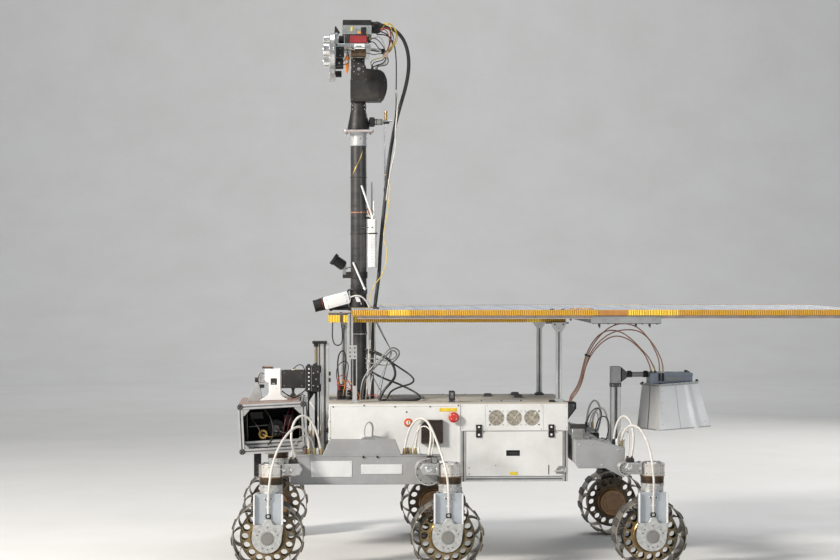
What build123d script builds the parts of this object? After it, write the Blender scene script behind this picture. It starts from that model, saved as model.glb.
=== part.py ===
from build123d import *
import os
from math import cos, sin, tan, radians

# Six-wheeled planetary rover test vehicle. Millimetres, +Z up, front towards -X,
# the rover's left side towards -Y, wheels standing on Z = 0.
# Every X below is measured from the middle axle and placed by ax().

X_MIDDLE_AXLE = -416.0
WHEEL_R = 142.5
WHEEL_W = 120.0
RIM_T = 2.5
DRUM_R = 107.5
DRUM_HALF = 30.0
HOLE_R, HOLE_PCR, HOLE_COUNT = 13.5, 88.0, 16
LEAF_COUNT = 12
HUB_R = 64.0
AXLE_R, AXLE_BORE_R = 15.0, 15.05
TRACK_HALF = 575.0
STEER_TRAIL = 12.0
LEG_Y, LEG_T, LEG_HALF_W = 660.0, 30.0, 57.0
LEG_TOP_Z = 312.0
SPIGOT_R, SPIGOT_BORE_R = 20.0, 20.05
HOUSING_R, HOUSING_TURN = 48.0, 0.0

BODY_FRONT, BODY_JOIN, BODY_REAR = -455.0, 73.0, 503.0
BODY_HALF = 280.0
BODY_BOTTOM, BODY_TOP = 318.0, 629.0
DECK_Z_TOP = 635.0
DECK_T = 6.0
PROFILE = 20.0
DOOR_X0, DOOR_X1, DOOR_Z0, DOOR_Z1 = 98.0, 478.0, 343.0, 517.0
HINGE_Y, HINGE_Z = 290.0, 522.0

MAST_X, MAST_R = -333.0, 33.0
DECK_Z = BODY_TOP + DECK_T
PAN_Z = 1858.0
TILT_Z = 1990.0

PANEL_Z, PANEL_T, PANEL_HALF = 990.0, 20.0, 520.0
PANEL_FRONT, PANEL_SPLICE, PANEL_REAR = -366.0, 655.0, 1665.5

# axle, X of its hub, actuator X, actuator Z, actuator radius, |Y| where the actuator meets its beam
AXLES = [
    ("front", -690.0, -592.0, 396.0, 40.0, 480.0),
    ("middle", 0.0, -68.0, 383.0, 55.0, 480.0),
    ("rear", 788.0, 700.0, 392.0, 38.0, 500.0),
]
# side, sign of Y
SIDES = [("left", -1), ("right", 1)]


def ax(v):
    return X_MIDDLE_AXLE + v


def outboard(x, side, z):
    """Plane through the wheel's middle with its normal pointing away from the body."""
    return Plane(origin=(x, side * TRACK_HALF, z), x_dir=(1, 0, 0), z_dir=(0, side, 0))


def polar(r, a):
    return (r * cos(radians(a)), r * sin(radians(a)))


def leaf_outline(a):
    """One leaf spring, bowed from the drum at angle a out to the hoop, 1.6 mm thick."""
    mid = [(DRUM_R - 1.5, 0), (122, 1), (131, 5), (137, 12), (WHEEL_R - 1.8, 26)]
    outer = [polar(r + 0.8, a + da - 0.35) for r, da in mid]
    inner = [polar(r - 0.8, a + da + 0.35) for r, da in reversed(mid)]
    return outer + inner


os.makedirs("parts", exist_ok=True)
finished = []


def keep(piece, label):
    piece.part.label = label
    finished.append(piece.part)
    export_step(piece.part, "parts/" + label + ".step")


# ---------------------------------------------------------------- wheels and legs
for axle, hub_x, act_x, act_z, act_r, act_y in AXLES:
    for side, s in SIDES:
        hub = outboard(ax(hub_x), s, WHEEL_R)

        with BuildPart() as wheel:
            # thin outer hoop
            with BuildSketch(hub.offset(-WHEEL_W / 2)):
                Circle(WHEEL_R)
                Circle(WHEEL_R - RIM_T, mode=Mode.SUBTRACT)
            extrude(amount=WHEEL_W)
            # leaf springs between drum and hoop
            with BuildSketch(hub.offset(-WHEEL_W / 2 + 12)):
                for i in range(LEAF_COUNT):
                    with BuildLine():
                        Polyline(*leaf_outline(i * 360 / LEAF_COUNT), close=True)
                    make_face()
            extrude(amount=WHEEL_W - 24)
            # drum with two pierced webs
            with BuildSketch(hub.offset(-DRUM_HALF)):
                Circle(DRUM_R)
            extrude(amount=2 * DRUM_HALF)
            with BuildSketch(hub.offset(-DRUM_HALF + 3)):
                Circle(DRUM_R - 3)
                Circle(HUB_R, mode=Mode.SUBTRACT)
            extrude(amount=2 * DRUM_HALF - 6, mode=Mode.SUBTRACT)
            with BuildSketch(hub.offset(-DRUM_HALF - 1)):
                with PolarLocations(HOLE_PCR, HOLE_COUNT):
                    Circle(HOLE_R)
            extrude(amount=2 * DRUM_HALF + 2, mode=Mode.SUBTRACT)
            # hub barrel, proud on both sides, closed inboard
            with BuildSketch(hub.offset(-DRUM_HALF - 42)):
                Circle(HUB_R - 6)
            extrude(amount=42)
            with BuildSketch(hub.offset(DRUM_HALF)):
                Circle(HUB_R)
            extrude(amount=26)
            with BuildSketch(hub.offset(-45)):
                Circle(AXLE_BORE_R)
            extrude(amount=DRUM_HALF + 26 + 45, mode=Mode.SUBTRACT)
        keep(wheel, "wheel_" + axle + "_" + side)

        steer_x = ax(hub_x) + STEER_TRAIL
        plate_x = ax(hub_x) + 3.0
        with BuildPart() as leg:
            # turning drum above the wheel, with its spigot
            with BuildSketch(Plane.XY.offset(295)):
                with Locations((steer_x, s * TRACK_HALF)):
                    Circle(45.5)
            extrude(amount=46)
            with BuildSketch(Plane.XY.offset(341)):
                with Locations((steer_x, s * TRACK_HALF)):
                    Circle(SPIGOT_R)
            extrude(amount=14)
            # shelf from the drum out to the leg plate
            with BuildSketch(Plane.XY.offset(297)):
                with Locations((plate_x, s * (TRACK_HALF + LEG_Y + LEG_T / 2) / 2)):
                    Rectangle(88, LEG_Y + LEG_T / 2 - TRACK_HALF)
            extrude(amount=14)
            # leg plate with a round foot
            with BuildSketch(Plane(origin=(plate_x, s * (LEG_Y - LEG_T / 2), 0), x_dir=(1, 0, 0), z_dir=(0, s, 0))):
                with Locations((-3.0, -s * WHEEL_R)):
                    Circle(LEG_HALF_W)
                with Locations((0, -s * (WHEEL_R + LEG_TOP_Z) / 2)):
                    Rectangle(2 * LEG_HALF_W, LEG_TOP_Z - WHEEL_R)
            extrude(amount=LEG_T)
            # recess down its upper part
            with BuildSketch(Plane(origin=(plate_x, s * (LEG_Y + 1), 0), x_dir=(1, 0, 0), z_dir=(0, s, 0))):
                with Locations((0, -s * (194 + LEG_TOP_Z + 4) / 2)):
                    Rectangle(2 * LEG_HALF_W - 14, LEG_TOP_Z + 4 - 194)
            extrude(amount=LEG_T / 2, mode=Mode.SUBTRACT)
            # cable gland in the recess and the round cap on the axle
            with BuildSketch(Plane(origin=(plate_x, s * LEG_Y, 226), x_dir=(1, 0, 0), z_dir=(0, s, 0))):
                Circle(10)
            extrude(amount=7)
            with BuildSketch(Plane(origin=(ax(hub_x), s * (LEG_Y + LEG_T / 2), WHEEL_R), x_dir=(1, 0, 0), z_dir=(0, s, 0))):
                Circle(23)
            extrude(amount=3)
            # dark gear flange behind the plate, then the fixed axle into the wheel
            with BuildSketch(hub.offset(62)):
                Circle(61)
            extrude(amount=LEG_Y - LEG_T / 2 - TRACK_HALF - 62)
            with BuildSketch(hub.offset(-40)):
                Circle(AXLE_R)
            extrude(amount=102)
        keep(leg, "leg_" + axle + "_" + side)

# ---------------------------------------------------------------- steering motors and leg arms
with BuildPart() as motors:
    for axle, hub_x, act_x, act_z, act_r, act_y in AXLES:
        for side, s in SIDES:
            steer_x = ax(hub_x) + STEER_TRAIL
            with BuildSketch(Plane.XY.offset(342)):
                with Locations((steer_x, s * TRACK_HALF)):
                    Circle(45.5)
            extrude(amount=24)
            with BuildSketch(Plane.XY.offset(366)):
                with Locations((steer_x, s * TRACK_HALF)):
                    RegularPolygon(radius=HOUSING_R, side_count=8, rotation=HOUSING_TURN)
            extrude(amount=52)
            with BuildSketch(Plane.XY.offset(418)):
                with Locations((steer_x, s * TRACK_HALF)):
                    Circle(36)
            extrude(amount=6)
            with BuildSketch(Plane.XY.offset(342)):
                with Locations((steer_x, s * TRACK_HALF)):
                    Circle(SPIGOT_BORE_R)
            extrude(amount=14, mode=Mode.SUBTRACT)
keep(motors, "steering_motors")

with BuildPart() as arms:
    for axle, hub_x, act_x, act_z, act_r, act_y in AXLES:
        for side, s in SIDES:
            steer_x = ax(hub_x) + STEER_TRAIL
            with BuildSketch(Plane(origin=(ax(act_x), s * act_y, act_z), x_dir=(1, 0, 0), z_dir=(0, s, 0))):
                Circle(act_r)
            extrude(amount=548 - act_y)
            with BuildSketch(Plane(origin=(0, s * 540, 0), x_dir=(1, 0, 0), z_dir=(0, s, 0))):
                with BuildLine():
                    x0, x1 = ax(act_x), steer_x
                    k = 1 if x1 > x0 else -1
                    Polyline(
                        (x0 - k * 24, -s * 376), (x0 - k * 36, -s * 400), (x0 - k * 24, -s * 420),
                        (x1, -s * 420), (x1, -s * 376), close=True,
                    )
                make_face()
            extrude(amount=66)
            with BuildSketch(Plane.XY.offset(320)):
                with Locations((steer_x, s * TRACK_HALF)):
                    Circle(HOUSING_R)
            extrude(amount=120, mode=Mode.SUBTRACT)
keep(arms, "leg_arms")

# ---------------------------------------------------------------- bogies
BEAM_X0, BEAM_X1, BEAM_Z0, BEAM_Z1 = -607.0, -8.0, 328.0, 442.0
for side, s in SIDES:
    with BuildPart() as bogie:
        with BuildSketch(Plane(origin=(0, s * 425, 0), x_dir=(1, 0, 0), z_dir=(0, s, 0))):
            with Locations((ax((BEAM_X0 + BEAM_X1) / 2), -s * (BEAM_Z0 + BEAM_Z1) / 2)):
                Rectangle(BEAM_X1 - BEAM_X0, BEAM_Z1 - BEAM_Z0)
        extrude(amount=55)
        with BuildSketch(Plane(origin=(0, s * 425, 0), x_dir=(1, 0, 0), z_dir=(0, s, 0))):
            with BuildLine():
                Polyline(
                    (ax(-480), -s * 430), (ax(-480), -s * 442), (ax(-460), -s * 486), (ax(-450), -s * 502),
                    (ax(-196), -s * 502), (ax(-172), -s * 442), (ax(-172), -s * 430), close=True,
                )
            make_face()
        extrude(amount=49)
    keep(bogie, side + "_bogie")

with BuildPart() as rear_bogie:
    with BuildSketch(Plane.YZ.offset(ax(522))):
        with Locations((0, 446)):
            Rectangle(900, 100)
    extrude(amount=96)
    for side, s in SIDES:
        with BuildSketch(Plane(origin=(0, s * 440, 0), x_dir=(1, 0, 0), z_dir=(0, s, 0))):
            with BuildLine():
                Polyline(
                    (ax(509), -s * 500), (ax(580), -s * 502), (ax(704), -s * 470), (ax(700), -s * 352),
                    (ax(626), -s * 390), (ax(522), -s * 390), (ax(509), -s * 412), close=True,
                )
            make_face()
        extrude(amount=60)
keep(rear_bogie, "rear_bogie")

with BuildPart() as pivots:
    for side, s in SIDES:
        with BuildSketch(Plane(origin=(ax(-300), s * (BODY_HALF + 4), 462), x_dir=(1, 0, 0), z_dir=(0, s, 0))):
            Circle(32)
        extrude(amount=425 - BODY_HALF - 4)
    with BuildSketch(Plane.YZ.offset(ax(BODY_REAR))):
        with Locations((0, 446)):
            Circle(32)
    extrude(amount=522 - BODY_REAR)
keep(pivots, "bogie_pivots")

# ---------------------------------------------------------------- body
with BuildPart() as front_body:
    with Locations((ax((BODY_FRONT + BODY_JOIN) / 2), 0, (BODY_BOTTOM + BODY_TOP) / 2)):
        Box(BODY_JOIN - BODY_FRONT, 2 * BODY_HALF + 8, BODY_TOP - BODY_BOTTOM)
    with Locations((ax((BODY_FRONT + BODY_JOIN) / 2), 0, (BODY_BOTTOM + BODY_TOP) / 2)):
        Box(BODY_JOIN - BODY_FRONT - 8, 2 * BODY_HALF, BODY_TOP - BODY_BOTTOM - 8, mode=Mode.SUBTRACT)
keep(front_body, "front_body")

with BuildPart() as deck:
    with Locations((ax((BODY_FRONT + BODY_REAR) / 2), 0, BODY_TOP + DECK_T / 2)):
        Box(BODY_REAR - BODY_FRONT, 2 * BODY_HALF + 8, DECK_T)
keep(deck, "deck_plate")

with BuildPart() as frame:
    for x in (BODY_JOIN + PROFILE / 2, BODY_REAR - PROFILE / 2):
        for s in (-1, 1):
            with Locations((ax(x), s * (BODY_HALF - PROFILE / 2), (BODY_BOTTOM + BODY_TOP) / 2)):
                Box(PROFILE, PROFILE, BODY_TOP - BODY_BOTTOM)
        for z in (BODY_BOTTOM + PROFILE / 2, BODY_TOP - PROFILE / 2):
            with Locations((ax(x), 0, z)):
                Box(PROFILE, 2 * BODY_HALF - PROFILE, PROFILE)
    for s in (-1, 1):
        for z in (BODY_BOTTOM + PROFILE / 2, BODY_TOP - PROFILE / 2):
            with Locations((ax((BODY_JOIN + BODY_REAR) / 2), s * (BODY_HALF - PROFILE / 2), z)):
                Box(BODY_REAR - BODY_JOIN - PROFILE, PROFILE, PROFILE)
keep(frame, "rear_frame")

with BuildPart() as rear_panels:
    # floor between the bottom rails, and the back wall between the rear posts
    with Locations((ax((BODY_JOIN + BODY_REAR) / 2), 0, BODY_BOTTOM + 5)):
        Box(BODY_REAR - BODY_JOIN - 2 * PROFILE, 2 * BODY_HALF - 2 * PROFILE, 6)
    with Locations((ax(BODY_REAR - 5), 0, (BODY_BOTTOM + BODY_TOP) / 2)):
        Box(6, 2 * BODY_HALF - 2 * PROFILE, BODY_TOP - BODY_BOTTOM - 2 * PROFILE)
keep(rear_panels, "rear_panels")

with BuildPart() as fan_panels:
    for s in (-1, 1):
        with BuildSketch(Plane(origin=(0, s * BODY_HALF, 0), x_dir=(1, 0, 0), z_dir=(0, s, 0))):
            with Locations((ax((BODY_JOIN + BODY_REAR) / 2), -s * (527 + BODY_TOP) / 2)):
                Rectangle(BODY_REAR - BODY_JOIN, BODY_TOP - 527)
            for x in (216, 287, 359):
                with Locations((ax(x), -s * 573)):
                    # ring slots of the fan guard, with four spokes
                    for r in (31, 23.5, 16):
                        Circle(r, mode=Mode.SUBTRACT)
                        Circle(r - 3.5)
                    Rectangle(66, 4)
                    Rectangle(4, 66)
        extrude(amount=4)
keep(fan_panels, "fan_panels")

with BuildPart() as battery:
    with Locations((ax(285), 0, BODY_BOTTOM + 8 + 75)):
        Box(300, 260, 150)
keep(battery, "battery")

with BuildPart() as stops:
    for s in (-1, 1):
        with BuildSketch(Plane(origin=(ax(43), s * (BODY_HALF + 4), 575), x_dir=(1, 0, 0), z_dir=(0, s, 0))):
            Circle(15)
        extrude(amount=14)
        with BuildSketch(Plane(origin=(ax(43), s * (BODY_HALF + 18), 575), x_dir=(1, 0, 0), z_dir=(0, s, 0))):
            Circle(21)
        extrude(amount=12)
    fillet(stops.edges().filter_by(GeomType.CIRCLE).group_by(SortBy.RADIUS)[-1].filter_by(lambda e: abs(abs(e.center().Y) - (BODY_HALF + 30)) < 0.1), 4)
keep(stops, "emergency_stops")

with BuildPart() as controls:
    # key switch and vent plate on the left side, vent plate on the right
    with BuildSketch(Plane(origin=(ax(-138), -BODY_HALF - 4, 555), x_dir=(1, 0, 0), z_dir=(0, -1, 0))):
        Circle(17)
    extrude(amount=9)
    for s in (-1, 1):
        with Locations((ax(-40), s * (BODY_HALF + 4 + 11), 521)):
            Box(86, 22, 94)
    # switch box on the deck edge, and the black bracket on the back wall
    with Locations((ax(34), -262, DECK_Z_TOP + 23)):
        Box(22, 26, 46)
    with Locations((ax(BODY_REAR + 9), -70, 586)):
        Box(18, 70, 70)
    # junction boxes at the front of the deck and behind the rear beam
    with Locations((ax(-404), -102, DECK_Z_TOP + 33)):
        Box(34, 40, 66)
    with Locations((ax(636), -60, 484)):
        Box(36, 44, 24)
keep(controls, "body_controls")

with BuildPart() as hinges:
    for s in (-1, 1):
        for x in (145, 436):
            with BuildSketch(Plane.YZ.offset(ax(x - 9))):
                with Locations((s * HINGE_Y, HINGE_Z)):
                    Circle(4.5)
            extrude(amount=18)
            with Locations((ax(x), s * (BODY_HALF + 7), HINGE_Z + 14)):
                Box(22, 6, 18)
keep(hinges, "door_hinges")

for side, s in SIDES:
    with BuildPart() as door:
        with Locations((ax((DOOR_X0 + DOOR_X1) / 2), s * (BODY_HALF - 3), (DOOR_Z0 + DOOR_Z1) / 2)):
            Box(DOOR_X1 - DOOR_X0, 14, DOOR_Z1 - DOOR_Z0)
        # recessed handle
        with Locations((ax(282), s * (BODY_HALF + 4), 433)):
            Box(54, 12, 24, mode=Mode.SUBTRACT)
        # hinge leaves reaching up beside the barrels
        for x in (145, 436):
            for k in (-1, 1):
                with Locations((ax(x + k * 14), s * (BODY_HALF + 7), 510)):
                    Box(8, 6, 33)
    keep(door, side + "_door")

# ---------------------------------------------------------------- mast
with BuildPart() as mast:
    with BuildSketch(Plane.XY.offset(DECK_Z)):
        with Locations((ax(MAST_X), 0)):
            Circle(MAST_R)
            Circle(MAST_R - 3, mode=Mode.SUBTRACT)
    extrude(amount=1676 - DECK_Z)
keep(mast, "mast_tube")

with BuildPart() as collar:
    with BuildSketch(Plane.XY.offset(1676)):
        with Locations((ax(MAST_X), 0)):
            Circle(36)
    extrude(amount=56)
    with BuildSketch(Plane.XY.offset(1732)):
        with Locations((ax(MAST_X), 0)):
            RectangleRounded(124, 124, 10)
    extrude(amount=8)
    with BuildSketch(Plane(origin=(ax(MAST_X), 0, 0), x_dir=(1, 0, 0), z_dir=(0, -1, 0))):
        with BuildLine():
            Polyline((0, 1740), (48, 1740), (46, 1752), (32, 1822), (32, 1846), (30, 1846), (30, 1857), (0, 1857), close=True)
        make_face()
    revolve(axis=Axis((ax(MAST_X), 0, 0), (0, 0, 1)))
    with BuildSketch(Plane.XY.offset(1840)):
        with Locations((ax(MAST_X), 0)):
            Circle(12.05)
    extrude(amount=17, mode=Mode.SUBTRACT)
keep(collar, "mast_collar")

with BuildPart() as sensor_arm:
    with BuildSketch(Plane.YZ.offset(ax(MAST_X + 44))):
        with Locations((0, 1775)):
            Rectangle(30, 38)
    extrude(amount=22)
    with BuildSketch(Plane.YZ.offset(ax(MAST_X + 66))):
        with Locations((0, 1775)):
            Circle(13)
    extrude(amount=34)
    with Locations((ax(-215), 0, 1775)):
        Box(38, 22, 14)
    with BuildSketch(Plane.XY.offset(1782)):
        with Locations((ax(-220), 0)):
            Circle(8)
    extrude(amount=38)
    with BuildSketch(Plane.XY.offset(1490)):
        with Locations((ax(-225), 0)):
            Circle(3)
    extrude(amount=278)
    with BuildSketch(Plane(origin=(ax(MAST_X), 0, 0), x_dir=(1, 0, 0), z_dir=(0, -1, 0))):
        with BuildLine():
            Polyline((0, 1740), (48, 1740), (46, 1752), (32, 1822), (32, 1846), (0, 1846), close=True)
        make_face()
    revolve(axis=Axis((ax(MAST_X), 0, 0), (0, 0, 1)), mode=Mode.SUBTRACT)
keep(sensor_arm, "mast_sensor_arm")

with BuildPart() as access_point:
    with Locations((ax(-277), 0, 1275)):
        Box(38, 110, 200)
    fillet(access_point.edges().filter_by(Axis.Z), 8)
    with BuildSketch(Plane.XY.offset(1170)):
        with Locations((ax(MAST_X), 0)):
            Circle(MAST_R)
    extrude(amount=220, mode=Mode.SUBTRACT)
keep(access_point, "access_point")

with BuildPart() as antennas:
    # start X, Y, Z, then end X, Y, Z
    for x0, y0, z0, x1, y1, z1 in [
        (-277, -40, 1375, -322, -46, 1504),
        (-277, 40, 1375, -277, 40, 1520),
        (-270, 0, 1375, -270, 0, 1440),
    ]:
        a, b = Vector(ax(x0), y0, z0), Vector(ax(x1), y1, z1)
        base = Plane.XY.offset(z0)
        with BuildSketch(base):
            with Locations((a.X, a.Y)):
                Circle(6)
        extrude(amount=16)
        with BuildSketch(Plane(origin=a + Vector(0, 0, 8), z_dir=b - a)):
            Circle(4.5)
        extrude(amount=(b - a).length)
keep(antennas, "antennas")

with BuildPart() as lamp:
    aim = Vector(-0.82, 0, 0.57)
    with BuildSketch(Plane(origin=(ax(-392), 0, 1180), z_dir=aim)):
        Circle(20)
    extrude(amount=44)
    with BuildSketch(Plane(origin=(ax(-392), 0, 1180), z_dir=aim).offset(44)):
        Circle(25)
    extrude(amount=14)
    # band round the mast and its lug
    with BuildSketch(Plane.XY.offset(1130)):
        with Locations((ax(MAST_X), 0)):
            Circle(MAST_R + 4)
        with Locations((ax(MAST_X - 46), 0)):
            Rectangle(40, 16)
    extrude(amount=28)
    with Locations((ax(-392), 0, 1163)):
        Box(14, 16, 32)
    with BuildSketch(Plane.XY.offset(1120)):
        with Locations((ax(MAST_X), 0)):
            Circle(MAST_R)
    extrude(amount=50, mode=Mode.SUBTRACT)
keep(lamp, "mast_lamp")

with BuildPart() as mast_camera:
    tilted = Plane(origin=(ax(-424), 0, 1040), x_dir=(0.966, 0, 0.259), z_dir=(0, -1, 0))
    with BuildSketch(tilted.offset(-32)):
        RectangleRounded(106, 52, 7)
    extrude(amount=64)
    lens = Plane(origin=(ax(-424), 0, 1040), x_dir=(0, 1, 0), z_dir=(-0.966, 0, -0.259))
    with BuildSketch(lens.offset(50)):
        Circle(25)
    extrude(amount=46)
    # bracket back to a band on the mast
    with BuildSketch(Plane.XY.offset(1016)):
        with Locations((ax(MAST_X), 0)):
            Circle(MAST_R + 5)
        with Locations((ax(MAST_X - 60), 0)):
            Rectangle(80, 30)
    extrude(amount=14)
    with BuildSketch(Plane.XY.offset(1000)):
        with Locations((ax(MAST_X), 0)):
            Circle(MAST_R)
    extrude(amount=60, mode=Mode.SUBTRACT)
keep(mast_camera, "mast_camera")

# ---------------------------------------------------------------- pan and tilt head
with BuildPart() as pan_unit:
    # side profile of the housing with its round back
    with BuildSketch(Plane(origin=(ax(MAST_X), -45, 0), x_dir=(1, 0, 0), z_dir=(0, 1, 0))):
        with BuildLine():
            Polyline((-32, -PAN_Z), (92, -PAN_Z), (112, -(PAN_Z + 34)), (116, -(PAN_Z + 66)), (113, -(PAN_Z + 98)), (96, -(PAN_Z + 126)), (70, -(PAN_Z + 131)), (34, -(PAN_Z + 134)), (-32, -(PAN_Z + 134)), close=True)
        make_face()
    extrude(amount=90)
    # cheeks on each side of the tilting drum
    for y0 in (-45, 33):
        with BuildSketch(Plane(origin=(ax(MAST_X), y0, 0), x_dir=(1, 0, 0), z_dir=(0, 1, 0))):
            with Locations((0, -TILT_Z)):
                Circle(31)
        extrude(amount=12)
    with BuildSketch(Plane(origin=(ax(MAST_X), -33, 0), x_dir=(1, 0, 0), z_dir=(0, 1, 0))):
        with Locations((0, -TILT_Z)):
            Circle(36)
    extrude(amount=66, mode=Mode.SUBTRACT)
    # running bores for the tilt shaft, and the pan spigot
    with BuildSketch(Plane(origin=(ax(MAST_X), -45, 0), x_dir=(1, 0, 0), z_dir=(0, 1, 0))):
        with Locations((0, -TILT_Z)):
            Circle(8.05)
    extrude(amount=90, mode=Mode.SUBTRACT)
    with BuildSketch(Plane.XY.offset(1842)):
        with Locations((ax(MAST_X), 0)):
            Circle(12)
    extrude(amount=16)
keep(pan_unit, "pan_unit")

BENCH_Z, BENCH_T = 2058.0, 13.0
with BuildPart() as bench:
    # tilting drum with its shaft, neck and the wide camera bench
    with BuildSketch(Plane(origin=(ax(MAST_X), -28, 0), x_dir=(1, 0, 0), z_dir=(0, 1, 0))):
        with Locations((0, -TILT_Z)):
            Circle(29)
    extrude(amount=56)
    with BuildSketch(Plane(origin=(ax(MAST_X), -44, 0), x_dir=(1, 0, 0), z_dir=(0, 1, 0))):
        with Locations((0, -TILT_Z)):
            Circle(8)
    extrude(amount=88)
    with Locations((ax(MAST_X), 0, (2010 + 2044) / 2)):
        Box(52, 56, 34)
    with BuildSketch(Plane.XY.offset(2044)):
        with Locations((ax(MAST_X), 0)):
            Circle(28)
    extrude(amount=BENCH_Z - 2044)
    with Locations((ax(-358), 0, BENCH_Z + BENCH_T / 2)):
        Box(144, 540, BENCH_T)
    with Locations((ax(-425), 0, BENCH_Z + 28)):
        Box(10, 540, 56)
keep(bench, "camera_bench")

with BuildPart() as stereo:
    for s in (-1, 1):
        # filter wheel housing in front of the bench, its lens barrels and its motor
        with BuildSketch(Plane.YZ.offset(ax(-452))):
            with Locations((s * 250, 2037)):
                Circle(78)
        extrude(amount=22)
        with BuildSketch(Plane.YZ.offset(ax(-478))):
            with Locations((s * 250, 2046)):
                Circle(28)
            with Locations((s * 218, 2090)):
                Circle(17)
        extrude(amount=26)
        with Locations((ax(-412), s * 250, 2037)):
            Box(36, 44, 42)
        with Locations((ax(-416), s * 250, 1994)):
            Box(28, 34, 26)
keep(stereo, "stereo_cameras")

with BuildPart() as instruments:
    # camera with its label on the left end, the big grey unit, the dark box over it
    with Locations((ax(-343), -220, BENCH_Z + BENCH_T + 18)):
        Box(94, 80, 36)
    with Locations((ax(-342), -160, BENCH_Z + BENCH_T + 36 + 19)):
        Box(118, 200, 38)
    with Locations((ax(-342), -160, BENCH_Z + BENCH_T + 36 + 38 + 12)):
        Box(116, 180, 24)
    # the right-hand camera
    with Locations((ax(-343), 200, BENCH_Z + BENCH_T + 20)):
        Box(94, 90, 40)
keep(instruments, "head_instruments")

# ---------------------------------------------------------------- solar panels
SLOT_X0, SLOT_X1, SLOT_HALF = -387.0, -256.0, 46.0
with BuildPart() as panel_front:
    with Locations((ax((PANEL_FRONT + PANEL_SPLICE) / 2), 0, PANEL_Z + PANEL_T / 2)):
        Box(PANEL_SPLICE - PANEL_FRONT, 2 * PANEL_HALF, PANEL_T)
    with Locations((ax((SLOT_X0 + SLOT_X1) / 2 - 20), 0, PANEL_Z + PANEL_T / 2)):
        Box(SLOT_X1 - SLOT_X0 + 40, 2 * SLOT_HALF, PANEL_T + 2, mode=Mode.SUBTRACT)
keep(panel_front, "solar_panel_front")

with BuildPart() as panel_rear:
    with Locations((ax((PANEL_SPLICE + PANEL_REAR) / 2), 0, PANEL_Z + PANEL_T / 2)):
        Box(PANEL_REAR - PANEL_SPLICE - 2, 2 * PANEL_HALF, PANEL_T)
keep(panel_rear, "solar_panel_rear")

with BuildPart() as panel_lower:
    with Locations((ax(21), 0, 970)):
        Box(958, 470, 28)
    for x in (-240, 60, 360):
        with Locations((ax(x), 0, 987)):
            Box(20, 440, 6)
    with Locations((ax((SLOT_X0 + SLOT_X1) / 2), 0, 970)):
        Box(SLOT_X1 - SLOT_X0, 2 * SLOT_HALF, 30, mode=Mode.SUBTRACT)
keep(panel_lower, "solar_panel_lower")

with BuildPart() as panel_frame:
    for s in (-1, 1):
        with Locations((ax((PANEL_FRONT + PANEL_REAR) / 2 + 10), s * 500, PANEL_Z - 7)):
            Box(PANEL_REAR - PANEL_FRONT - 40, 20, 14)
    # tray across the splice
    with BuildSketch(Plane.YZ.offset(ax(569))):
        with Locations((0, 973)):
            Rectangle(1024, 30)
        with Locations((0, 975)):
            Rectangle(970, 34, mode=Mode.SUBTRACT)
    extrude(amount=276)
    with Locations((ax(569 + 138), 0, 961)):
        Box(276, 1000, 6)
keep(panel_frame, "panel_frame")

with BuildPart() as posts:
    # X, Y, top Z, half width of the cap
    for x, y, top, cap in [(-352, -255, 956, 14), (-392, 215, 956, 14), (469, -250, 956, 28), (435, 215, 956, 28)]:
        with Locations((ax(x), y, (DECK_Z + top) / 2)):
            Box(22, 22, top - DECK_Z)
        with Locations((ax(x), y, top - 18)):
            Box(2 * cap, 34, 36)
        with Locations((ax(x), y, DECK_Z + 5)):
            Box(38, 34, 10)
keep(posts, "panel_posts")

# ---------------------------------------------------------------- front rail and drill box
RAIL_Y = -60.0
with BuildPart() as rail:
    with Locations((ax(-472), RAIL_Y, (411 + 868) / 2)):
        Box(34, 40, 868 - 411)
    with BuildSketch(Plane.XY.offset(411)):
        with Locations((ax(-508), RAIL_Y - 14), (ax(-508), RAIL_Y + 14)):
            Circle(6)
    extrude(amount=868 - 411)
    for z in (411, 868):
        with Locations((ax(-493), RAIL_Y, z + 4)):
            Box(60, 56, 8)
keep(rail, "front_rail")

with BuildPart() as carriage:
    with Locations((ax(-521), RAIL_Y, 721)):
        Box(58, 70, 106)
    with Locations((ax(-491.5), RAIL_Y, 721)):
        Box(5, 70, 106, mode=Mode.SUBTRACT)
    with BuildSketch(Plane.XY.offset(660)):
        with Locations((ax(-508), RAIL_Y - 14), (ax(-508), RAIL_Y + 14)):
            Circle(6.08)
    extrude(amount=140, mode=Mode.SUBTRACT)
    # plate down the back of the drill box
    with Locations((ax(-539.5), RAIL_Y, 599)):
        Box(7, 70, 140)
keep(carriage, "drill_carriage")

with BuildPart() as drill_camera:
    with Locations((ax(-601), RAIL_Y, 719)):
        Box(98, 60, 74)
    # moulded stand on top of the drill box
    with Locations((ax(-677), RAIL_Y, 702)):
        Box(54, 60, 122)
    with Locations((ax(-677), RAIL_Y, 641)):
        Box(116, 60, 10)
keep(drill_camera, "drill_camera")

DRILL_X, DRILL_Z, DRILL_L, DRILL_H, DRILL_HALF = -681.6, 530.0, 274.0, 200.0, 210.0
drill_plane = Plane(origin=(ax(DRILL_X), 0, DRILL_Z), x_dir=(cos(radians(2.8)), 0, sin(radians(2.8))), z_dir=(0, -1, 0))
with BuildPart() as drill_frame:
    for y in (-DRILL_HALF, DRILL_HALF - PROFILE):
        with BuildSketch(drill_plane.offset(y)):
            Rectangle(DRILL_L, DRILL_H)
            Rectangle(DRILL_L - 2 * PROFILE, DRILL_H - 2 * PROFILE, mode=Mode.SUBTRACT)
        extrude(amount=PROFILE)
    with BuildSketch(drill_plane.offset(-DRILL_HALF + PROFILE)):
        with GridLocations(DRILL_L - PROFILE, DRILL_H - PROFILE, 2, 2):
            Rectangle(PROFILE, PROFILE)
    extrude(amount=2 * DRILL_HALF - 2 * PROFILE)
keep(drill_frame, "drill_box_frame")

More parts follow.
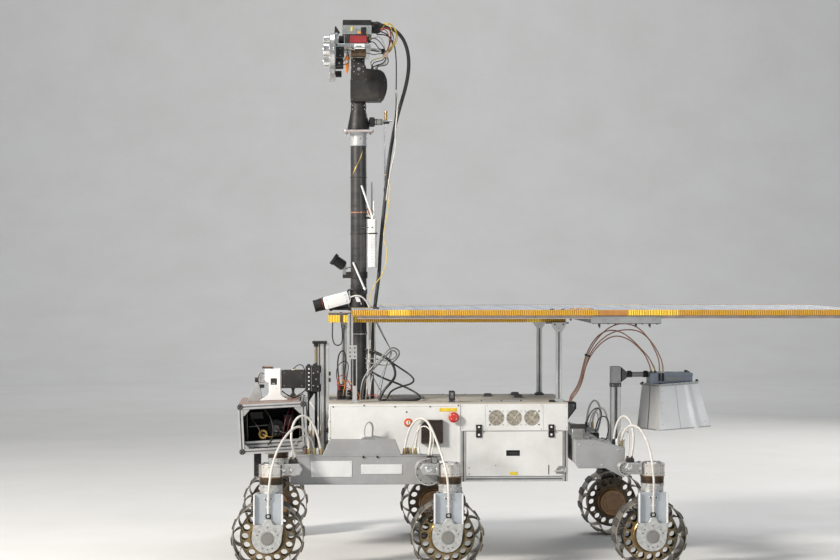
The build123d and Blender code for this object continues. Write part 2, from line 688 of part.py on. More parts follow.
with BuildPart() as drill_panels:
    inner = 2 * DRILL_HALF - 2 * PROFILE
    # roof, floor, front and back sheets between the profiles, and the drill unit inside
    with BuildSketch(drill_plane.offset(-inner / 2)):
        with Locations((0, DRILL_H / 2 - 10), (0, -DRILL_H / 2 + 10)):
            Rectangle(DRILL_L - 2 * PROFILE, 4)
        with Locations((DRILL_L / 2 - 10, 0), (-DRILL_L / 2 + 10, 0)):
            Rectangle(4, DRILL_H - 2 * PROFILE)
    extrude(amount=inner)
    with BuildSketch(drill_plane.offset(-60)):
        with Locations((10, -10)):
            Circle(38)
    extrude(amount=160)
keep(drill_panels, "drill_box_panels")

with BuildPart() as drill_post:
    with Locations((ax(-747), RAIL_Y, 381)):
        Box(30, 40, 120)
    with BuildSketch(drill_plane.offset(-DRILL_HALF)):
        Rectangle(DRILL_L, DRILL_H)
    extrude(amount=2 * DRILL_HALF, mode=Mode.SUBTRACT)
keep(drill_post, "drill_post")

# ---------------------------------------------------------------- radar at the rear
HORN_TILT, HORN_TURN = 3.3, 17.0
HORN_TOP, HORN_H = 696.0, 186.0
BLOCK_X0, BLOCK_X1, BLOCK_TOP = 868.0, 1044.0, 741.0
horn_plane = Plane(
    origin=(ax(958), 0, HORN_TOP),
    x_dir=(cos(radians(HORN_TILT)), 0, sin(radians(HORN_TILT))),
    z_dir=(-sin(radians(HORN_TILT)), 0, cos(radians(HORN_TILT))),
)
with BuildPart() as boom:
    with Locations((ax(731), 0, 600)):
        Box(42, 42, 332)
    with Locations((ax((618 + 710) / 2), 0, 446)):
        Box(92, 42, 24)
    # gusset, tube and clamps of the arm
    with BuildSketch(Plane(origin=(0, -17, 0), x_dir=(1, 0, 0), z_dir=(0, 1, 0))):
        with BuildLine():
            Polyline((ax(752), -766), (ax(778), -742), (ax(778), -722), (ax(752), -700), close=True)
        make_face()
    extrude(amount=34)
    with BuildSketch(Plane.YZ.offset(ax(778))):
        with Locations((0, 732)):
            Circle(10.5)
    extrude(amount=BLOCK_X0 - 778)
    for x in (789, 857):
        with BuildSketch(Plane.YZ.offset(ax(x - 11))):
            with Locations((0, 732)):
                Circle(12)
        extrude(amount=22)
    # wedge-shaped head over the horn's tilted plate
    with BuildSketch(Plane(origin=(0, -55, 0), x_dir=(1, 0, 0), z_dir=(0, 1, 0))):
        with BuildLine():
            Polyline((ax(BLOCK_X0), -BLOCK_TOP), (ax(BLOCK_X1), -BLOCK_TOP), (ax(BLOCK_X1), -690), (ax(BLOCK_X0), -690), close=True)
        make_face()
    extrude(amount=110)
    with BuildSketch(horn_plane.offset(4)):
        Rectangle(500, 300)
    extrude(amount=-80, mode=Mode.SUBTRACT)
    # connector sockets on its top
    with BuildSketch(Plane.XY.offset(BLOCK_TOP)):
        with Locations((ax(868 + 8), -35), (ax(868 + 24), -35)):
            Circle(5)
        with Locations((ax(1030), 30)):
            Circle(7)
    extrude(amount=7)
keep(boom, "radar_boom")

with BuildPart() as horn:
    # flat plate, then a square funnel of sheet, open below
    with BuildSketch(horn_plane):
        with Locations(Location((0, 0, 0), (0, 0, HORN_TURN))):
            Rectangle(182, 182)
    extrude(amount=4)
    for wall, mode in ((0, Mode.ADD), (3, Mode.SUBTRACT)):
        with BuildSketch(horn_plane.offset(-wall)):
            with Locations(Location((0, 0, 0), (0, 0, HORN_TURN))):
                Rectangle(173 - 2 * wall, 173 - 2 * wall)
        with BuildSketch(horn_plane.offset(-HORN_H - (1 if wall else 0))):
            with Locations(Location((6, 0, 0), (0, 0, HORN_TURN))):
                Rectangle(229 - 2 * wall, 229 - 2 * wall)
        loft(mode=mode)
keep(horn, "radar_horn")

# ---------------------------------------------------------------- cables
def bend_radii(points):
    """0.45 of the shorter run over the tangent of half the turn, for each corner."""
    vs = [Vector(*p) for p in points]
    out = []
    for a, b, c in zip(vs, vs[1:], vs[2:]):
        turn = (b - a).get_angle(c - b)
        out.append(0.45 * min((b - a).length, (c - b).length) / tan(radians(turn / 2)))
    return out


def keep_cables(label, cables, *neighbours):
    """One swept tube per cable, each end trimmed flush on the neighbours it meets; a cable is its diameter and its route in millimetres."""
    with BuildPart() as tubes:
        for dia, pts in cables:
            radii = bend_radii(pts)
            print(label, "diameter", dia, "radii", [round(r) for r in radii])
            with BuildLine() as route:
                FilletPolyline(*pts, radius=radii)
            with BuildSketch(Plane(origin=pts[0], z_dir=Vector(*pts[1]) - Vector(*pts[0]))):
                Circle(dia / 2)
            sweep(path=route.line)
        for neighbour in neighbours:
            add(neighbour.part, mode=Mode.SUBTRACT)
    keep(tubes, label)


def both_sides(routes):
    return [(dia, [(ax(x), s * y, z) for x, y, z in pts]) for side, s in SIDES for dia, pts in routes]


CONNECTOR_TOP = 470.0
with BuildPart() as connectors:
    for side, s in SIDES:
        # plain fittings along the beam's top, as X and radius
        with BuildSketch(Plane.XY.offset(442)):
            for x, r in [(-548, 4.5), (-534, 6), (-513, 6), (-500, 5), (-487, 6), (-159, 6), (-147, 4.5), (-136, 5), (-117, 6), (-103, 4.5)]:
                with Locations((ax(x), s * 452)):
                    Circle(r + 0.6)
        extrude(amount=CONNECTOR_TOP - 442)
        with BuildSketch(Plane.XY.offset(466)):
            with Locations((ax(664), s * 455), (ax(678), s * 456), (ax(692), s * 470)):
                Circle(6.6)
        extrude(amount=502 - 466)
        # the end plate's sloping top cuts the rear fittings' feet
        with BuildSketch(Plane(origin=(0, s * 436, 0), x_dir=(1, 0, 0), z_dir=(0, s, 0))):
            with BuildLine():
                Polyline((ax(509), -s * 500), (ax(580), -s * 502), (ax(704), -s * 470), (ax(704), -s * 446), (ax(509), -s * 446), close=True)
            make_face()
        extrude(amount=70, mode=Mode.SUBTRACT)
        # black sockets on the leg arms
        for x, w in [(-594, 36), (714, 32)]:
            with Locations((ax(x), s * 562, 429)):
                Box(w, 26, 18)
        with Locations((ax(-48), s * 577, 432)):
            Box(24, 34, 24)
        with Locations((ax(-62), s * 534, 438)):
            Box(26, 22, 16)
        with BuildSketch(Plane(origin=(ax(-68), s * 500, 383), x_dir=(1, 0, 0), z_dir=(0, s, 0))):
            Circle(55)
        extrude(amount=60, mode=Mode.SUBTRACT)
    # radar plugs on the near face of the horn's head
    with BuildSketch(Plane.XY.offset(712)):
        with Locations((ax(907), -59.5), (ax(921), -59.5)):
            Circle(4)
    extrude(amount=32)
keep(connectors, "lead_connectors")

# routes as X from the middle axle, |Y|, Z: from a connector on the beam down to the wheel motor
DRIVE_ROUTES = [
    (8.5, [(-534, 452, 462), (-535, 454, 505), (-548, 470, 545), (-578, 500, 561), (-616, 545, 534), (-649, 600, 486), (-672, 645, 423), (-683, 673, 351), (-687, 668, 290), (-687, 668, 236)]),
    (8.5, [(-159, 452, 462), (-153, 454, 500), (-136, 470, 556), (-108, 486, 588), (-78, 510, 586), (-54, 548, 546), (-37, 590, 499), (-19, 630, 448), (-6, 658, 397), (1, 673, 340), (3, 668, 286), (3, 668, 236)]),
    (8.5, [(692, 470, 492), (698, 485, 531), (722, 510, 562), (754, 556, 554), (775, 605, 509), (786, 642, 454), (790, 664, 402), (793, 673, 340), (791, 668, 286), (791, 668, 236)]),
]
keep_cables("drive_leads", both_sides(DRIVE_ROUTES), connectors)

# shorter leads from the beam connectors to each leg's actuator
LEG_ROUTES = [
    (8.5, [(-487, 452, 456), (-494, 453, 501), (-512, 461, 556), (-538, 472, 594), (-570, 486, 600), (-595, 503, 570), (-604, 522, 522), (-595, 540, 477), (-585, 556, 438)]),
    (4.5, [(-513, 452, 456), (-519, 456, 500), (-541, 474, 524), (-575, 504, 512), (-597, 534, 477), (-603, 556, 438)]),
    (8.5, [(-117, 452, 456), (-113, 456, 508), (-102, 464, 556), (-82, 478, 584), (-62, 496, 566), (-57, 512, 528), (-61, 527, 486), (-68, 536, 446)]),
    (4.5, [(-136, 452, 456), (-122, 458, 512), (-101, 466, 550), (-77, 482, 558), (-54, 504, 536), (-48, 520, 506), (-51, 530, 474), (-57, 533, 446)]),
    (8.5, [(664, 455, 492), (669, 458, 537), (682, 466, 578), (702, 480, 598), (724, 498, 580), (734, 514, 540), (734, 532, 490), (721, 556, 438)]),
    (4.5, [(678, 456, 492), (686, 460, 525), (700, 466, 548), (716, 476, 540), (722, 492, 510), (718, 518, 476), (707, 554, 438)]),
]
keep_cables("leg_leads", both_sides(LEG_ROUTES), connectors)

# four slim radar leads from the deck's rear edge over to the horn's head
RADAR_ROUTES = [
    (5, [(BODY_REAR + 12, -98, 608), (BODY_REAR + 30, -98, 621), (537, -98, 645), (558, -98, 671), (577, -98, 710), (589, -98, 767), (606, -93, 823), (643, -92, 884), (695, -88, 933), (756, -82, 949), (815, -76, 931), (861, -70, 883), (893, -64, 823), (907, -60, 780), (907, -59.5, 744)]),
    (5, [(BODY_REAR + 12, -86, 608), (BODY_REAR + 30, -86, 621), (543, -86, 639), (564, -86, 665), (583, -86, 704), (595, -86, 761), (612, -85, 817), (651, -82, 871), (703, -78, 908), (765, -74, 922), (826, -70, 914), (874, -66, 869), (906, -62, 815), (920, -60, 777), (921, -59.5, 744)]),
    (5, [(BODY_REAR + 12, -74, 608), (BODY_REAR + 30, -74, 621), (535, -74, 647), (556, -74, 673), (575, -74, 712), (587, -74, 769), (603, -84, 829), (639, -76, 888), (690, -68, 920), (747, -60, 912), (797, -52, 876), (838, -44, 833), (874, -37, 794), (892, -35, 748)]),
    (5, [(BODY_REAR + 12, -62, 608), (BODY_REAR + 30, -62, 621), (545, -62, 637), (566, -62, 663), (585, -62, 702), (597, -62, 759), (616, -78, 810), (658, -70, 863), (716, -60, 897), (773, -50, 885), (822, -42, 847), (860, -36, 801), (876, -35, 748)]),
]
keep_cables("radar_cables", [(dia, [(ax(x), y, z) for x, y, z in pts]) for dia, pts in RADAR_ROUTES], deck, boom, connectors, controls)

# thick loom from the back of the camera head, down beside the mast and through the panels' slot
LOOM_ROUTE = [(-284, -150, 2154), (-220, -150, 2154), (-168, -140, 2128), (-136, -120, 2072), (-127, -95, 1998), (-139, -70, 1919), (-162, -50, 1842), (-184, -35, 1761), (-199, -25, 1675), (-213, -15, 1585), (-222, -10, 1474), (-234, -3, 1363), (-244, -2, 1248), (-248, -4, 1150), (-262, -5, 1050), (-271, -5, 955), (-276, -6, 850), (-279, -8, 745), (-276, -12, 635)]
keep_cables("mast_loom", [(15, [(ax(x), y, z) for x, y, z in LOOM_ROUTE])], deck, sensor_arm)

# black leads looping on the deck round the foot of the mast
MAST_ROUTES = [
    (9, [(-307, -24, 836), (-281, -45, 835), (-250, -60, 822), (-214, -78, 803), (-188, -90, 770), (-183, -102, 730), (-208, -112, 700), (-236, -112, 672), (-250, -110, 635)]),
    (6, [(-304, -17, 824), (-262, -30, 824), (-222, -55, 802), (-189, -72, 780), (-155, -82, 758), (-122, -96, 736), (-106, -118, 716), (-122, -138, 702), (-154, -144, 694), (-190, -142, 682), (-213, -138, 663), (-220, -136, 635)]),
    (7, [(-309, -26, 757), (-281, -54, 748), (-251, -70, 731), (-218, -78, 716), (-182, -84, 704), (-150, -99, 690), (-112, -120, 672), (-84, -144, 654), (-86, -172, 641), (-112, -188, 639), (-150, -188, 639.5), (-190, -178, 639), (-226, -164, 641), (-254, -154, 635)]),
    (5, [(-414, -100, 701), (-418, -104, 742), (-421, -106, 786), (-414, -109, 828), (-396, -109, 840), (-386, -108, 812), (-387, -104, 776), (-394, -102, 738), (-392, -100, 701)]),
]
keep_cables("mast_leads", [(dia, [(ax(x), y, z) for x, y, z in pts]) for dia, pts in MAST_ROUTES], deck, controls, mast)

# lighter leads: two grey ones folded over beside the mast, two white ones up to the panels,
# one hanging under the lower panel, two behind the rear beam, and one over each bogie pivot
DECK_ROUTES = [
    (6, [(-320, -80, 635), (-317, -84, 688), (-300, -90, 731), (-271, -92, 764), (-242, -92, 793), (-216, -92, 822), (-194, -82, 840), (-174, -60, 822), (-186, -42, 800), (-228, -36, 790), (-270, -26, 802), (-305, -22, 800)]),
    (6, [(-328, -88, 635), (-325, -92, 694), (-307, -99, 738), (-278, -102, 771), (-249, -102, 800), (-222, -101, 832), (-194, -91, 852), (-162, -62, 832), (-176, -34, 796), (-222, -26, 768), (-268, -23, 782), (-305, -22, 781)]),
    (5, [(-289, -60, 956), (-290, -62, 899), (-293, -64, 837), (-294, -66, 776), (-299, -66, 706), (-304, -64, 635)]),
    (5, [(-269, -38, 956), (-268, -39, 898), (-266, -38, 837), (-265, -40, 788), (-275, -42, 735), (-286, -44, 690), (-288, -46, 635)]),
    (5, [(-440, -200, 956), (-442, -200, 918), (-441, -199, 886), (-432, -198, 862), (-408, -197, 862), (-400, -196, 886), (-401, -196, 918), (-405, -195, 956)]),
    (5, [(600, -60, 496), (604, -61, 538), (620, -63, 580), (648, -65, 602), (668, -67, 580), (660, -69, 540), (642, -71, 496)]),
    (5, [(642, -50, 496), (646, -51, 532), (662, -53, 562), (686, -55, 562), (700, -50, 532), (698, -36, 496), (690, -14, 458)]),
    (7, [(-312, -352, 492.6), (-318, -352, 526), (-312, -350, 554), (-294, -344, 566), (-281, -334, 548), (-282, -318, 520), (-284, -284, 502)]),
    (7, [(-312, 352, 492.6), (-318, 352, 526), (-312, 350, 554), (-294, 344, 566), (-281, 334, 548), (-282, 318, 520), (-284, 284, 502)]),
]
keep_cables("deck_leads", [(dia, [(ax(x), y, z) for x, y, z in pts]) for dia, pts in DECK_ROUTES], deck, front_body, controls, boom, rear_bogie, panel_lower, pivots)

print("pieces", len(finished))
low = min(p.bounding_box().min.X for p in finished), min(p.bounding_box().min.Y for p in finished), min(p.bounding_box().min.Z for p in finished)
high = max(p.bounding_box().max.X for p in finished), max(p.bounding_box().max.Y for p in finished), max(p.bounding_box().max.Z for p in finished)
print("box", low, high)
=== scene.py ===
import math
import random

import bmesh
import bpy
from mathutils import Matrix, Vector


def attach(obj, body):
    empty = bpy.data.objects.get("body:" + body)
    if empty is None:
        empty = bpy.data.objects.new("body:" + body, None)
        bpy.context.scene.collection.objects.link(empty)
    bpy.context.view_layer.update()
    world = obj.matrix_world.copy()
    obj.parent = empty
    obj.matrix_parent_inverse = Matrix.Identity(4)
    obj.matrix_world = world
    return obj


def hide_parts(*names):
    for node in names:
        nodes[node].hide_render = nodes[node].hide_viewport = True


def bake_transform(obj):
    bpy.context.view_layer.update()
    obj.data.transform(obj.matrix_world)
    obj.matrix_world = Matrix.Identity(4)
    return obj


# Six-wheeled planetary rover test vehicle. Lengths in this file are millimetres with X measured
# from the middle axle, as in the CAD source; place() turns them into the row frame in metres.

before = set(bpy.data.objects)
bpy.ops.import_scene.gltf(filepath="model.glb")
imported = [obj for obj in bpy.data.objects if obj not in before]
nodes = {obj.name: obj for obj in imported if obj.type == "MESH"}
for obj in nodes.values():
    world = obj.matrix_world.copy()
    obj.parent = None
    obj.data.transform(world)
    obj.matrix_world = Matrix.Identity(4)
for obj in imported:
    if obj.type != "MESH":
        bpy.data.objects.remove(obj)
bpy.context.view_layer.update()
random.seed(11)

AXLES = [("front", -690.0), ("middle", 0.0), ("rear", 788.0)]
SIDES = [("left", -1), ("right", 1)]


def place(x, y, z):
    return Vector(((x - 416.0) / 1000.0, y / 1000.0, z / 1000.0))


# ---------------------------------------------------------------- camera, floor and light
FOCAL_PX = 2183.0
yaw, pitch = math.atan(90 / FOCAL_PX), -math.atan(18 / FOCAL_PX)
camera = bpy.data.objects.new("camera", bpy.data.cameras.new("camera"))
bpy.context.scene.collection.objects.link(camera)
camera.data.sensor_width = 36.0
camera.data.lens = FOCAL_PX / 840 * 36
camera.data.clip_start, camera.data.clip_end = 0.1, 200
camera.location = (-0.867, -9.008, 1.198)
look = Vector((math.sin(yaw) * math.cos(pitch), math.cos(yaw) * math.cos(pitch), math.sin(pitch)))
camera.rotation_euler = look.to_track_quat("-Z", "Y").to_euler()
bpy.context.scene.camera = camera


def lamp(name, where, target, size, power, colour=(1, 1, 1)):
    data = bpy.data.lights.new(name, "AREA")
    data.shape, data.size, data.energy, data.color = "DISK", size, power, colour
    light = bpy.data.objects.new(name, data)
    bpy.context.scene.collection.objects.link(light)
    light.location = where
    light.rotation_euler = (Vector(target) - Vector(where)).to_track_quat("-Z", "Y").to_euler()
    return light


lamp("key", (-6.4, -4.6, 4.3), (-0.2, 0, 0.7), 1.5, 900, (1.0, 0.955, 0.89))
lamp("fill", (4.5, -8.0, 2.6), (0, 0, 0.8), 4.5, 105, (0.90, 0.95, 1.0))
lamp("top", (0.5, 0.5, 6.5), (0, 0, 0.8), 4.5, 150, (0.97, 0.98, 1.0))
lamp("backdrop", (0, 9.5, 7.5), (0, 19, 3.0), 7.0, 330, (0.97, 0.98, 1.0))
lamp("back", (3.5, 6.0, 3.4), (0, 0, 0.9), 3.0, 120, (1.0, 0.98, 0.95))
bpy.context.scene.view_settings.view_transform = "Standard"
bpy.context.scene.view_settings.look = "None"
bpy.context.scene.view_settings.exposure = 0.0

world = bpy.data.worlds.new("soft_studio")
bpy.context.scene.world = world
world.use_nodes = True
world.node_tree.nodes["Background"].inputs["Color"].default_value = (0.84, 0.89, 0.96, 1)
world.node_tree.nodes["Background"].inputs["Strength"].default_value = 0.34


# ---------------------------------------------------------------- materials
def colour4(c):
    return (c[0], c[1], c[2], 1.0)


def finish(name, base, other=None, scale=14.0, stretch=(1, 1, 1), rough=(0.4, 0.6), metallic=0.0,
           grain=0.05, grain_scale=420.0, bump=0.12, bump_scale=260.0, bump_depth=0.0004,
           dust=0.0, dust_colour=(0.50, 0.43, 0.34), scratches=0.0, coat=0.0, specular=0.5):
    """Two tones mixed by noise, a fine grain, dust lying on what faces up, scratches, roughness and bump."""
    m = bpy.data.materials.new(name)
    m.use_nodes = True
    tree = m.node_tree
    shader = tree.nodes["Principled BSDF"]
    other = other or tuple(c * 0.82 for c in base)

    def node(kind, **values):
        n = tree.nodes.new(kind)
        for k, v in values.items():
            if k in n.inputs:
                n.inputs[k].default_value = v
            else:
                setattr(n, k, v)
        return n

    def wire(a, out, b, into):
        tree.links.new(a.outputs[out], b.inputs[into])

    where = node("ShaderNodeTexCoord")
    spread = node("ShaderNodeMapping")
    spread.inputs["Scale"].default_value = stretch
    wire(where, "Object", spread, "Vector")
    blotch = node("ShaderNodeTexNoise", Scale=scale, Detail=6.0, Roughness=0.62)
    wire(spread, "Vector", blotch, "Vector")
    ramp = node("ShaderNodeMapRange")
    ramp.inputs["From Min"].default_value, ramp.inputs["From Max"].default_value = 0.36, 0.66
    wire(blotch, "Fac", ramp, "Value")
    tone = node("ShaderNodeMix", data_type="RGBA")
    tone.inputs[6].default_value, tone.inputs[7].default_value = colour4(base), colour4(other)
    wire(ramp, "Result", tone, 0)
    fine = node("ShaderNodeTexNoise", Scale=grain_scale, Detail=3.0, Roughness=0.7)
    wire(where, "Object", fine, "Vector")
    level = node("ShaderNodeMapRange")
    level.inputs["From Min"].default_value, level.inputs["From Max"].default_value = 0.3, 0.7
    level.inputs["To Min"].default_value, level.inputs["To Max"].default_value = 1 - 2.2 * grain, 1 + 1.4 * grain
    wire(fine, "Fac", level, "Value")
    grained = node("ShaderNodeVectorMath", operation="SCALE")
    wire(tone, 2, grained, 0)
    wire(level, "Result", grained, "Scale")
    last, socket = grained, 0
    rough_value = node("ShaderNodeMapRange")
    rough_value.inputs["From Min"].default_value, rough_value.inputs["From Max"].default_value = 0.3, 0.7
    rough_value.inputs["To Min"].default_value, rough_value.inputs["To Max"].default_value = rough
    second = node("ShaderNodeTexNoise", Scale=scale * 3.1, Detail=5.0, Roughness=0.6)
    wire(spread, "Vector", second, "Vector")
    wire(second, "Fac", rough_value, "Value")
    if scratches:
        lines = node("ShaderNodeMapping")
        lines.inputs["Scale"].default_value = (3.0, 3.0, 90.0)
        lines.inputs["Rotation"].default_value = (0.25, 0.35, 0.1)
        wire(where, "Object", lines, "Vector")
        marks = node("ShaderNodeTexNoise", Scale=9.0, Detail=4.0, Roughness=0.55)
        wire(lines, "Vector", marks, "Vector")
        cut = node("ShaderNodeMapRange")
        cut.inputs["From Min"].default_value, cut.inputs["From Max"].default_value = 0.63, 0.70
        cut.inputs["To Max"].default_value = scratches
        wire(marks, "Fac", cut, "Value")
        worn = node("ShaderNodeMix", data_type="RGBA")
        worn.inputs[7].default_value = colour4(tuple(min(1.0, c * 1.35 + 0.06) for c in base))
        wire(cut, "Result", worn, 0)
        wire(last, socket, worn, 6)
        last, socket = worn, 2
    if dust:
        up = node("ShaderNodeSeparateXYZ")
        wire(where, "Normal", up, "Vector")
        slope = node("ShaderNodeMapRange")
        slope.inputs["From Min"].default_value, slope.inputs["From Max"].default_value = -0.5, 1.0
        slope.inputs["To Min"].default_value, slope.inputs["To Max"].default_value = 0.25, 1.0
        wire(up, "Z", slope, "Value")
        cloud = node("ShaderNodeTexNoise", Scale=11.0, Detail=7.0, Roughness=0.72)
        wire(where, "Object", cloud, "Vector")
        cover = node("ShaderNodeMapRange")
        cover.inputs["From Min"].default_value, cover.inputs["From Max"].default_value = 0.42, 0.68
        cover.inputs["To Max"].default_value = dust
        wire(cloud, "Fac", cover, "Value")
        amount = node("ShaderNodeMath", operation="MULTIPLY")
        wire(cover, "Result", amount, 0)
        wire(slope, "Result", amount, 1)
        dusty = node("ShaderNodeMix", data_type="RGBA")
        dusty.inputs[7].default_value = colour4(dust_colour)
        wire(amount, 0, dusty, 0)
        wire(last, socket, dusty, 6)
        last, socket = dusty, 2
        rougher = node("ShaderNodeMath", operation="MULTIPLY_ADD")
        rougher.inputs[1].default_value = 0.45
        wire(amount, 0, rougher, 0)
        wire(rough_value, "Result", rougher, 2)
        rougher.use_clamp = True
        wire(rougher, 0, shader, "Roughness")
    else:
        wire(rough_value, "Result", shader, "Roughness")
    wire(last, socket, shader, "Base Color")
    shader.inputs["Metallic"].default_value = metallic
    shader.inputs["Specular IOR Level"].default_value = specular
    if coat:
        shader.inputs["Coat Weight"].default_value = coat
        shader.inputs["Coat Roughness"].default_value = 0.12
    relief = node("ShaderNodeTexNoise", Scale=bump_scale, Detail=4.0, Roughness=0.6)
    wire(spread, "Vector", relief, "Vector")
    bumped = node("ShaderNodeBump", Strength=bump, Distance=bump_depth)
    wire(relief, "Fac", bumped, "Height")
    wire(bumped, "Normal", shader, "Normal")
    return m


WHITE = finish("painted_white", (0.74, 0.74, 0.725), (0.66, 0.655, 0.635), scale=7, rough=(0.34, 0.5), grain=0.02, bump=0.05, dust=0.30, scratches=0.16)
BODY_GREY = finish("painted_light_grey", (0.62, 0.615, 0.60), (0.54, 0.53, 0.51), scale=8, rough=(0.4, 0.58), grain=0.025, bump=0.06, dust=0.28, scratches=0.18)
BEAM_GREY = finish("painted_grey", (0.30, 0.305, 0.31), (0.25, 0.252, 0.255), scale=10, rough=(0.42, 0.6), grain=0.03, bump=0.07, dust=0.25, scratches=0.22)
LEG_BLUE = finish("satin_blue_grey", (0.42, 0.452, 0.482), (0.35, 0.378, 0.405), scale=16, rough=(0.3, 0.46), metallic=0.35, grain=0.03, dust=0.12, scratches=0.2)
LEG_SILVER = finish("blasted_silver", (0.62, 0.62, 0.60), (0.42, 0.42, 0.41), scale=70, rough=(0.32, 0.5), metallic=0.6, grain=0.2, grain_scale=520, bump=0.3, bump_scale=500)
DECK = finish("deck_tan_grey", (0.50, 0.46, 0.39), (0.41, 0.375, 0.32), scale=9, rough=(0.55, 0.75), grain=0.05, dust=0.35)
PROFILE = finish("extruded_aluminium", (0.70, 0.70, 0.69), (0.60, 0.60, 0.59), scale=30, stretch=(1, 1, 1), rough=(0.32, 0.46), metallic=0.9, grain=0.03, dust=0.12, scratches=0.2)
MACHINED = finish("machined_aluminium", (0.73, 0.73, 0.72), (0.60, 0.60, 0.59), scale=34, rough=(0.2, 0.38), metallic=0.95, grain=0.04, scratches=0.25)
BRIGHT = finish("bright_steel", (0.86, 0.86, 0.85), (0.74, 0.74, 0.74), scale=40, rough=(0.14, 0.28), metallic=1.0, grain=0.02)
GREY_METAL = finish("grey_cast_metal", (0.40, 0.40, 0.385), (0.30, 0.295, 0.285), scale=30, rough=(0.36, 0.52), metallic=0.7, grain=0.08, bump=0.2)
GREY_CAP = finish("turned_grey_cap", (0.245, 0.235, 0.22), (0.185, 0.175, 0.165), scale=24, rough=(0.4, 0.55), metallic=0.35, grain=0.03)
HORN = finish("folded_sheet", (0.70, 0.695, 0.685), (0.60, 0.595, 0.59), scale=5, rough=(0.26, 0.4), metallic=0.45, grain=0.012, bump=0.05, bump_scale=14, bump_depth=0.001, scratches=0.08)
HOOP = finish("wheel_hoop_metal", (0.40, 0.375, 0.33), (0.23, 0.20, 0.16), scale=18, rough=(0.3, 0.5), metallic=0.85, grain=0.06, dust=0.5, scratches=0.35)
LEAF = finish("spring_leaf_metal", (0.35, 0.315, 0.255), (0.18, 0.15, 0.11), scale=20, rough=(0.26, 0.44), metallic=0.9, grain=0.05, dust=0.4)
BRONZE = finish("anodised_bronze", (0.30, 0.225, 0.115), (0.19, 0.15, 0.085), scale=13, rough=(0.34, 0.52), metallic=0.72, grain=0.06, dust=0.42, dust_colour=(0.42, 0.35, 0.25), scratches=0.3)
DARK_BRONZE = finish("dark_bronze", (0.085, 0.06, 0.035), (0.05, 0.037, 0.024), scale=16, rough=(0.38, 0.56), metallic=0.6, grain=0.06, dust=0.3)
GOLD = finish("gold_anodised", (0.62, 0.42, 0.15), (0.46, 0.30, 0.11), scale=12, rough=(0.22, 0.36), metallic=0.92, grain=0.05, dust=0.25)
COPPER = finish("copper_barrel", (0.36, 0.20, 0.09), (0.24, 0.145, 0.075), scale=14, rough=(0.3, 0.46), metallic=0.8, grain=0.05, dust=0.25)
BLACK = finish("black_anodised", (0.012, 0.012, 0.013), (0.020, 0.0195, 0.0195), scale=24, rough=(0.4, 0.56), metallic=0.1, grain=0.1, dust=0.10, scratches=0.02, specular=0.35)
RUBBER = finish("black_grouser", (0.028, 0.027, 0.026), (0.05, 0.046, 0.04), scale=30, rough=(0.55, 0.75), grain=0.12, bump=0.3, dust=0.3)
PLASTIC = finish("black_plastic", (0.013, 0.013, 0.014), (0.022, 0.0215, 0.021), scale=28, rough=(0.42, 0.6), grain=0.08, bump=0.2, bump_scale=600, dust=0.10, specular=0.4)
TUBE_BLACK = finish("wound_black_tube", (0.024, 0.024, 0.026), (0.042, 0.041, 0.041), scale=10, stretch=(1, 1, 5), rough=(0.26, 0.42), grain=0.1, dust=0.10, coat=0.2)
BROWN_VENT = finish("dark_brown_grille", (0.05, 0.035, 0.03), (0.085, 0.06, 0.048), scale=40, rough=(0.4, 0.6), grain=0.15)
WHITE_PLASTIC = finish("white_plastic", (0.78, 0.78, 0.77), (0.69, 0.685, 0.67), scale=12, rough=(0.36, 0.5), grain=0.02, dust=0.12)
WHITE_LEAD = finish("white_sleeve", (0.66, 0.63, 0.585), (0.54, 0.51, 0.465), scale=45, rough=(0.4, 0.56), grain=0.05, bump=0.25, bump_scale=900)
GREY_LEAD = finish("grey_sleeve", (0.36, 0.36, 0.355), (0.28, 0.28, 0.275), scale=40, rough=(0.42, 0.56), grain=0.05)
BLACK_LEAD = finish("black_sleeve", (0.018, 0.018, 0.019), (0.03, 0.03, 0.03), scale=50, rough=(0.3, 0.46), grain=0.12, bump=0.35, bump_scale=1400)
LOOM = finish("braided_black_loom", (0.02, 0.02, 0.021), (0.045, 0.044, 0.043), scale=260, rough=(0.42, 0.6), grain=0.25, grain_scale=900, bump=0.6, bump_scale=900, bump_depth=0.0008)
YELLOW_LEAD = finish("yellow_wire", (0.80, 0.56, 0.05), (0.62, 0.42, 0.03), scale=60, rough=(0.36, 0.5), grain=0.04)
RED_LEAD = finish("red_wire", (0.55, 0.05, 0.03), (0.40, 0.035, 0.02), scale=60, rough=(0.36, 0.5), grain=0.04)
COPPER_LEAD = finish("copper_coloured_sleeve", (0.42, 0.20, 0.12), (0.30, 0.135, 0.08), scale=50, rough=(0.34, 0.5), grain=0.06, bump=0.25, bump_scale=900)
BRASS = finish("brass_fitting", (0.50, 0.40, 0.20), (0.37, 0.30, 0.16), scale=40, rough=(0.26, 0.42), metallic=0.85, grain=0.06)
RED = finish("red_button", (0.60, 0.035, 0.02), (0.47, 0.025, 0.016), scale=30, rough=(0.24, 0.36), grain=0.02, coat=0.4)
ORANGE = finish("orange_plastic", (0.78, 0.27, 0.04), (0.62, 0.2, 0.03), scale=30, rough=(0.34, 0.5), grain=0.03)
YELLOW = finish("yellow_plate", (0.80, 0.60, 0.05), (0.68, 0.48, 0.04), scale=40, rough=(0.4, 0.55), grain=0.04)
AMBER = finish("amber_tape", (0.53, 0.24, 0.007), (0.36, 0.15, 0.005), scale=26, stretch=(1, 1, 0.4), rough=(0.24, 0.4), metallic=0.15, grain=0.12, grain_scale=260, coat=0.22, bump=0.25, bump_scale=180)
# a brighter copy of the amber tape for strips that catch the light: painted light
AMBER_BRIGHT = finish("amber_tape_painted_lit", (0.82, 0.47, 0.022), (0.68, 0.36, 0.015), scale=26, rough=(0.2, 0.36), metallic=0.1, grain=0.08, coat=0.3)
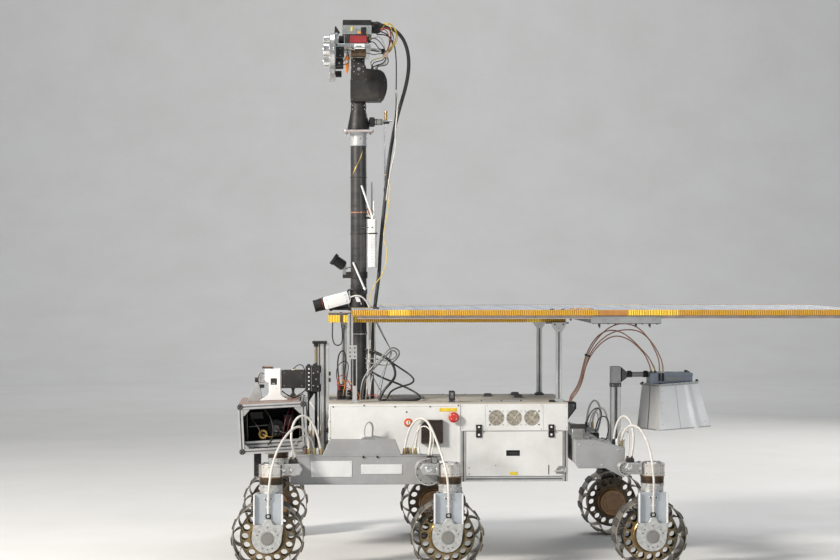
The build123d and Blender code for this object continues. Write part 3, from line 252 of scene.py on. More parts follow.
SPLICE = finish("brown_orange_splice", (0.48, 0.22, 0.05), (0.36, 0.16, 0.04), scale=20, rough=(0.3, 0.45), grain=0.05, coat=0.2)
PINK_RAIL = finish("pinkish_grey_rail", (0.47, 0.42, 0.40), (0.38, 0.34, 0.325), scale=24, rough=(0.4, 0.55), metallic=0.3, grain=0.04, dust=0.15)
BOARD = finish("pale_blue_grey_board", (0.46, 0.51, 0.57), (0.40, 0.445, 0.50), scale=5, rough=(0.46, 0.62), grain=0.02, bump=0.05, dust=0.3, dust_colour=(0.56, 0.53, 0.47))
CELL = finish("pale_panel_cell", (0.23, 0.272, 0.335), (0.19, 0.225, 0.28), scale=7, rough=(0.44, 0.6), grain=0.02, bump=0.03, dust=0.28, dust_colour=(0.40, 0.385, 0.35), specular=0.2)
STRAP = finish("dark_brown_strap", (0.06, 0.042, 0.03), (0.09, 0.065, 0.048), scale=50, rough=(0.5, 0.7), grain=0.1)
BEIGE_GRILLE = finish("beige_guard", (0.60, 0.55, 0.46), (0.50, 0.46, 0.385), scale=30, rough=(0.4, 0.55), metallic=0.2, grain=0.04)
DARK_GREY = finish("dark_grey_box", (0.10, 0.10, 0.105), (0.075, 0.075, 0.08), scale=24, rough=(0.4, 0.56), grain=0.06, dust=0.15)
GREY_GREEN = finish("grey_green_case", (0.30, 0.32, 0.31), (0.24, 0.26, 0.25), scale=20, rough=(0.36, 0.5), metallic=0.4, grain=0.05)
RED_LABEL = finish("blank_red_plate", (0.30, 0.03, 0.035), (0.235, 0.024, 0.028), scale=30, rough=(0.34, 0.46), grain=0.04)
GLASS_DARK = finish("lens_glass", (0.012, 0.014, 0.02), (0.02, 0.022, 0.03), scale=12, rough=(0.05, 0.1), grain=0.02, bump=0.0, coat=0.8)
PLATE_PALE = finish("blank_pale_plate", (0.62, 0.625, 0.62), (0.56, 0.565, 0.56), scale=18, rough=(0.36, 0.48), grain=0.02)
PINKISH = finish("pinkish_flange", (0.60, 0.54, 0.51), (0.50, 0.45, 0.43), scale=30, rough=(0.36, 0.5), metallic=0.4, grain=0.04)
COLLAR_GREY = finish("light_grey_collar", (0.52, 0.52, 0.52), (0.43, 0.43, 0.43), scale=20, rough=(0.36, 0.5), metallic=0.4, grain=0.04)
PEACH = finish("peach_tie", (0.78, 0.52, 0.36), (0.70, 0.46, 0.32), scale=60, rough=(0.45, 0.6), grain=0.04)
MARBLED = finish("silver_gusset", (0.48, 0.48, 0.475), (0.38, 0.38, 0.375), scale=26, rough=(0.36, 0.5), metallic=0.6, grain=0.06, dust=0.2)
SOFT_GREY_LEAD = finish("soft_grey_lead", (0.56, 0.56, 0.55), (0.47, 0.47, 0.46), scale=20, rough=(0.4, 0.55), grain=0.04, dust=0.08)
# darkened copies of red wire, gold wire and a green bar for the inside of the drill box: painted shade
RED_DIM = finish("red_wire_painted_shade", (0.14, 0.014, 0.012), (0.10, 0.01, 0.01), scale=30, rough=(0.4, 0.55), grain=0.05)
GOLD_DIM = finish("gold_wire_painted_shade", (0.34, 0.22, 0.05), (0.24, 0.15, 0.035), scale=30, rough=(0.35, 0.5), metallic=0.5, grain=0.05)
GREEN_DIM = finish("green_bar_painted_shade", (0.14, 0.17, 0.155), (0.11, 0.135, 0.12), scale=30, rough=(0.4, 0.55), metallic=0.3, grain=0.05)
# dark grey for the boxes laid in the profile grooves: painted shade
SLOT_SHADE = finish("groove_painted_shade", (0.27, 0.27, 0.28), (0.21, 0.21, 0.215), scale=30, rough=(0.5, 0.7), grain=0.06, metallic=0.2)
BOOM_CAP = finish("boom_cap_grey", (0.45, 0.44, 0.44), (0.37, 0.365, 0.365), scale=18, rough=(0.36, 0.5), metallic=0.5, grain=0.04, scratches=0.2)
BLUE_HEAD = finish("blue_grey_case", (0.25, 0.285, 0.335), (0.205, 0.235, 0.28), scale=16, rough=(0.36, 0.52), metallic=0.3, grain=0.03, scratches=0.15, dust=0.12)
HEM = finish("grey_hem", (0.42, 0.42, 0.41), (0.34, 0.34, 0.33), scale=20, rough=(0.34, 0.5), metallic=0.7, grain=0.04)
BROWN_SHEET = finish("reddish_brown_sheet", (0.33, 0.23, 0.19), (0.26, 0.18, 0.15), scale=18, rough=(0.45, 0.6), grain=0.05, dust=0.2)
TRAY = finish("mid_grey_tray", (0.34, 0.35, 0.355), (0.28, 0.288, 0.295), scale=16, rough=(0.36, 0.52), metallic=0.4, grain=0.04, dust=0.15)
FLOOR = finish("pale_floor", (0.74, 0.73, 0.71), (0.70, 0.69, 0.665), scale=1.4, rough=(0.6, 0.75), grain=0.015, grain_scale=90, bump=0.05, bump_scale=30)


def paint_fold_shading(m, dark, light, period=0.0085, sharp=(0.25, 0.75)):
    """Dark and bright bands across X over a finish: painted shade and painted highlight of the tape's folds."""
    tree = m.node_tree
    shader = tree.nodes["Principled BSDF"]
    link = shader.inputs["Base Color"].links[0]
    source, old = link.from_node, link.from_socket
    where = tree.nodes.new("ShaderNodeTexCoord")
    wave = tree.nodes.new("ShaderNodeTexWave")
    wave.inputs["Scale"].default_value = 2 * math.pi / (20 * period)
    wave.inputs["Distortion"].default_value = 1.1
    wave.inputs["Detail"].default_value = 2.0
    wave.inputs["Detail Scale"].default_value = 0.6
    tree.links.new(where.outputs["Object"], wave.inputs["Vector"])
    ramp = tree.nodes.new("ShaderNodeMapRange")
    ramp.inputs["From Min"].default_value, ramp.inputs["From Max"].default_value = sharp
    tree.links.new(wave.outputs["Fac"], ramp.inputs["Value"])
    band = tree.nodes.new("ShaderNodeMix")
    band.data_type = "RGBA"
    band.inputs[6].default_value, band.inputs[7].default_value = colour4(dark), colour4(light)
    tree.links.new(ramp.outputs["Result"], band.inputs[0])
    blend = tree.nodes.new("ShaderNodeMix")
    blend.data_type = "RGBA"
    blend.inputs[0].default_value = 0.62
    tree.links.new(old, blend.inputs[6])
    tree.links.new(band.outputs[2], blend.inputs[7])
    tree.links.new(blend.outputs[2], shader.inputs["Base Color"])


# painted shade and painted highlight bands on the folds of both amber tapes
paint_fold_shading(AMBER, (0.36, 0.15, 0.015), (0.92, 0.60, 0.06))
paint_fold_shading(AMBER_BRIGHT, (0.62, 0.34, 0.02), (0.98, 0.78, 0.12), 0.011)


# ---------------------------------------------------------------- mesh helpers
def signed_volume(verts, faces):
    total = 0.0
    for f in faces:
        a = verts[f[0]]
        for i in range(1, len(f) - 1):
            b, c = verts[f[i]], verts[f[i + 1]]
            total += (a[0] * (b[1] * c[2] - b[2] * c[1]) - a[1] * (b[0] * c[2] - b[2] * c[0]) + a[2] * (b[0] * c[1] - b[1] * c[0]))
    return total


def inset(points, c):
    """The polygon's corners moved inwards by c along their mitres."""
    n, out = len(points), []
    area = sum(points[i][0] * points[(i + 1) % n][1] - points[(i + 1) % n][0] * points[i][1] for i in range(n))
    k = 1 if area > 0 else -1
    for i in range(n):
        p, q, r = Vector(points[i - 1]), Vector(points[i]), Vector(points[(i + 1) % n])
        a, b = (q - p).normalized(), (r - q).normalized()
        na, nb = Vector((-a.y, a.x)) * k, Vector((-b.y, b.x)) * k
        d = na + nb
        d = d / max(0.35, d.length_squared / 2)
        out.append((q.x + d.x * c, q.y + d.y * c))
    return out


def arc(cx, cy, r, a0, a1, n):
    """Points on a circle from angle a0 to a1 in degrees."""
    return [(cx + r * math.cos(math.radians(a0 + (a1 - a0) * i / n)), cy + r * math.sin(math.radians(a0 + (a1 - a0) * i / n))) for i in range(n + 1)]


def ring(cx, cy, r, n=24, turn=0.0):
    return arc(cx, cy, r, turn, turn + 360 * (n - 1) / n, n - 1)


def basis(axis, up=None):
    """Two directions across an axis."""
    w = Vector(axis).normalized()
    if up is None:
        up = (0, 0, 1) if abs(w.z) < 0.9 else (1, 0, 0)
    u = Vector(up).cross(w).normalized()
    return u, w.cross(u), w


class Kit:
    """Many small closed shapes gathered into one mesh, each with its own material."""

    def __init__(self, name):
        self.name, self.verts, self.faces, self.marks, self.mats = name, [], [], [], []

    def add(self, verts, faces, m):
        if signed_volume(verts, faces) < 0:
            faces = [tuple(reversed(f)) for f in faces]
        base = len(self.verts)
        self.verts.extend(tuple(v) for v in verts)
        self.faces.extend(tuple(base + i for i in f) for f in faces)
        if m not in self.mats:
            self.mats.append(m)
        self.marks.extend([self.mats.index(m)] * len(faces))

    def box(self, centre, size, m, r=1.2, u=None, v=None):
        """A block with chamfered edges; u and v turn it."""
        half = [s / 2 for s in size]
        r = min([r] + [0.9 * h for h in half])
        verts, at = [], {}
        for sx in (-1, 1):
            for sy in (-1, 1):
                for sz in (-1, 1):
                    for a in range(3):
                        p = [sx * (half[0] - r), sy * (half[1] - r), sz * (half[2] - r)]
                        p[a] = (sx, sy, sz)[a] * half[a]
                        at[sx, sy, sz, a] = len(verts)
                        verts.append(p)
        faces = []
        for a in range(3):
            b, c = (a + 1) % 3, (a + 2) % 3

            def key(sa, sb, sc, which):
                s = [0, 0, 0]
                s[a], s[b], s[c] = sa, sb, sc
                return at[s[0], s[1], s[2], which]

            for sa in (-1, 1):
                f = [key(sa, -1, -1, a), key(sa, 1, -1, a), key(sa, 1, 1, a), key(sa, -1, 1, a)]
                faces.append(f if sa > 0 else f[::-1])
                for sb in (-1, 1):
                    f = [key(sa, sb, -1, a), key(sa, sb, -1, b), key(sa, sb, 1, b), key(sa, sb, 1, a)]
                    faces.append(f if sa * sb > 0 else f[::-1])
        for sx in (-1, 1):
            for sy in (-1, 1):
                for sz in (-1, 1):
                    f = [at[sx, sy, sz, 0], at[sx, sy, sz, 1], at[sx, sy, sz, 2]]
                    faces.append(f if sx * sy * sz > 0 else f[::-1])
        if u is not None:
            du = Vector(u).normalized()
            dv = Vector(v if v is not None else (0, 1, 0))
            dv = (dv - du * dv.dot(du)).normalized()
            dw = du.cross(dv)
            verts = [Vector(centre) + du * p[0] + dv * p[1] + dw * p[2] for p in verts]
        else:
            verts = [(centre[0] + p[0], centre[1] + p[1], centre[2] + p[2]) for p in verts]
        self.add(verts, faces, m)

    def lathe(self, profile, origin, axis, m, seg=32, closed=False, turn=0.0):
        """Turns (radius, height) pairs round an axis."""
        u, v, w = basis(axis)
        o = Vector(origin)
        verts, rings, faces = [], [], []
        for r, h in profile:
            if r < 1e-6:
                rings.append([len(verts)])
                verts.append(o + w * h)
                continue
            rings.append(list(range(len(verts), len(verts) + seg)))
            for i in range(seg):
                a = 2 * math.pi * i / seg + turn
                verts.append(o + w * h + (u * math.cos(a) + v * math.sin(a)) * r)
        pairs = list(zip(rings, rings[1:])) + ([(rings[-1], rings[0])] if closed else [])
        for a, b in pairs:
            for i in range(seg):
                j = (i + 1) % seg
                if len(a) == 1 and len(b) == 1:
                    continue
                if len(a) == 1:
                    faces.append((a[0], b[j], b[i]))
                elif len(b) == 1:
                    faces.append((a[i], a[j], b[0]))
                else:
                    faces.append((a[i], a[j], b[j], b[i]))
        self.add(verts, faces, m)

    def rod(self, p, q, r, m, seg=20, c=0.8, turn=0.0):
        """A cylinder with chamfered ends."""
        p, q = Vector(p), Vector(q)
        h = (q - p).length
        c = min(c, 0.3 * r, 0.3 * h)
        self.lathe([(0, 0), (r - c, 0), (r, c), (r, h - c), (r - c, h), (0, h)], p, q - p, m, seg, turn=turn)

    def tube(self, p, q, r_in, r_out, m, seg=32, c=0.6):
        p, q = Vector(p), Vector(q)
        h = (q - p).length
        c = min(c, 0.3 * (r_out - r_in), 0.3 * h)
        self.lathe([(r_in + c, 0), (r_out - c, 0), (r_out, c), (r_out, h - c), (r_out - c, h), (r_in + c, h), (r_in, h - c), (r_in, c)], p, q - p, m, seg, closed=True)

    def prism(self, points, origin, u, v, depth, m, c=1.0):
        """A polygon in the plane of u and v, pushed along their cross product, with chamfered rims."""
        o, u, v = Vector(origin), Vector(u).normalized(), Vector(v).normalized()
        w = u.cross(v)
        n = len(points)
        c = min(c, depth * 0.3)
        small = inset(points, c)
        verts = []
        for pts, h in ((small, 0), (points, c), (points, depth - c), (small, depth)):
            verts += [o + u * p[0] + v * p[1] + w * h for p in pts]
        faces = [tuple(range(n)), tuple(range(3 * n, 4 * n))[::-1]]
        for k in range(3):
            for i in range(n):
                j = (i + 1) % n
                faces.append((k * n + i, (k + 1) * n + i, (k + 1) * n + j, k * n + j))
        self.add(verts, faces, m)

    def plate(self, outline, holes, origin, u, v, depth, m, c=0.6):
        """A flat plate with holes, from a filled curve, its rims chamfered."""
        c = min(c, depth * 0.3)
        data = bpy.data.curves.new("plate_outline", "CURVE")
        data.dimensions, data.fill_mode = "2D", "BOTH"
        data.extrude, data.bevel_depth, data.bevel_resolution = depth / 2 - c, c, 0
        loops = [inset(outline, c)]
        for h in holes:
            loops.append(inset(h, -c))
        for loop in loops:
            s = data.splines.new("POLY")
            s.points.add(len(loop) - 1)
            for pt, q in zip(s.points, loop):
                pt.co = (q[0], q[1], 0, 1)
            s.use_cyclic_u = True
        holder = bpy.data.objects.new("plate_outline", data)
        mesh = bpy.data.meshes.new_from_object(holder)
        bm = bmesh.new()
        bm.from_mesh(mesh)
        bmesh.ops.remove_doubles(bm, verts=bm.verts, dist=1e-3)
        bm.verts.index_update()
        o, u, v = Vector(origin), Vector(u).normalized(), Vector(v).normalized()
        w = u.cross(v)
        verts = [o + u * p.co.x + v * p.co.y + w * (p.co.z + depth / 2) for p in bm.verts]
        faces = [tuple(p.index for p in f.verts) for f in bm.faces]
        bm.free()
        bpy.data.objects.remove(holder)
        bpy.data.curves.remove(data)
        bpy.data.meshes.remove(mesh)
        self.add(verts, faces, m)

    def screw(self, at, axis, r, m, h=None, inner=None):
        """A cap screw's head with its socket."""
        h = h or r * 0.9
        self.lathe([(0, 0), (r * 0.92, 0), (r, h * 0.15), (r, h * 0.8), (r * 0.8, h), (r * 0.5, h), (r * 0.45, h * 0.45), (0, h * 0.45)], at, axis, m, 12)

    def mirrored(self, name):
        """The same shapes on the other side of the rover."""
        k = Kit(name)
        k.verts = [(v[0], -v[1], v[2]) for v in self.verts]
        k.faces = [tuple(reversed(f)) for f in self.faces]
        k.marks, k.mats = list(self.marks), list(self.mats)
        return k

    def make(self, body, slot, *stands_for, origin=None, sharp=38.0):
        mesh = bpy.data.meshes.new(self.name)
        ox, oy, oz = origin or (0.0, 0.0, 0.0)
        base = place(ox, oy, oz) if origin else Vector((0, 0, 0))
        if origin:
            verts = [(v[0] / 1000, v[1] / 1000, v[2] / 1000) for v in self.verts]
        else:
            verts = [tuple(place(*v)) for v in self.verts]
        mesh.from_pydata(verts, [], self.faces)
        for m in self.mats:
            mesh.materials.append(m)
        mesh.polygons.foreach_set("material_index", self.marks)
        mesh.polygons.foreach_set("use_smooth", [True] * len(self.faces))
        mesh.set_sharp_from_angle(angle=math.radians(sharp))
        obj = bpy.data.objects.new(self.name, mesh)
        bpy.context.scene.collection.objects.link(obj)
        obj.location = base
        even = obj.modifiers.new("even_normals", "WEIGHTED_NORMAL")
        even.keep_sharp = True
        even.weight = 80
        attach(obj, body)
        if stands_for:
            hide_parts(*stands_for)
        return obj


class Leads:
    """Cables as NURBS splines in one curve object, each with its own diameter and material."""

    def __init__(self, name, round_steps=2, smooth=8):
        self.data = bpy.data.curves.new(name, "CURVE")
        self.data.dimensions = "3D"
        self.data.bevel_depth, self.data.bevel_resolution = 0.001, round_steps
        self.data.use_fill_caps = True
        self.data.resolution_u = smooth
        self.name, self.mats = name, []

    def add(self, dia, points, m):
        s = self.data.splines.new("NURBS")
        s.points.add(len(points) - 1)
        for pt, q in zip(s.points, points):
            p = place(*q)
            pt.co = (p.x, p.y, p.z, 1)
            pt.radius = dia / 2
        s.order_u = 3
        s.use_endpoint_u = True
        s.use_smooth = True
        if m not in self.mats:
            self.mats.append(m)
            self.data.materials.append(m)
        s.material_index = self.mats.index(m)
        return s

    def make(self, body, slot, *stands_for):
        obj = bpy.data.objects.new(self.name, self.data)
        bpy.context.scene.collection.objects.link(obj)
        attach(obj, body)
        if stands_for:
            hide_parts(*stands_for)
        return obj

    def make_mesh(self, slot, *stands_for):
        holder = bpy.data.objects.new(self.name + "_curve", self.data)
        mesh = bpy.data.meshes.new_from_object(holder)
        bpy.data.objects.remove(holder)
        for p in mesh.polygons:
            p.use_smooth = True
        obj = bpy.data.objects.new(self.name, mesh)
        bpy.context.scene.collection.objects.link(obj)
        if stands_for:
            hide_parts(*stands_for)
        return obj


# floor with a sweep up into a plain backdrop
strip = [(-24.0, 0.0), (12.5, 0.0)] + [(12.5 + 7.0 * math.sin(a), 7.0 - 7.0 * math.cos(a)) for a in (math.pi / 2 * i / 24 for i in range(1, 25))] + [(19.5, 22.0)]
floor_mesh = bpy.data.meshes.new("floor")
floor_mesh.from_pydata([(x, y, z) for y, z in strip for x in (-45.0, 45.0)], [], [(2 * i, 2 * i + 1, 2 * i + 3, 2 * i + 2) for i in range(len(strip) - 1)])
for face in floor_mesh.polygons:
    face.use_smooth = True
floor_mesh.materials.append(FLOOR)
floor = bpy.data.objects.new("floor", floor_mesh)
bpy.context.scene.collection.objects.link(floor)


def take(k, other):
    base = len(k.verts)
    k.verts.extend(other.verts)
    k.faces.extend(tuple(base + i for i in f) for f in other.faces)
    for mark in other.marks:
        m = other.mats[mark]
        if m not in k.mats:
            k.mats.append(m)
        k.marks.append(k.mats.index(m))


def both(k):
    """Adds the mirror image on the other side of the rover to the same kit."""
    take(k, k.mirrored(k.name + "_m"))


def extrusion(k, p, q, size, m, across=(0, 1, 0), slot=None):
    """A slotted aluminium bar from p to q, with a lipped groove along each side."""
    p, q = Vector(p), Vector(q)
    w = (q - p).normalized()
    u = Vector(across)
    u = (u - w * u.dot(w)).normalized()
    v = w.cross(u)
    h = size / 2
    a, b, f = (slot or size * 0.28) / 2, size * 0.26, size / 20.0
    side = [(h, -h + 0.8 * f), (h, -a - 0.4 * f), (h - 0.4 * f, -a), (h - 1.6 * f, -a), (h - 1.6 * f, -b), (h - 3.4 * f, -b), (h * 0.42, -h * 0.2),
            (h * 0.42, h * 0.2), (h - 3.4 * f, b), (h - 1.6 * f, b), (h - 1.6 * f, a), (h - 0.4 * f, a), (h, a + 0.4 * f), (h, h - 0.8 * f)]
    pts = []
    for i in range(4):
        c, s = ((1, 0), (0, 1), (-1, 0), (0, -1))[i]
        pts += [(x * c - y * s, x * s + y * c) for x, y in side]
    n = len(pts)
    verts = [p + u * x + v * y for x, y in pts] + [q + u * x + v * y for x, y in pts]
    faces = [tuple(range(n))[::-1], tuple(range(n, 2 * n))] + [(i, (i + 1) % n, n + (i + 1) % n, n + i) for i in range(n)]
    k.add(verts, faces, m)
    # dark boxes in the grooves stand for the shade in them: painted shade
    mid, length = (p + q) / 2, (q - p).length
    for n1, t1 in ((u, v), (v, u), (-u, v), (-v, u)):
        k.box(mid + n1 * (h * 0.52), (length - 1.0, 2 * b * 0.9, h * 0.16), SLOT_SHADE, 0.2, w, t1)


def button(k, at, axis, r, m, h=None):
    """A low domed screw head with a hexagonal socket."""
    h = h or r * 0.5
    k.lathe([(0, 0), (r, 0), (r, h * 0.3), (r * 0.86, h * 0.75), (r * 0.5, h), (r * 0.42, h), (r * 0.42, h * 0.35), (0, h * 0.35)], at, axis, m, 12)


def rect(x0, z0, x1, z1, r=0.0, n=3):
    """A rectangle's corners, rounded by r."""
    if r <= 0:
        return [(x0, z0), (x1, z0), (x1, z1), (x0, z1)]
    pts = []
    for cx, cz, a in ((x1 - r, z0 + r, -90), (x1 - r, z1 - r, 0), (x0 + r, z1 - r, 90), (x0 + r, z0 + r, 180)):
        pts += arc(cx, cz, r, a, a + 90, n)
    return pts


def connector(k, at, axis, r, h, ring_m, cap_m):
    """A round panel connector with a knurled ring and a cap."""
    k.lathe([(0, 0), (r * 1.25, 0), (r * 1.25, h * 0.16), (r * 0.92, h * 0.18), (r * 0.92, h * 0.3), (r, h * 0.32), (r, h * 0.68), (r * 0.86, h * 0.72), (r * 0.86, h * 0.94), (r * 0.72, h), (0, h)], at, axis, ring_m, 18)
    o, w = Vector(at), Vector(axis).normalized()
    k.lathe([(0, h * 0.9), (r * 0.55, h * 0.9), (r * 0.55, h * 1.16), (r * 0.4, h * 1.22), (0, h * 1.22)], o, w, cap_m, 14)


# ---------------------------------------------------------------- cables, with the points of the CAD routes
DRIVE = {
    "front": [(-534, 452, 462), (-535, 454, 505), (-548, 470, 545), (-578, 500, 561), (-616, 545, 534), (-649, 600, 486), (-672, 645, 423), (-683, 673, 351), (-687, 668, 290), (-687, 668, 236)],
    "middle": [(-159, 452, 462), (-153, 454, 500), (-136, 470, 556), (-108, 486, 588), (-78, 510, 586), (-54, 548, 546), (-37, 590, 499), (-19, 630, 448), (-6, 658, 397), (1, 673, 340), (3, 668, 286), (3, 668, 236)],
    "rear": [(692, 470, 492), (698, 485, 531), (722, 510, 562), (754, 556, 554), (775, 605, 509), (786, 642, 454), (790, 664, 402), (793, 673, 340), (791, 668, 286), (791, 668, 236)],
}
LEG = [
    (8.5, [(-487, 452, 456), (-494, 453, 501), (-512, 461, 556), (-538, 472, 594), (-570, 486, 600), (-595, 503, 570), (-604, 522, 522), (-595, 540, 477), (-585, 556, 438)]),
    (4.5, [(-513, 452, 456), (-519, 456, 500), (-541, 474, 524), (-575, 504, 512), (-597, 534, 477), (-603, 556, 438)]),
    (8.5, [(-117, 452, 456), (-113, 456, 508), (-102, 464, 556), (-82, 478, 584), (-62, 496, 566), (-57, 512, 528), (-61, 527, 486), (-68, 536, 446)]),
    (4.5, [(-136, 452, 456), (-122, 458, 512), (-101, 466, 550), (-77, 482, 558), (-54, 504, 536), (-48, 520, 506), (-51, 530, 474), (-57, 533, 446)]),
    (8.5, [(664, 455, 492), (669, 458, 537), (682, 466, 578), (702, 480, 598), (724, 498, 580), (734, 514, 540), (734, 532, 490), (721, 556, 438)]),
    (4.5, [(678, 456, 492), (686, 460, 525), (700, 466, 548), (716, 476, 540), (722, 492, 510), (718, 518, 476), (707, 554, 438)]),
]
RADAR = [
    (5, [(515, -98, 608), (533, -98, 621), (537, -98, 645), (558, -98, 671), (577, -98, 710), (589, -98, 767), (606, -93, 823), (643, -92, 884), (695, -88, 933), (756, -82, 949), (815, -76, 931), (861, -70, 883), (893, -64, 823), (907, -60, 780), (907, -59.5, 744)]),
    (5, [(515, -86, 608), (533, -86, 621), (543, -86, 639), (564, -86, 665), (583, -86, 704), (595, -86, 761), (612, -85, 817), (651, -82, 871), (703, -78, 908), (765, -74, 922), (826, -70, 914), (874, -66, 869), (906, -62, 815), (920, -60, 777), (921, -59.5, 744)]),
    (5, [(515, -74, 608), (533, -74, 621), (535, -74, 647), (556, -74, 673), (575, -74, 712), (587, -74, 769), (603, -84, 829), (639, -76, 888), (690, -68, 920), (747, -60, 912), (797, -52, 876), (838, -44, 833), (874, -37, 794), (892, -35, 748)]),
    (5, [(515, -62, 608), (533, -62, 621), (545, -62, 637), (566, -62, 663), (585, -62, 702), (597, -62, 759), (616, -78, 810), (658, -70, 863), (716, -60, 897), (773, -50, 885), (822, -42, 847), (860, -36, 801), (876, -35, 748)]),
]
LOOM_ROUTE = [(-284, -150, 2154), (-220, -150, 2154), (-168, -140, 2128), (-136, -120, 2072), (-127, -95, 1998), (-139, -70, 1919), (-162, -50, 1842), (-184, -35, 1761), (-199, -25, 1675), (-213, -15, 1585), (-222, -10, 1474), (-234, -3, 1363), (-244, -2, 1248), (-248, -4, 1150), (-262, -5, 1050), (-271, -5, 955), (-276, -6, 850), (-279, -8, 745), (-276, -12, 635)]
MAST_LOOPS = [
    (9, [(-307, -24, 836), (-281, -45, 835), (-250, -60, 822), (-214, -78, 803), (-188, -90, 770), (-183, -102, 730), (-208, -112, 700), (-236, -112, 672), (-250, -110, 635)]),
    (6, [(-304, -17, 824), (-262, -30, 824), (-222, -55, 802), (-189, -72, 780), (-155, -82, 758), (-122, -96, 736), (-106, -118, 716), (-122, -138, 702), (-154, -144, 694), (-190, -142, 682), (-213, -138, 663), (-220, -136, 635)]),
    (7, [(-309, -26, 757), (-281, -54, 748), (-251, -70, 731), (-218, -78, 716), (-182, -84, 704), (-150, -99, 690), (-112, -120, 672), (-84, -144, 654), (-86, -172, 641), (-112, -188, 639), (-150, -188, 639.5), (-190, -178, 639), (-226, -164, 641), (-254, -154, 635)]),
    (5, [(-414, -100, 701), (-418, -104, 742), (-421, -106, 786), (-414, -109, 828), (-396, -109, 840), (-386, -108, 812), (-387, -104, 776), (-394, -102, 738), (-392, -100, 701)]),
]
DECK_LEADS = [
    (6, GREY_LEAD, [(-320, -80, 635), (-317, -84, 688), (-300, -90, 731), (-271, -92, 764), (-242, -92, 793), (-216, -92, 822), (-194, -82, 840), (-174, -60, 822), (-186, -42, 800), (-228, -36, 790), (-270, -26, 802), (-305, -22, 800)]),
    (6, GREY_LEAD, [(-328, -88, 635), (-325, -92, 694), (-307, -99, 738), (-278, -102, 771), (-249, -102, 800), (-222, -101, 832), (-194, -91, 852), (-162, -62, 832), (-176, -34, 796), (-222, -26, 768), (-268, -23, 782), (-305, -22, 781)]),
    (5, WHITE_LEAD, [(-289, -60, 956), (-290, -62, 899), (-293, -64, 837), (-294, -66, 776), (-299, -66, 706), (-304, -64, 635)]),
    (5, WHITE_LEAD, [(-269, -38, 956), (-268, -39, 898), (-266, -38, 837), (-265, -40, 788), (-275, -42, 735), (-286, -44, 690), (-288, -46, 635)]),
    (5, BLACK_LEAD, [(-440, -200, 956), (-442, -200, 918), (-441, -199, 886), (-432, -198, 862), (-408, -197, 862), (-400, -196, 886), (-401, -196, 918), (-405, -195, 956)]),
    (5, BLACK_LEAD, [(600, -60, 496), (604, -61, 538), (620, -63, 580), (648, -65, 602), (668, -67, 580), (660, -69, 540), (642, -71, 496)]),
    (5, BLACK_LEAD, [(642, -50, 496), (646, -51, 532), (662, -53, 562), (686, -55, 562), (700, -50, 532), (698, -36, 496), (690, -14, 458)]),
    (8, SOFT_GREY_LEAD, [(-312, -352, 492.6), (-318, -352, 526), (-312, -350, 554), (-294, -344, 566), (-281, -334, 548), (-282, -318, 520), (-284, -284, 502)]),
    (8, SOFT_GREY_LEAD, [(-312, 352, 492.6), (-318, 352, 526), (-312, 350, 554), (-294, 344, 566), (-281, 334, 548), (-282, 318, 520), (-284, 284, 502)]),
]

# each drive lead is its own mesh, running between the chassis and its steered leg
for axle, hub_x in AXLES:
    for side, s in SIDES:
        lead = Leads("drive_lead_" + axle + "_" + side, 3, 10)
        lead.add(9.2, [(x, s * y, z) for x, y, z in DRIVE[axle]], WHITE_LEAD)
        tube = lead.make_mesh("white_cable", "drive_leads")
        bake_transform(tube)

leg_leads = Leads("leg_lead_bundle", 2, 8)
for side, s in SIDES:
    for dia, pts in LEG:
        leg_leads.add(9.0 if dia == 8.5 else 5.2, [(x, s * y, z) for x, y, z in pts], WHITE_LEAD)
leg_leads.make("chassis", "white_cable", "leg_leads")

radar_leads = Leads("radar_lead_bundle", 2, 8)
for dia, pts in RADAR:
    radar_leads.add(dia, pts, COPPER_LEAD)
radar_leads.make("chassis", "copper_cable", "radar_cables")

loops = Leads("deck_black_loops", 2, 8)
for dia, pts in MAST_LOOPS:
    loops.add(dia * 1.22, pts, BLACK_LEAD)
loops.make("chassis", "black_cable", "mast_leads")

folds = Leads("deck_grey_white_leads", 2, 8)
for dia, m, pts in DECK_LEADS:
    folds.add(dia, pts, m)
folds.make("chassis", "black_cable", "deck_leads")

# the loom is one smooth tube, drawn with its leads as one mesh and cut at a height into an upper and a lower part
loom = Leads("mast_loom_lower", 4, 10)
loom.add(15, LOOM_ROUTE, LOOM)
loom.add(5, [(-262, -150, 2120), (-225, -140, 2124), (-192, -124, 2096), (-181, -106, 2040), (-180, -96, 1960), (-181, -85, 1895), (-180, -76, 1840), (-184, -62, 1790), (-191, -50, 1740), (-200, -38, 1690), (-206, -30, 1640)], BLACK_LEAD)
loom.add(10, [(-181, -86.6, 1902), (-181, -85.3, 1895), (-181, -84.0, 1888)], WHITE_PLASTIC)
loom.add(5.5, [(-179, -85, 1892), (-174, -80, 1862), (-176, -68, 1805), (-181, -60, 1760), (-184, -54, 1719), (-180, -44, 1662), (-196, -34, 1600), (-210, -26, 1530), (-220, -21, 1450)], WHITE_LEAD)
whole = loom.make_mesh("black_cable")
LOOM_CUT = 1.955


def part_of(source, name, keep):
    """A copy of the mesh with only the faces whose middle passes keep, its open ends capped."""
    obj = source.copy()
    obj.data = source.data.copy()
    obj.name = name
    bpy.context.scene.collection.objects.link(obj)
    bm = bmesh.new()
    bm.from_mesh(obj.data)
    bmesh.ops.delete(bm, geom=[f for f in bm.faces if not keep(f.calc_center_median())], context="FACES")
    bmesh.ops.holes_fill(bm, edges=[e for e in bm.edges if e.is_boundary], sides=0)
    bm.to_mesh(obj.data)
    bm.free()
    return obj


above = lambda c: c.z > LOOM_CUT and c.x > place(-300, 0, 0).x
upper = part_of(whole, "mast_loom_upper", above)
lower = part_of(whole, "mast_loom_below", lambda c: not above(c))
bpy.data.objects.remove(whole)
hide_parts("mast_loom")
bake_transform(lower)
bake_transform(upper)


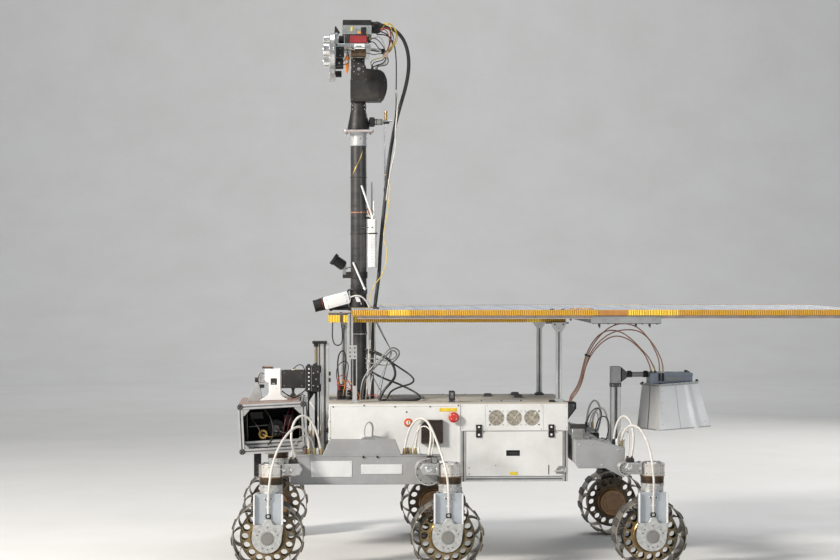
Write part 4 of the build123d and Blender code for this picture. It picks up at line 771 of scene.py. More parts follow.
# ---------------------------------------------------------------- wheels
def smooth_line(points, steps=4):
    """A finer line through the points of a sheet-metal profile."""
    out = []
    for i in range(len(points) - 1):
        p0, p1, p2, p3 = points[max(i - 1, 0)], points[i], points[i + 1], points[min(i + 2, len(points) - 1)]
        for k in range(steps):
            t = k / steps
            out.append(tuple(0.5 * (2 * p1[j] + (p2[j] - p0[j]) * t + (2 * p0[j] - 5 * p1[j] + 4 * p2[j] - p3[j]) * t * t + (3 * p1[j] - p0[j] - 3 * p2[j] + p3[j]) * t ** 3) for j in (0, 1)))
    out.append(points[-1])
    return out


def ribbon(points, half):
    """The outline of a thin strip that follows a line."""
    left, right = [], []
    for i, p in enumerate(points):
        a, b = points[max(i - 1, 0)], points[min(i + 1, len(points) - 1)]
        dx, dy = b[0] - a[0], b[1] - a[1]
        k = half / max(1e-9, math.hypot(dx, dy))
        left.append((p[0] - dy * k, p[1] + dx * k))
        right.append((p[0] + dy * k, p[1] - dx * k))
    return left + right[::-1]


def turned(points, a):
    ca, sa = math.cos(math.radians(a)), math.sin(math.radians(a))
    return [(p[0] * ca - p[1] * sa, p[0] * sa + p[1] * ca) for p in points]


def strip_prism(kit, pair, y0, y1, m):
    """Two matching lines, side by side, pushed across the wheel: quads all along."""
    left, right = pair
    n = len(left)
    verts = [(p[0], y, p[1]) for y in (y0, y1) for p in left + right[::-1]]
    faces, k = [], 2 * n
    for i in range(n - 1):
        faces.append((i, i + 1, 2 * n - 2 - i, 2 * n - 1 - i))
        faces.append((k + i, k + 2 * n - 1 - i, k + 2 * n - 2 - i, k + i + 1))
    for i in range(k):
        j = (i + 1) % k
        faces.append((i, k + i, k + j, j))
    kit.add(verts, faces, m)


def leaf_loop(kit, a, y0, y1, m, spread=36.0):
    """One sprung loop, from the drum out to the hoop and back."""
    line = [(107.2, 0.0), (113, 1.2), (121, 4.2), (128.5, 8.6), (132.6, 13.0), (133.6, spread / 2), (132.6, spread - 13.0), (128.5, spread - 8.6), (121, spread - 4.2), (113, spread - 1.2), (107.2, spread)]
    pts = [(r * math.cos(math.radians(a + d)), r * math.sin(math.radians(a + d))) for r, d in smooth_line(line, 3)]
    both = ribbon(pts, 0.75)
    n = len(pts)
    strip_prism(kit, (both[:n], both[n:][::-1]), y0, y1, m)


HUB_BROWN = finish("hub_brown", (0.26, 0.155, 0.085), (0.17, 0.105, 0.062), scale=12, rough=(0.3, 0.44), metallic=0.7, grain=0.04, dust=0.2, dust_colour=(0.40, 0.33, 0.24))


def wheel_kit(name):
    """A wheel of the left side about its own hub: outboard is -Y."""
    k = Kit(name)
    u, v = (1, 0, 0), (0, 0, 1)
    # hoop with rolled edges
    k.lathe([(134.0, -60), (136.6, -60), (137.6, -58.5), (137.0, -56.5), (136.6, -55), (136.6, 55), (137.0, 56.5), (137.6, 58.5), (136.6, 60), (134.0, 60)], (0, 0, 0), (0, 1, 0), HOOP, 96, closed=True)
    # grousers across the hoop, and their rivets inside
    for i in range(14):
        a = 360 / 14 * i + 7
        block = arc(0, 0, 142.4, a - 5.2, a + 5.2, 6) + arc(0, 0, 136.4, a + 6.6, a - 6.6, 6)
        k.prism([(p[0], p[1]) for p in block], (0, 59, 0), u, (0, 0, 1), 118, RUBBER, 1.4)
        for o in (-44, 0, 44):
            d = Vector((math.cos(math.radians(a)), 0, math.sin(math.radians(a))))
            k.lathe([(0, 0), (3.2, 0), (2.6, 1.3), (0, 1.7)], d * 134.1 + Vector((0, o, 0)), -d, BRIGHT, 8)
    # sprung loops
    for i in range(9):
        leaf_loop(k, i * 40 + 3, -50, 50, LEAF)
    # pierced webs on each face of the drum
    holes = [ring(88 * math.cos(math.radians(22.5 * i)), 88 * math.sin(math.radians(22.5 * i)), 13.5, 24) for i in range(16)]
    for y, m in ((-27.0, BRONZE), (30.0, DARK_BRONZE)):
        k.plate(ring(0, 0, 105.2, 96), holes + [ring(0, 0, 55, 48)], (0, y, 0), u, v, 3.0, m, 0.7)
        side = -1 if y < 0 else 1
        for i in range(16):
            a = math.radians(22.5 * i + 11.25)
            k.screw((99.5 * math.cos(a), (30 if side > 0 else -30), 99.5 * math.sin(a)), (0, side, 0), 2.3, BLACK, 1.6)
    k.lathe([(104.4, -31.5), (107.5, -31.5), (107.5, -28), (106.6, -26.5), (106.6, 26.5), (107.5, 28), (107.5, 31.5), (104.4, 31.5)], (0, 0, 0), (0, 1, 0), DARK_BRONZE, 96, closed=True)
    # collars round every hole, joining the webs
    for i in range(0, 16, 2):
        a = math.radians(22.5 * i + 11.25)
        k.rod((76 * math.cos(a), -27, 76 * math.sin(a)), (76 * math.cos(a), 27, 76 * math.sin(a)), 3.2, LEAF, 8)
    # barrel: gold collar outboard, copper body and flat brown end inboard
    k.lathe([(17, -27), (69, -27), (69, -34), (66.5, -37.5), (64, -39), (64, -52), (61.5, -56), (17, -56)], (0, 0, 0), (0, 1, 0), GOLD, 64, closed=True)
    k.lathe([(0, 28), (62, 28), (62, 33), (58, 35.5), (58, 66), (54.5, 71), (0, 71)], (0, 0, 0), (0, 1, 0), COPPER, 64)
    k.lathe([(0, 70), (50.5, 70), (51.5, 71.4), (50.5, 72), (36, 72), (35, 71.2), (33.5, 71.2), (32.5, 72), (0, 72)], (0, 0, 0), (0, 1, 0), HUB_BROWN, 64)
    for i in range(8):
        a = math.radians(45 * i + 10)
        k.screw((43.5 * math.cos(a), 71.3, 43.5 * math.sin(a)), (0, 1, 0), 2.4, BLACK, 1.6)
    # fine rings that step the gold collar
    for o, r in ((-41.5, 65.0), (-46.5, 65.0)):
        k.lathe([(63, o - 1), (r, o - 0.5), (r, o + 0.5), (63, o + 1)], (0, 0, 0), (0, 1, 0), DARK_BRONZE, 64, closed=True)
    return k


wheel_left = wheel_kit("wheel_left_shape")
wheel_right = wheel_left.mirrored("wheel_right_shape")
for axle, hub_x in AXLES:
    for side, s in SIDES:
        k = wheel_left if s < 0 else wheel_right
        k.name = "wheel_detail_" + axle + "_" + side
        k.make("spinning_" + axle + "_" + side, "wheel_bronze", "wheel_" + axle + "_" + side, origin=(hub_x, s * 575, 142.5))


# ---------------------------------------------------------------- legs
def leg_kit(name):
    """A leg of the left side, X from its hub."""
    k = Kit(name)
    # turning drum
    k.lathe([(0, 295), (43.5, 295), (45.5, 297), (45.5, 303), (43.2, 305), (43.2, 330), (45.5, 332), (45.5, 339.5), (44, 341), (20, 341), (20, 354), (0, 354)], (12, -575, 0), (0, 0, 1), LEG_SILVER, 48)
    for i in range(10):
        a = math.radians(36 * i + 18)
        d = Vector((math.cos(a), math.sin(a), 0))
        k.screw(Vector((12, -575, 336)) + d * 45.3, d, 1.9, BLACK, 1.0)
    # shelf out to the plate, with its gussets
    k.box((3, -618, 304), (88, 84, 14), LEG_SILVER, 2.0)
    for x in (-33, 39):
        k.prism([(-600, 297), (-646, 297), (-646, 262)], (x - 3, 0, 0), (0, 1, 0), (0, 0, 1), 6, LEG_SILVER, 0.8)
    for x in (-30, 3, 36):
        k.screw((x, -632, 311), (0, 0, 1), 3.4, BLACK, 2.4)
    # plate: backing, raised rims, speckled foot
    foot = arc(-3, 142.5, 57, 180, 360, 28)
    backing = foot + [(57, 160), (60, 185), (60, 303)] + arc(51, 303, 9, 0, 90, 4)[1:] + [(-45, 312)] + arc(-45, 303, 9, 90, 180, 4)[1:] + [(-54, 303), (-54, 185), (-59, 160)]
    k.prism(backing, (0, -645, 0), (1, 0, 0), (0, 0, 1), 16, LEG_BLUE, 1.2)
    low = arc(-3, 142.5, 57, 180, 360, 28) + [(56, 160), (59.5, 180), (60, 196), (26, 194.5), (20, 201), (14, 214), (8, 216.6), (-2, 216.6), (-8, 214), (-14, 201), (-20, 194.5), (-54, 196), (-54, 180), (-58, 160)]
    k.prism(low, (0, -661, 0), (1, 0, 0), (0, 0, 1), 14, LEG_SILVER, 1.2)
    for x0, x1 in ((-54, -47.5), (53.5, 60)):
        k.box(((x0 + x1) / 2, -668, 250), (x1 - x0, 14, 122), LEG_RIM, 1.5)
    # gland with its dark ring, and the clip with two pins
    k.lathe([(6.2, 0), (10.5, 0), (11.2, 1.5), (11.2, 5.5), (9.4, 7.5), (7.0, 7.5), (6.2, 6)], (3, -661, 226), (0, -1, 0), BLACK, 32, closed=True)
    k.lathe([(0, 0), (6.4, 0), (6.4, 5.2), (4.8, 6.4), (0, 6.4)], (3, -661, 226), (0, -1, 0), LEG_SILVER, 24)
    k.box((3, -664.4, 294), (33, 6.5, 7), LEG_RIM, 1.2)
    for x in (-8, 14):
        k.screw((x, -667, 294), (0, -1, 0), 3.4, BLACK, 3)
    k.box((3, -662.4, 262), (17, 3, 5.5), LEG_RIM, 1.0)
    # round cap on the axle in its shallow seat, and the screws of the foot
    k.lathe([(23.6, 0), (27.2, 0), (27.2, 0.8), (25.6, 1.0), (23.6, 0.6)], (0, -674.9, 142.5), (0, -1, 0), GREY_METAL, 48, closed=True)
    k.lathe([(0, -3), (23, -3), (23, 2.2), (22.2, 3), (4, 2.6), (3.2, 1.8), (0, 1.8)], (0, -675, 142.5), (0, -1, 0), GREY_CAP, 48)
    for a in (90, 41, 19, 139, 161, 296, 270, 244):
        r = 41.5 if a != 90 else 42
        x, z = r * math.cos(math.radians(a)), 142.5 + r * math.sin(math.radians(a))
        k.lathe([(0, 0), (3.4, 0), (3.4, 0.5), (2.6, 0.7), (2.2, 0.25), (0, 0.25)], (x, -675, z), (0, -1, 0), GREY_METAL, 12)
        k.lathe([(0, 0), (2.0, 0), (2.0, 0.5), (0, 0.5)], (x, -675, z), (0, -1, 0), BLACK, 8)
    # gear flange and fixed axle behind the plate
    k.lathe([(15, 637), (59.5, 637), (61, 638.5), (61, 643.6), (59.5, 645), (15, 645)], (0, 0, 142.5), (0, -1, 0), BLACK, 64, closed=True)
    k.lathe([(0, 535), (15, 535), (15, 645), (0, 645)], (0, 0, 142.5), (0, -1, 0), BRIGHT, 32)
    # inner face of the plate, seen from behind: a cover with its screws
    k.box((3, -643, 238), (74, 5, 96), GREY_METAL, 1.4)
    for x in (-27, 33):
        for z in (198, 278):
            k.screw((x, -640.6, z), (0, 1, 0), 3.0, BLACK, 2.0)
    return k


LEG_RIM = finish("bright_leg_rim", (0.80, 0.81, 0.82), (0.70, 0.71, 0.72), scale=30, rough=(0.28, 0.4), metallic=0.3, grain=0.03, scratches=0.15)
leg_left = leg_kit("leg_left_shape")
leg_right = leg_left.mirrored("leg_right_shape")
for axle, hub_x in AXLES:
    for side, s in SIDES:
        k = leg_left if s < 0 else leg_right
        k.name = "leg_detail_" + axle + "_" + side
        k.make("steering_" + axle + "_" + side, "leg_paint", "leg_" + axle + "_" + side, origin=(hub_x, 0, 0))

# ---------------------------------------------------------------- steering housings
HOUSING = finish("housing_metal", (0.66, 0.635, 0.60), (0.54, 0.51, 0.47), scale=26, rough=(0.26, 0.4), metallic=0.85, grain=0.05, scratches=0.2)
BAND = finish("bronze_band", (0.085, 0.058, 0.036), (0.055, 0.04, 0.028), scale=24, rough=(0.26, 0.4), metallic=0.75, grain=0.06)
HOUSING_EDGE = finish("housing_brown_edge", (0.24, 0.15, 0.08), (0.17, 0.11, 0.065), scale=30, rough=(0.36, 0.5), metallic=0.6, grain=0.06)


def housing(k, x):
    """One steering motor's housing on the left side."""
    c = (x, -575)
    k.lathe([(20.4, 342), (44.5, 342), (45.5, 343), (45.5, 349), (43.8, 350), (43.8, 352), (45.5, 353), (45.5, 365), (44.5, 366), (20.4, 366)], (c[0], c[1], 0), (0, 0, 1), BAND, 48, closed=True)
    oct_out = [(c[0] + 48 * math.cos(math.radians(45 * i)), c[1] + 48 * math.sin(math.radians(45 * i))) for i in range(8)]
    k.prism(oct_out, (0, 0, 366), (1, 0, 0), (0, 1, 0), 53, HOUSING, 1.8)
    # brown gasket line low down, and a plate with screws on every face
    band = [(c[0] + 48.8 * math.cos(math.radians(45 * i)), c[1] + 48.8 * math.sin(math.radians(45 * i))) for i in range(8)]
    k.prism(band, (0, 0, 366.5), (1, 0, 0), (0, 1, 0), 4.5, HOUSING_EDGE, 0.6)
    for i in range(8):
        a = math.radians(45 * i + 22.5)
        n = Vector((math.cos(a), math.sin(a), 0))
        t = Vector((-math.sin(a), math.cos(a), 0))
        mid = Vector((c[0], c[1], 395)) + n * 44.4
        k.box(mid, (27, 38, 1.6), HOUSING, 0.5, u=t, v=(0, 0, 1))
        for dt in (-10.5, 10.5):
            for dz in (-15, 15):
                k.screw(mid + t * dt + Vector((0, 0, dz)) + n * 0.6, n, 1.9, BLACK, 1.0)
    k.lathe([(0, 418), (36, 418), (36, 421.5), (34.5, 423), (14, 423), (12.5, 421.6), (0, 421.6)], (c[0], c[1], 0), (0, 0, 1), MACHINED, 40)
    for i in range(6):
        a = math.radians(60 * i + 30)
        k.screw((c[0] + 30 * math.cos(a), c[1] + 30 * math.sin(a), 422.6), (0, 0, 1), 2.4, BLACK, 1.4)


def arm_parts(k, axle, hub_x):
    """Rotary actuator and flat arm of one leg on the left side."""
    act_x, act_z, act_r, act_y = {"front": (-592, 396, 40, 480), "middle": (-68, 383, 55, 480), "rear": (700, 392, 38, 500)}[axle]
    x1 = hub_x + 12
    d = 1 if x1 > act_x else -1
    o = (act_x, 0, act_z)
    start = 36
    if axle != "middle":
        act_r = 30
    if axle == "rear":
        start = 10
    k.lathe([(0, act_y), (act_r - 1.5, act_y), (act_r, act_y + 1.5), (act_r, act_y + 12), (act_r - 2, act_y + 14), (act_r - 2, 528), (act_r, 530), (act_r, 545.5), (act_r - 2.5, 548), (0, 548)], o, (0, -1, 0), GREY_METAL, 64)
    k.lathe([(act_r - 5.5, 547.2), (act_r - 2.2, 547.2), (act_r - 2.6, 549.2), (act_r - 4.8, 549.2)], o, (0, -1, 0), BRIGHT, 64, closed=True)
    for i in range(12):
        a = math.radians(30 * i + 15)
        k.screw((act_x + (act_r - 10) * math.cos(a), -548, act_z + (act_r - 10) * math.sin(a)), (0, -1, 0), 2.5, BLACK, 1.8)
    near = 44.0
    side = [(act_x - d * (start - 12), 376), (act_x - d * start, 400), (act_x - d * (start - 12), 420), (x1 - d * near, 420), (x1 - d * near, 376)]
    k.prism(side, (0, -540, 0), (1, 0, 0), (0, 0, 1), 66, ARM, 2.2)
    # saddle that meets the round-backed housing, ribs and bolts
    x_mid = (act_x + x1 - d * near) / 2
    length = abs(x1 - d * near - act_x)
    k.box((x1 - d * (near + 1.5), -573, 398), (9, 60, 50), ARM, 1.6)
    k.box((x_mid, -606.8, 398), (max(10, length - 26), 2.4, 28), GREY_METAL, 0.9)
    for dx in (-1, 1):
        k.screw((x_mid + dx * (length / 2 - 7), -606, 398), (0, -1, 0), 4.0, BRIGHT, 3)
    for dx in (-14, 14):
        k.screw((x1 - d * (near + 8) , -573 + dx, 420), (0, 0, 1), 3.4, BLACK, 2.6)
    if axle != "middle":
        # a bright strip and a dark strip draw a groove on the arm's face: painted highlight and painted shade
        k.box((x_mid - 6, -606.4, 401), (abs(length) + 8, 1.6, 3.0), MACHINED, 0.5)
        k.box((x_mid - 6, -606.4, 388), (abs(length) + 2, 1.6, 2.0), DARK_GREY, 0.5)
    else:
        k.lathe([(0, 606), (12, 606), (12, 608.4), (10.5, 609.4), (0, 609.4)], (act_x - d * 4, 0, 398), (0, -1, 0), MACHINED, 32)


ARM = finish("grey_cast_arm", (0.43, 0.43, 0.425), (0.35, 0.35, 0.345), scale=22, rough=(0.36, 0.52), metallic=0.55, grain=0.07, bump=0.2, scratches=0.2)
units = Kit("steering_units_left")
arms = Kit("actuator_arms_left")
for axle, hub_x in AXLES:
    housing(units, hub_x + 12)
    arm_parts(arms, axle, hub_x)
units_right, arms_right = units.mirrored("steering_units_right"), arms.mirrored("actuator_arms_right")
units.make("chassis", "machined_aluminium", "steering_motors")
units_right.make("chassis", "machined_aluminium", "steering_motors")
arms.make("chassis", "machined_aluminium", "leg_arms")
arms_right.make("chassis", "machined_aluminium", "leg_arms")

# ---------------------------------------------------------------- lead connectors and sockets
BROWN = finish("brown_moulding", (0.14, 0.075, 0.04), (0.10, 0.055, 0.032), scale=40, rough=(0.4, 0.55), grain=0.08)
ends = Kit("lead_connectors_left")


def fitting(k, x, y, z0, z1, r, m, nut=True):
    """A round cable fitting: nut, knurled sleeve and strain relief."""
    if nut:
        k.prism([(x + r * 1.12 * math.cos(math.radians(60 * i)), y + r * 1.12 * math.sin(math.radians(60 * i))) for i in range(6)], (0, 0, z0), (1, 0, 0), (0, 1, 0), (z1 - z0) * 0.42, m, 0.5)
    k.lathe([(0, z0), (r * 0.94, z0 + (z1 - z0) * 0.4), (r * 0.94, z0 + (z1 - z0) * 0.8), (r * 0.72, z1), (0, z1)], (x, y, 0), (0, 0, 1), m, 18)


for x, r, m in [(-548, 4.5, BROWN), (-534, 6, BRASS), (-513, 6, BRASS), (-500, 5, WHITE_PLASTIC), (-487, 6, BRASS), (-159, 6, BRASS), (-147, 4.5, BROWN), (-136, 5, BRASS), (-117, 6, BRASS), (-103, 4.5, WHITE_PLASTIC)]:
    fitting(ends, x, -452, 444, 470, r + 0.8, m)
for x, y, m, z0 in [(664, -455, BLACK, 479), (678, -456, WHITE_PLASTIC, 475.5), (692, -470, BRASS, 472)]:
    fitting(ends, x, y, z0, 502, 6.6, m)
for x, w in [(-594, 36), (714, 32)]:
    ends.box((x, -562, 427.5), (w, 26, 15), PLASTIC, 2.0)
    ends.box((x - w * 0.22, -562, 436), (w * 0.36, 18, 8), BROWN, 1.5)
    ends.box((x + w * 0.24, -562, 434.5), (w * 0.3, 20, 5), BLACK, 1.2)
    for dx in (-9, 9):
        fitting(ends, x + dx, -556, 434, 443, 4.6, BLACK, nut=False)
# angled connector of the middle leg, ribbed, with its brown foot
ends.box((-48, -577, 432), (24, 34, 23), PLASTIC, 2.2)
for i in range(5):
    ends.box((-48, -594.6, 424 + i * 4.2), (20, 1.2, 1.5), PLATE_PALE, 0.3)
ends.box((-48, -577, 419.6), (26, 36, 3), BROWN, 0.8)
ends.box((-62, -534, 438), (26, 22, 15), PLASTIC, 1.8)
ends.box((-20, -580, 425), (18, 20, 10), WHITE_PLASTIC, 1.5)
ends.box((-4, -584, 424), (9, 12, 8), BRIGHT, 1.0)
ends_right = ends.mirrored("lead_connectors_right")
for x in (907, 921):
    ends.rod((x, -59.5, 713), (x, -59.5, 739), 3.6, PLASTIC, 16)
    ends.rod((x, -59.5, 738), (x, -59.5, 744), 4.0, WHITE_PLASTIC, 16)
ends.make("chassis", "brass_fittings", "lead_connectors")
ends_right.make("chassis", "brass_fittings", "lead_connectors")

# ---------------------------------------------------------------- side bogies
beam = Kit("bogie_beam_left")
beam.prism([(-607, 328), (-8, 328), (-8, 442), (-607, 442)], (0, -425, 0), (1, 0, 0), (0, 0, 1), 55, BEAM_GREY, 2.0)
beam.prism([(-480, 436), (-480, 442), (-460, 486), (-450, 502), (-196, 502), (-172, 442), (-172, 436)], (0, -425, 0), (1, 0, 0), (0, 0, 1), 49, BEAM_GREY, 2.0)
# folded lip round the face, blank plates with their pins, bolts
beam.box((-307.5, -480.8, 439.2), (596, 2.6, 3.2), BEAM_GREY, 0.6)
beam.box((-307.5, -480.8, 330.8), (596, 2.6, 3.2), BEAM_GREY, 0.6)
beam.box((-445, -480.9, 389.5), (160, 2.6, 63), PLATE_PALE, 0.9)
beam.box((-249.5, -480.9, 388), (161, 2.6, 38), PLATE_PALE, 0.9)
for cx, w, cz, h in ((-445, 160, 389.5, 63), (-249.5, 161, 388, 38)):
    for dx in (-1, 1):
        for dz in (-1, 1):
            beam.screw((cx + dx * (w / 2 - 6), -482, cz + dz * (h / 2 - 6)), (0, -1, 0), 2.0, BRIGHT, 1.2)
for x in (-320, -266):
    beam.lathe([(0, 0), (7.5, 0), (7.5, 1.4), (0, 1.4)], (x, -480, 436), (0, -1, 0), GREY_METAL, 24)
    beam.screw((x, -481.2, 436), (0, -1, 0), 4.6, BLACK, 3.5)
for x in (-592, -22):
    for z in (345, 425):
        beam.screw((x, -480, z), (0, -1, 0), 2.6, GREY_METAL, 1.8)
beam.box((-130, -452, 443.5), (80, 34, 4), GREY_METAL, 1.0)
beam.box((-517, -452, 443.5), (84, 34, 4), GREY_METAL, 1.0)
# inner side of the beam: cover strip and pivot flange
beam.box((-307.5, -423.6, 385), (560, 2.8, 84), GREY_METAL, 0.9)
beam.lathe([(0, 0), (50, 0), (50, 3), (44, 6), (36, 6), (34, 2.5), (0, 2.5)], (-300, -424.4, 462), (0, 1, 0), MACHINED, 48)
for i in range(8):
    a = math.radians(45 * i)
    beam.screw((-300 + 40 * math.cos(a), -418.8, 462 + 40 * math.sin(a)), (0, 1, 0), 2.8, BLACK, 2)
beam_right = beam.mirrored("bogie_beam_right")
beam.make("chassis", "grey_paint", "left_bogie")
beam_right.make("chassis", "grey_paint", "right_bogie")

# ---------------------------------------------------------------- rear bogie
rear = Kit("rear_bogie_beam")
rear.prism([(-450, 396), (450, 396), (450, 496), (-450, 496)], (522, 0, 0), (0, 1, 0), (0, 0, 1), 96, BEAM_GREY, 2.0)
for s in (-1, 1):
    face = [(509, 500), (580, 502), (704, 470), (700, 352), (626, 390), (522, 390), (509, 412)]
    if s < 0:
        rear.prism(face, (0, -440, 0), (1, 0, 0), (0, 0, 1), 60, BEAM_GREY, 2.0)
    else:
        rear.prism(face, (0, 500, 0), (1, 0, 0), (0, 0, 1), 60, BEAM_GREY, 2.0)
    for x, z in ((524, 484), (572, 488), (524, 406), (612, 404), (676, 462)):
        rear.screw((x, s * 500, z), (0, s, 0), 3.4, BRIGHT, 2.2)
    rear.box((540, s * 300, 500), (30, 60, 10), PLASTIC, 1.6)
    rear.box((596, s * 360, 498), (22, 90, 5), GREY_METAL, 1.0)
# the block on the beam, the sloped bracket behind the body, and bolts along the beam
rear.box((528, -400, 548), (62, 34, 16), PLASTIC, 2.0)
rear.box((528, -400, 519), (44, 24, 44), GREY_METAL, 1.5)
for y in range(-380, 381, 95):
    rear.screw((618, y, 470), (1, 0, 0), 3.4, BRIGHT, 2.4)
    rear.screw((618, y, 420), (1, 0, 0), 3.4, BRIGHT, 2.4)
rear.lathe([(0, 0), (50, 0), (50, 3), (44, 5), (0, 5)], (522, 0, 446), (-1, 0, 0), MACHINED, 48)
rear.make("chassis", "grey_paint", "rear_bogie")


# ---------------------------------------------------------------- body
U, V = (1, 0, 0), (0, 0, 1)          # a plate drawn in X and Z and pushed towards the rover's left

# front half: lips, screws, seams and blank plates on the painted box
k = Kit("front_body_trim")
k.prism(rect(-455, 620, 70.2, 629, 0), (0, -284, 0), U, V, 1.6, WHITE, 0.7)
k.prism(rect(-455, 318, 70.2, 325, 0), (0, -284, 0), U, V, 1.6, WHITE, 0.7)
k.prism(rect(-455, 326, -449, 619, 0), (0, -284, 0), U, V, 1.4, WHITE, 0.6)
k.prism(rect(62.5, 326, 70.2, 619, 0), (0, -284, 0), U, V, 1.4, WHITE, 0.6)
for x in (-439, -315, -191, -51, 62):
    button(k, (x, -285.5, 624.3 if x in (-315, 62) else 619.6), (0, -1, 0), 3.4, DARK_GREY)
for x in (-439, -315, -191, -51, 62):
    button(k, (x, -285.4, 321.6), (0, -1, 0), 3.0, GREY_METAL)
button(k, (-145, -284, 598), (0, -1, 0), 3.4, PLASTIC)
for z in (366, 430, 494, 560):
    button(k, (-452, -285.2, z), (0, -1, 0), 2.6, GREY_METAL)
k.prism(rect(-14, 599, 57, 614, 1.5), (0, -284, 0), U, V, 0.9, YELLOW, 0.3)
for x in (-9.5, 52.5):
    k.rod((x, -284.8, 606.5), (x, -285.3, 606.5), 1.4, DARK_GREY, 8, 0.2)
both(k)
k.prism(rect(-268, 330, 268, 617, 6), (-455, 0, 0), (0, -1, 0), V, 1.6, WHITE, 0.6)
k.prism(rect(-150, 372, 150, 560, 10), (-456.6, 0, 0), (0, -1, 0), V, 2.4, PLATE_PALE, 0.8)
for y in (-138, -46, 46, 138):
    for z in (384, 548):
        button(k, (-459, y, z), (-1, 0, 0), 3.4, MACHINED)
for y in (-258, -172, -86, 0, 86, 172, 258):
    for z in (338, 609):
        button(k, (-456.6, y, z), (-1, 0, 0), 3.0, DARK_GREY)
for y, z in ((-206, 470), (-206, 520), (206, 470), (206, 520), (-206, 420)):
    connector(k, (-456.6, y, z), (-1, 0, 0), 9, 17, BLACK, PLASTIC)
    for dy, dz in ((-10.5, -10.5), (10.5, -10.5), (-10.5, 10.5), (10.5, 10.5)):
        button(k, (-456.6, y + dy, z + dz), (-1, 0, 0), 1.7, MACHINED)
k.prism(rect(-235, 350, 235, 366, 2), (-456.6, 0, 0), (0, -1, 0), V, 1.2, BODY_GREY, 0.4)
for x in range(-420, 60, 92):
    for y in (-250, 250):
        button(k, (x, y, 318), (0, 0, -1), 3.2, GREY_METAL)
k.prism(rect(-380, -180, 10, 180, 8), (0, 0, 318), (1, 0, 0), (0, -1, 0), 1.6, BODY_GREY, 0.6)
for x in (-368, -185, -2):
    for y in (-168, 0, 168):
        button(k, (x, y, 316.4), (0, 0, -1), 3.0, MACHINED)
k.make("chassis", "white_paint")

# rear half: slotted bars
k = Kit("rear_frame_profiles")
for x in (83, 493):
    for y in (-270, 270):
        extrusion(k, (x, y, 318), (x, y, 628.6), 20, PROFILE)
for z in (328, 619):
    for y in (-270, 270):
        extrusion(k, (93, y, z), (483, y, z), 20, PROFILE, (0, 0, 1))
    for x in (83, 493):
        extrusion(k, (x, -260, z), (x, 260, z), 20, PROFILE, (0, 0, 1))
for y in (-1, 1):
    for x, d in ((93, 1), (483, -1)):
        for z, e in ((338, 1), (609, -1)):
            k.prism([(0, 0), (17, 0), (17, 3.5), (3.5, 17), (0, 17)], (x, y * 270 + 7.5, z), (d, 0, 0), (0, 0, e), 15, GREY_METAL, 0.8) if d * e > 0 else \
                k.prism([(0, 0), (17, 0), (17, 3.5), (3.5, 17), (0, 17)], (x, y * 270 - 7.5, z), (d, 0, 0), (0, 0, e), 15, GREY_METAL, 0.8)
            k.screw((x + d * 10, y * 270, z + e * 9), (0, 0, e), 3.2, BLACK, 3)
for x in (83, 493):
    for y in (-270, 270):
        k.box((x, y, 319), (19, 19, 2.6), PLASTIC, 0.8)
k.make("chassis", "profile_aluminium", "rear_frame")

# rear half: upper side panels with three fans each
k = Kit("fan_panels_detailed")
FANS = (216.0, 287.5, 359.0)
scallop = [((31.4 + 1.0 * math.cos(math.radians(22 * i * 3))) * math.cos(math.radians(3 * i)), (31.4 + 1.0 * math.cos(math.radians(22 * i * 3))) * math.sin(math.radians(3 * i))) for i in range(120)]
k.plate(rect(71.4, 521.5, 170.6, 629, 0.6, 1), [], (0, -280, 0), U, V, 4, WHITE, 0.5)
k.plate(rect(171.4, 521.5, 403.6, 629, 0.6, 1), [[(cx + x, 573 + z) for x, z in scallop] for cx in FANS], (0, -280, 0), U, V, 4, WHITE, 0.5)
k.plate(rect(404.4, 521.5, 503, 629, 0.6, 1), [], (0, -280, 0), U, V, 4, WHITE, 0.5)
for i, cx in enumerate(FANS):
    # housing, guard rings, spokes and blades
    k.lathe([(33.5, 0), (36, 0), (36, 18), (0, 18), (0, 16.5), (33.5, 16.5)], (cx, -279.8, 573), (0, 1, 0), DARK_GREY, 32)
    for r in (6.5, 12.0, 17.5, 23.0, 28.2, 32.2):
        k.tube((cx, -280.4, 573), (cx, -282.2, 573), r - 1.25, r + 1.25, BEIGE_GRILLE, 30, 0.4)
    k.rod((cx, -280.2, 573), (cx, -282.4, 573), 3.6, BEIGE_GRILLE, 14, 0.6)
    for t in range(4):
        a = math.radians(45 + 90 * t + 4)
        k.box((cx + 18 * math.cos(a), -281.0, 573 + 18 * math.sin(a)), (30, 1.6, 2.0), BEIGE_GRILLE, 0.4, (math.cos(a), 0, math.sin(a)), (0, 1, 0))
    k.rod((cx, -278.6, 573), (cx, -268, 573), 11.5, BRONZE, 18, 1.0)
    for t in range(9):
        a = math.radians(40 * t + 13 * i)
        d = Vector((math.cos(a), 0, math.sin(a)))
        lean = Vector((-math.sin(a) * 0.72, 0.6, math.cos(a) * 0.72))
        k.box(Vector((cx, -274.0, 573)) + d * 20.5, (20, 15.5, 1.6), BEIGE_GRILLE, 0.5, d, lean)
    for dx in (-27, 27):
        for dz in (-27, 27):
            dark = (i == 0 and dx < 0) or (i == 2 and dx > 0)
            button(k, (cx + dx, -284, 573 + dz), (0, -1, 0), 3.4 if dark else 2.8, DARK_GREY if dark else MACHINED)
for x in (79, 496):
    for z in (533, 621):
        button(k, (x, -284, z), (0, -1, 0), 2.7, MACHINED)
for x in (178, 396):
    for z in (528, 622):
        button(k, (x, -284, z), (0, -1, 0), 2.3, MACHINED)
both(k)
k.make("chassis", "white_paint", "fan_panels")

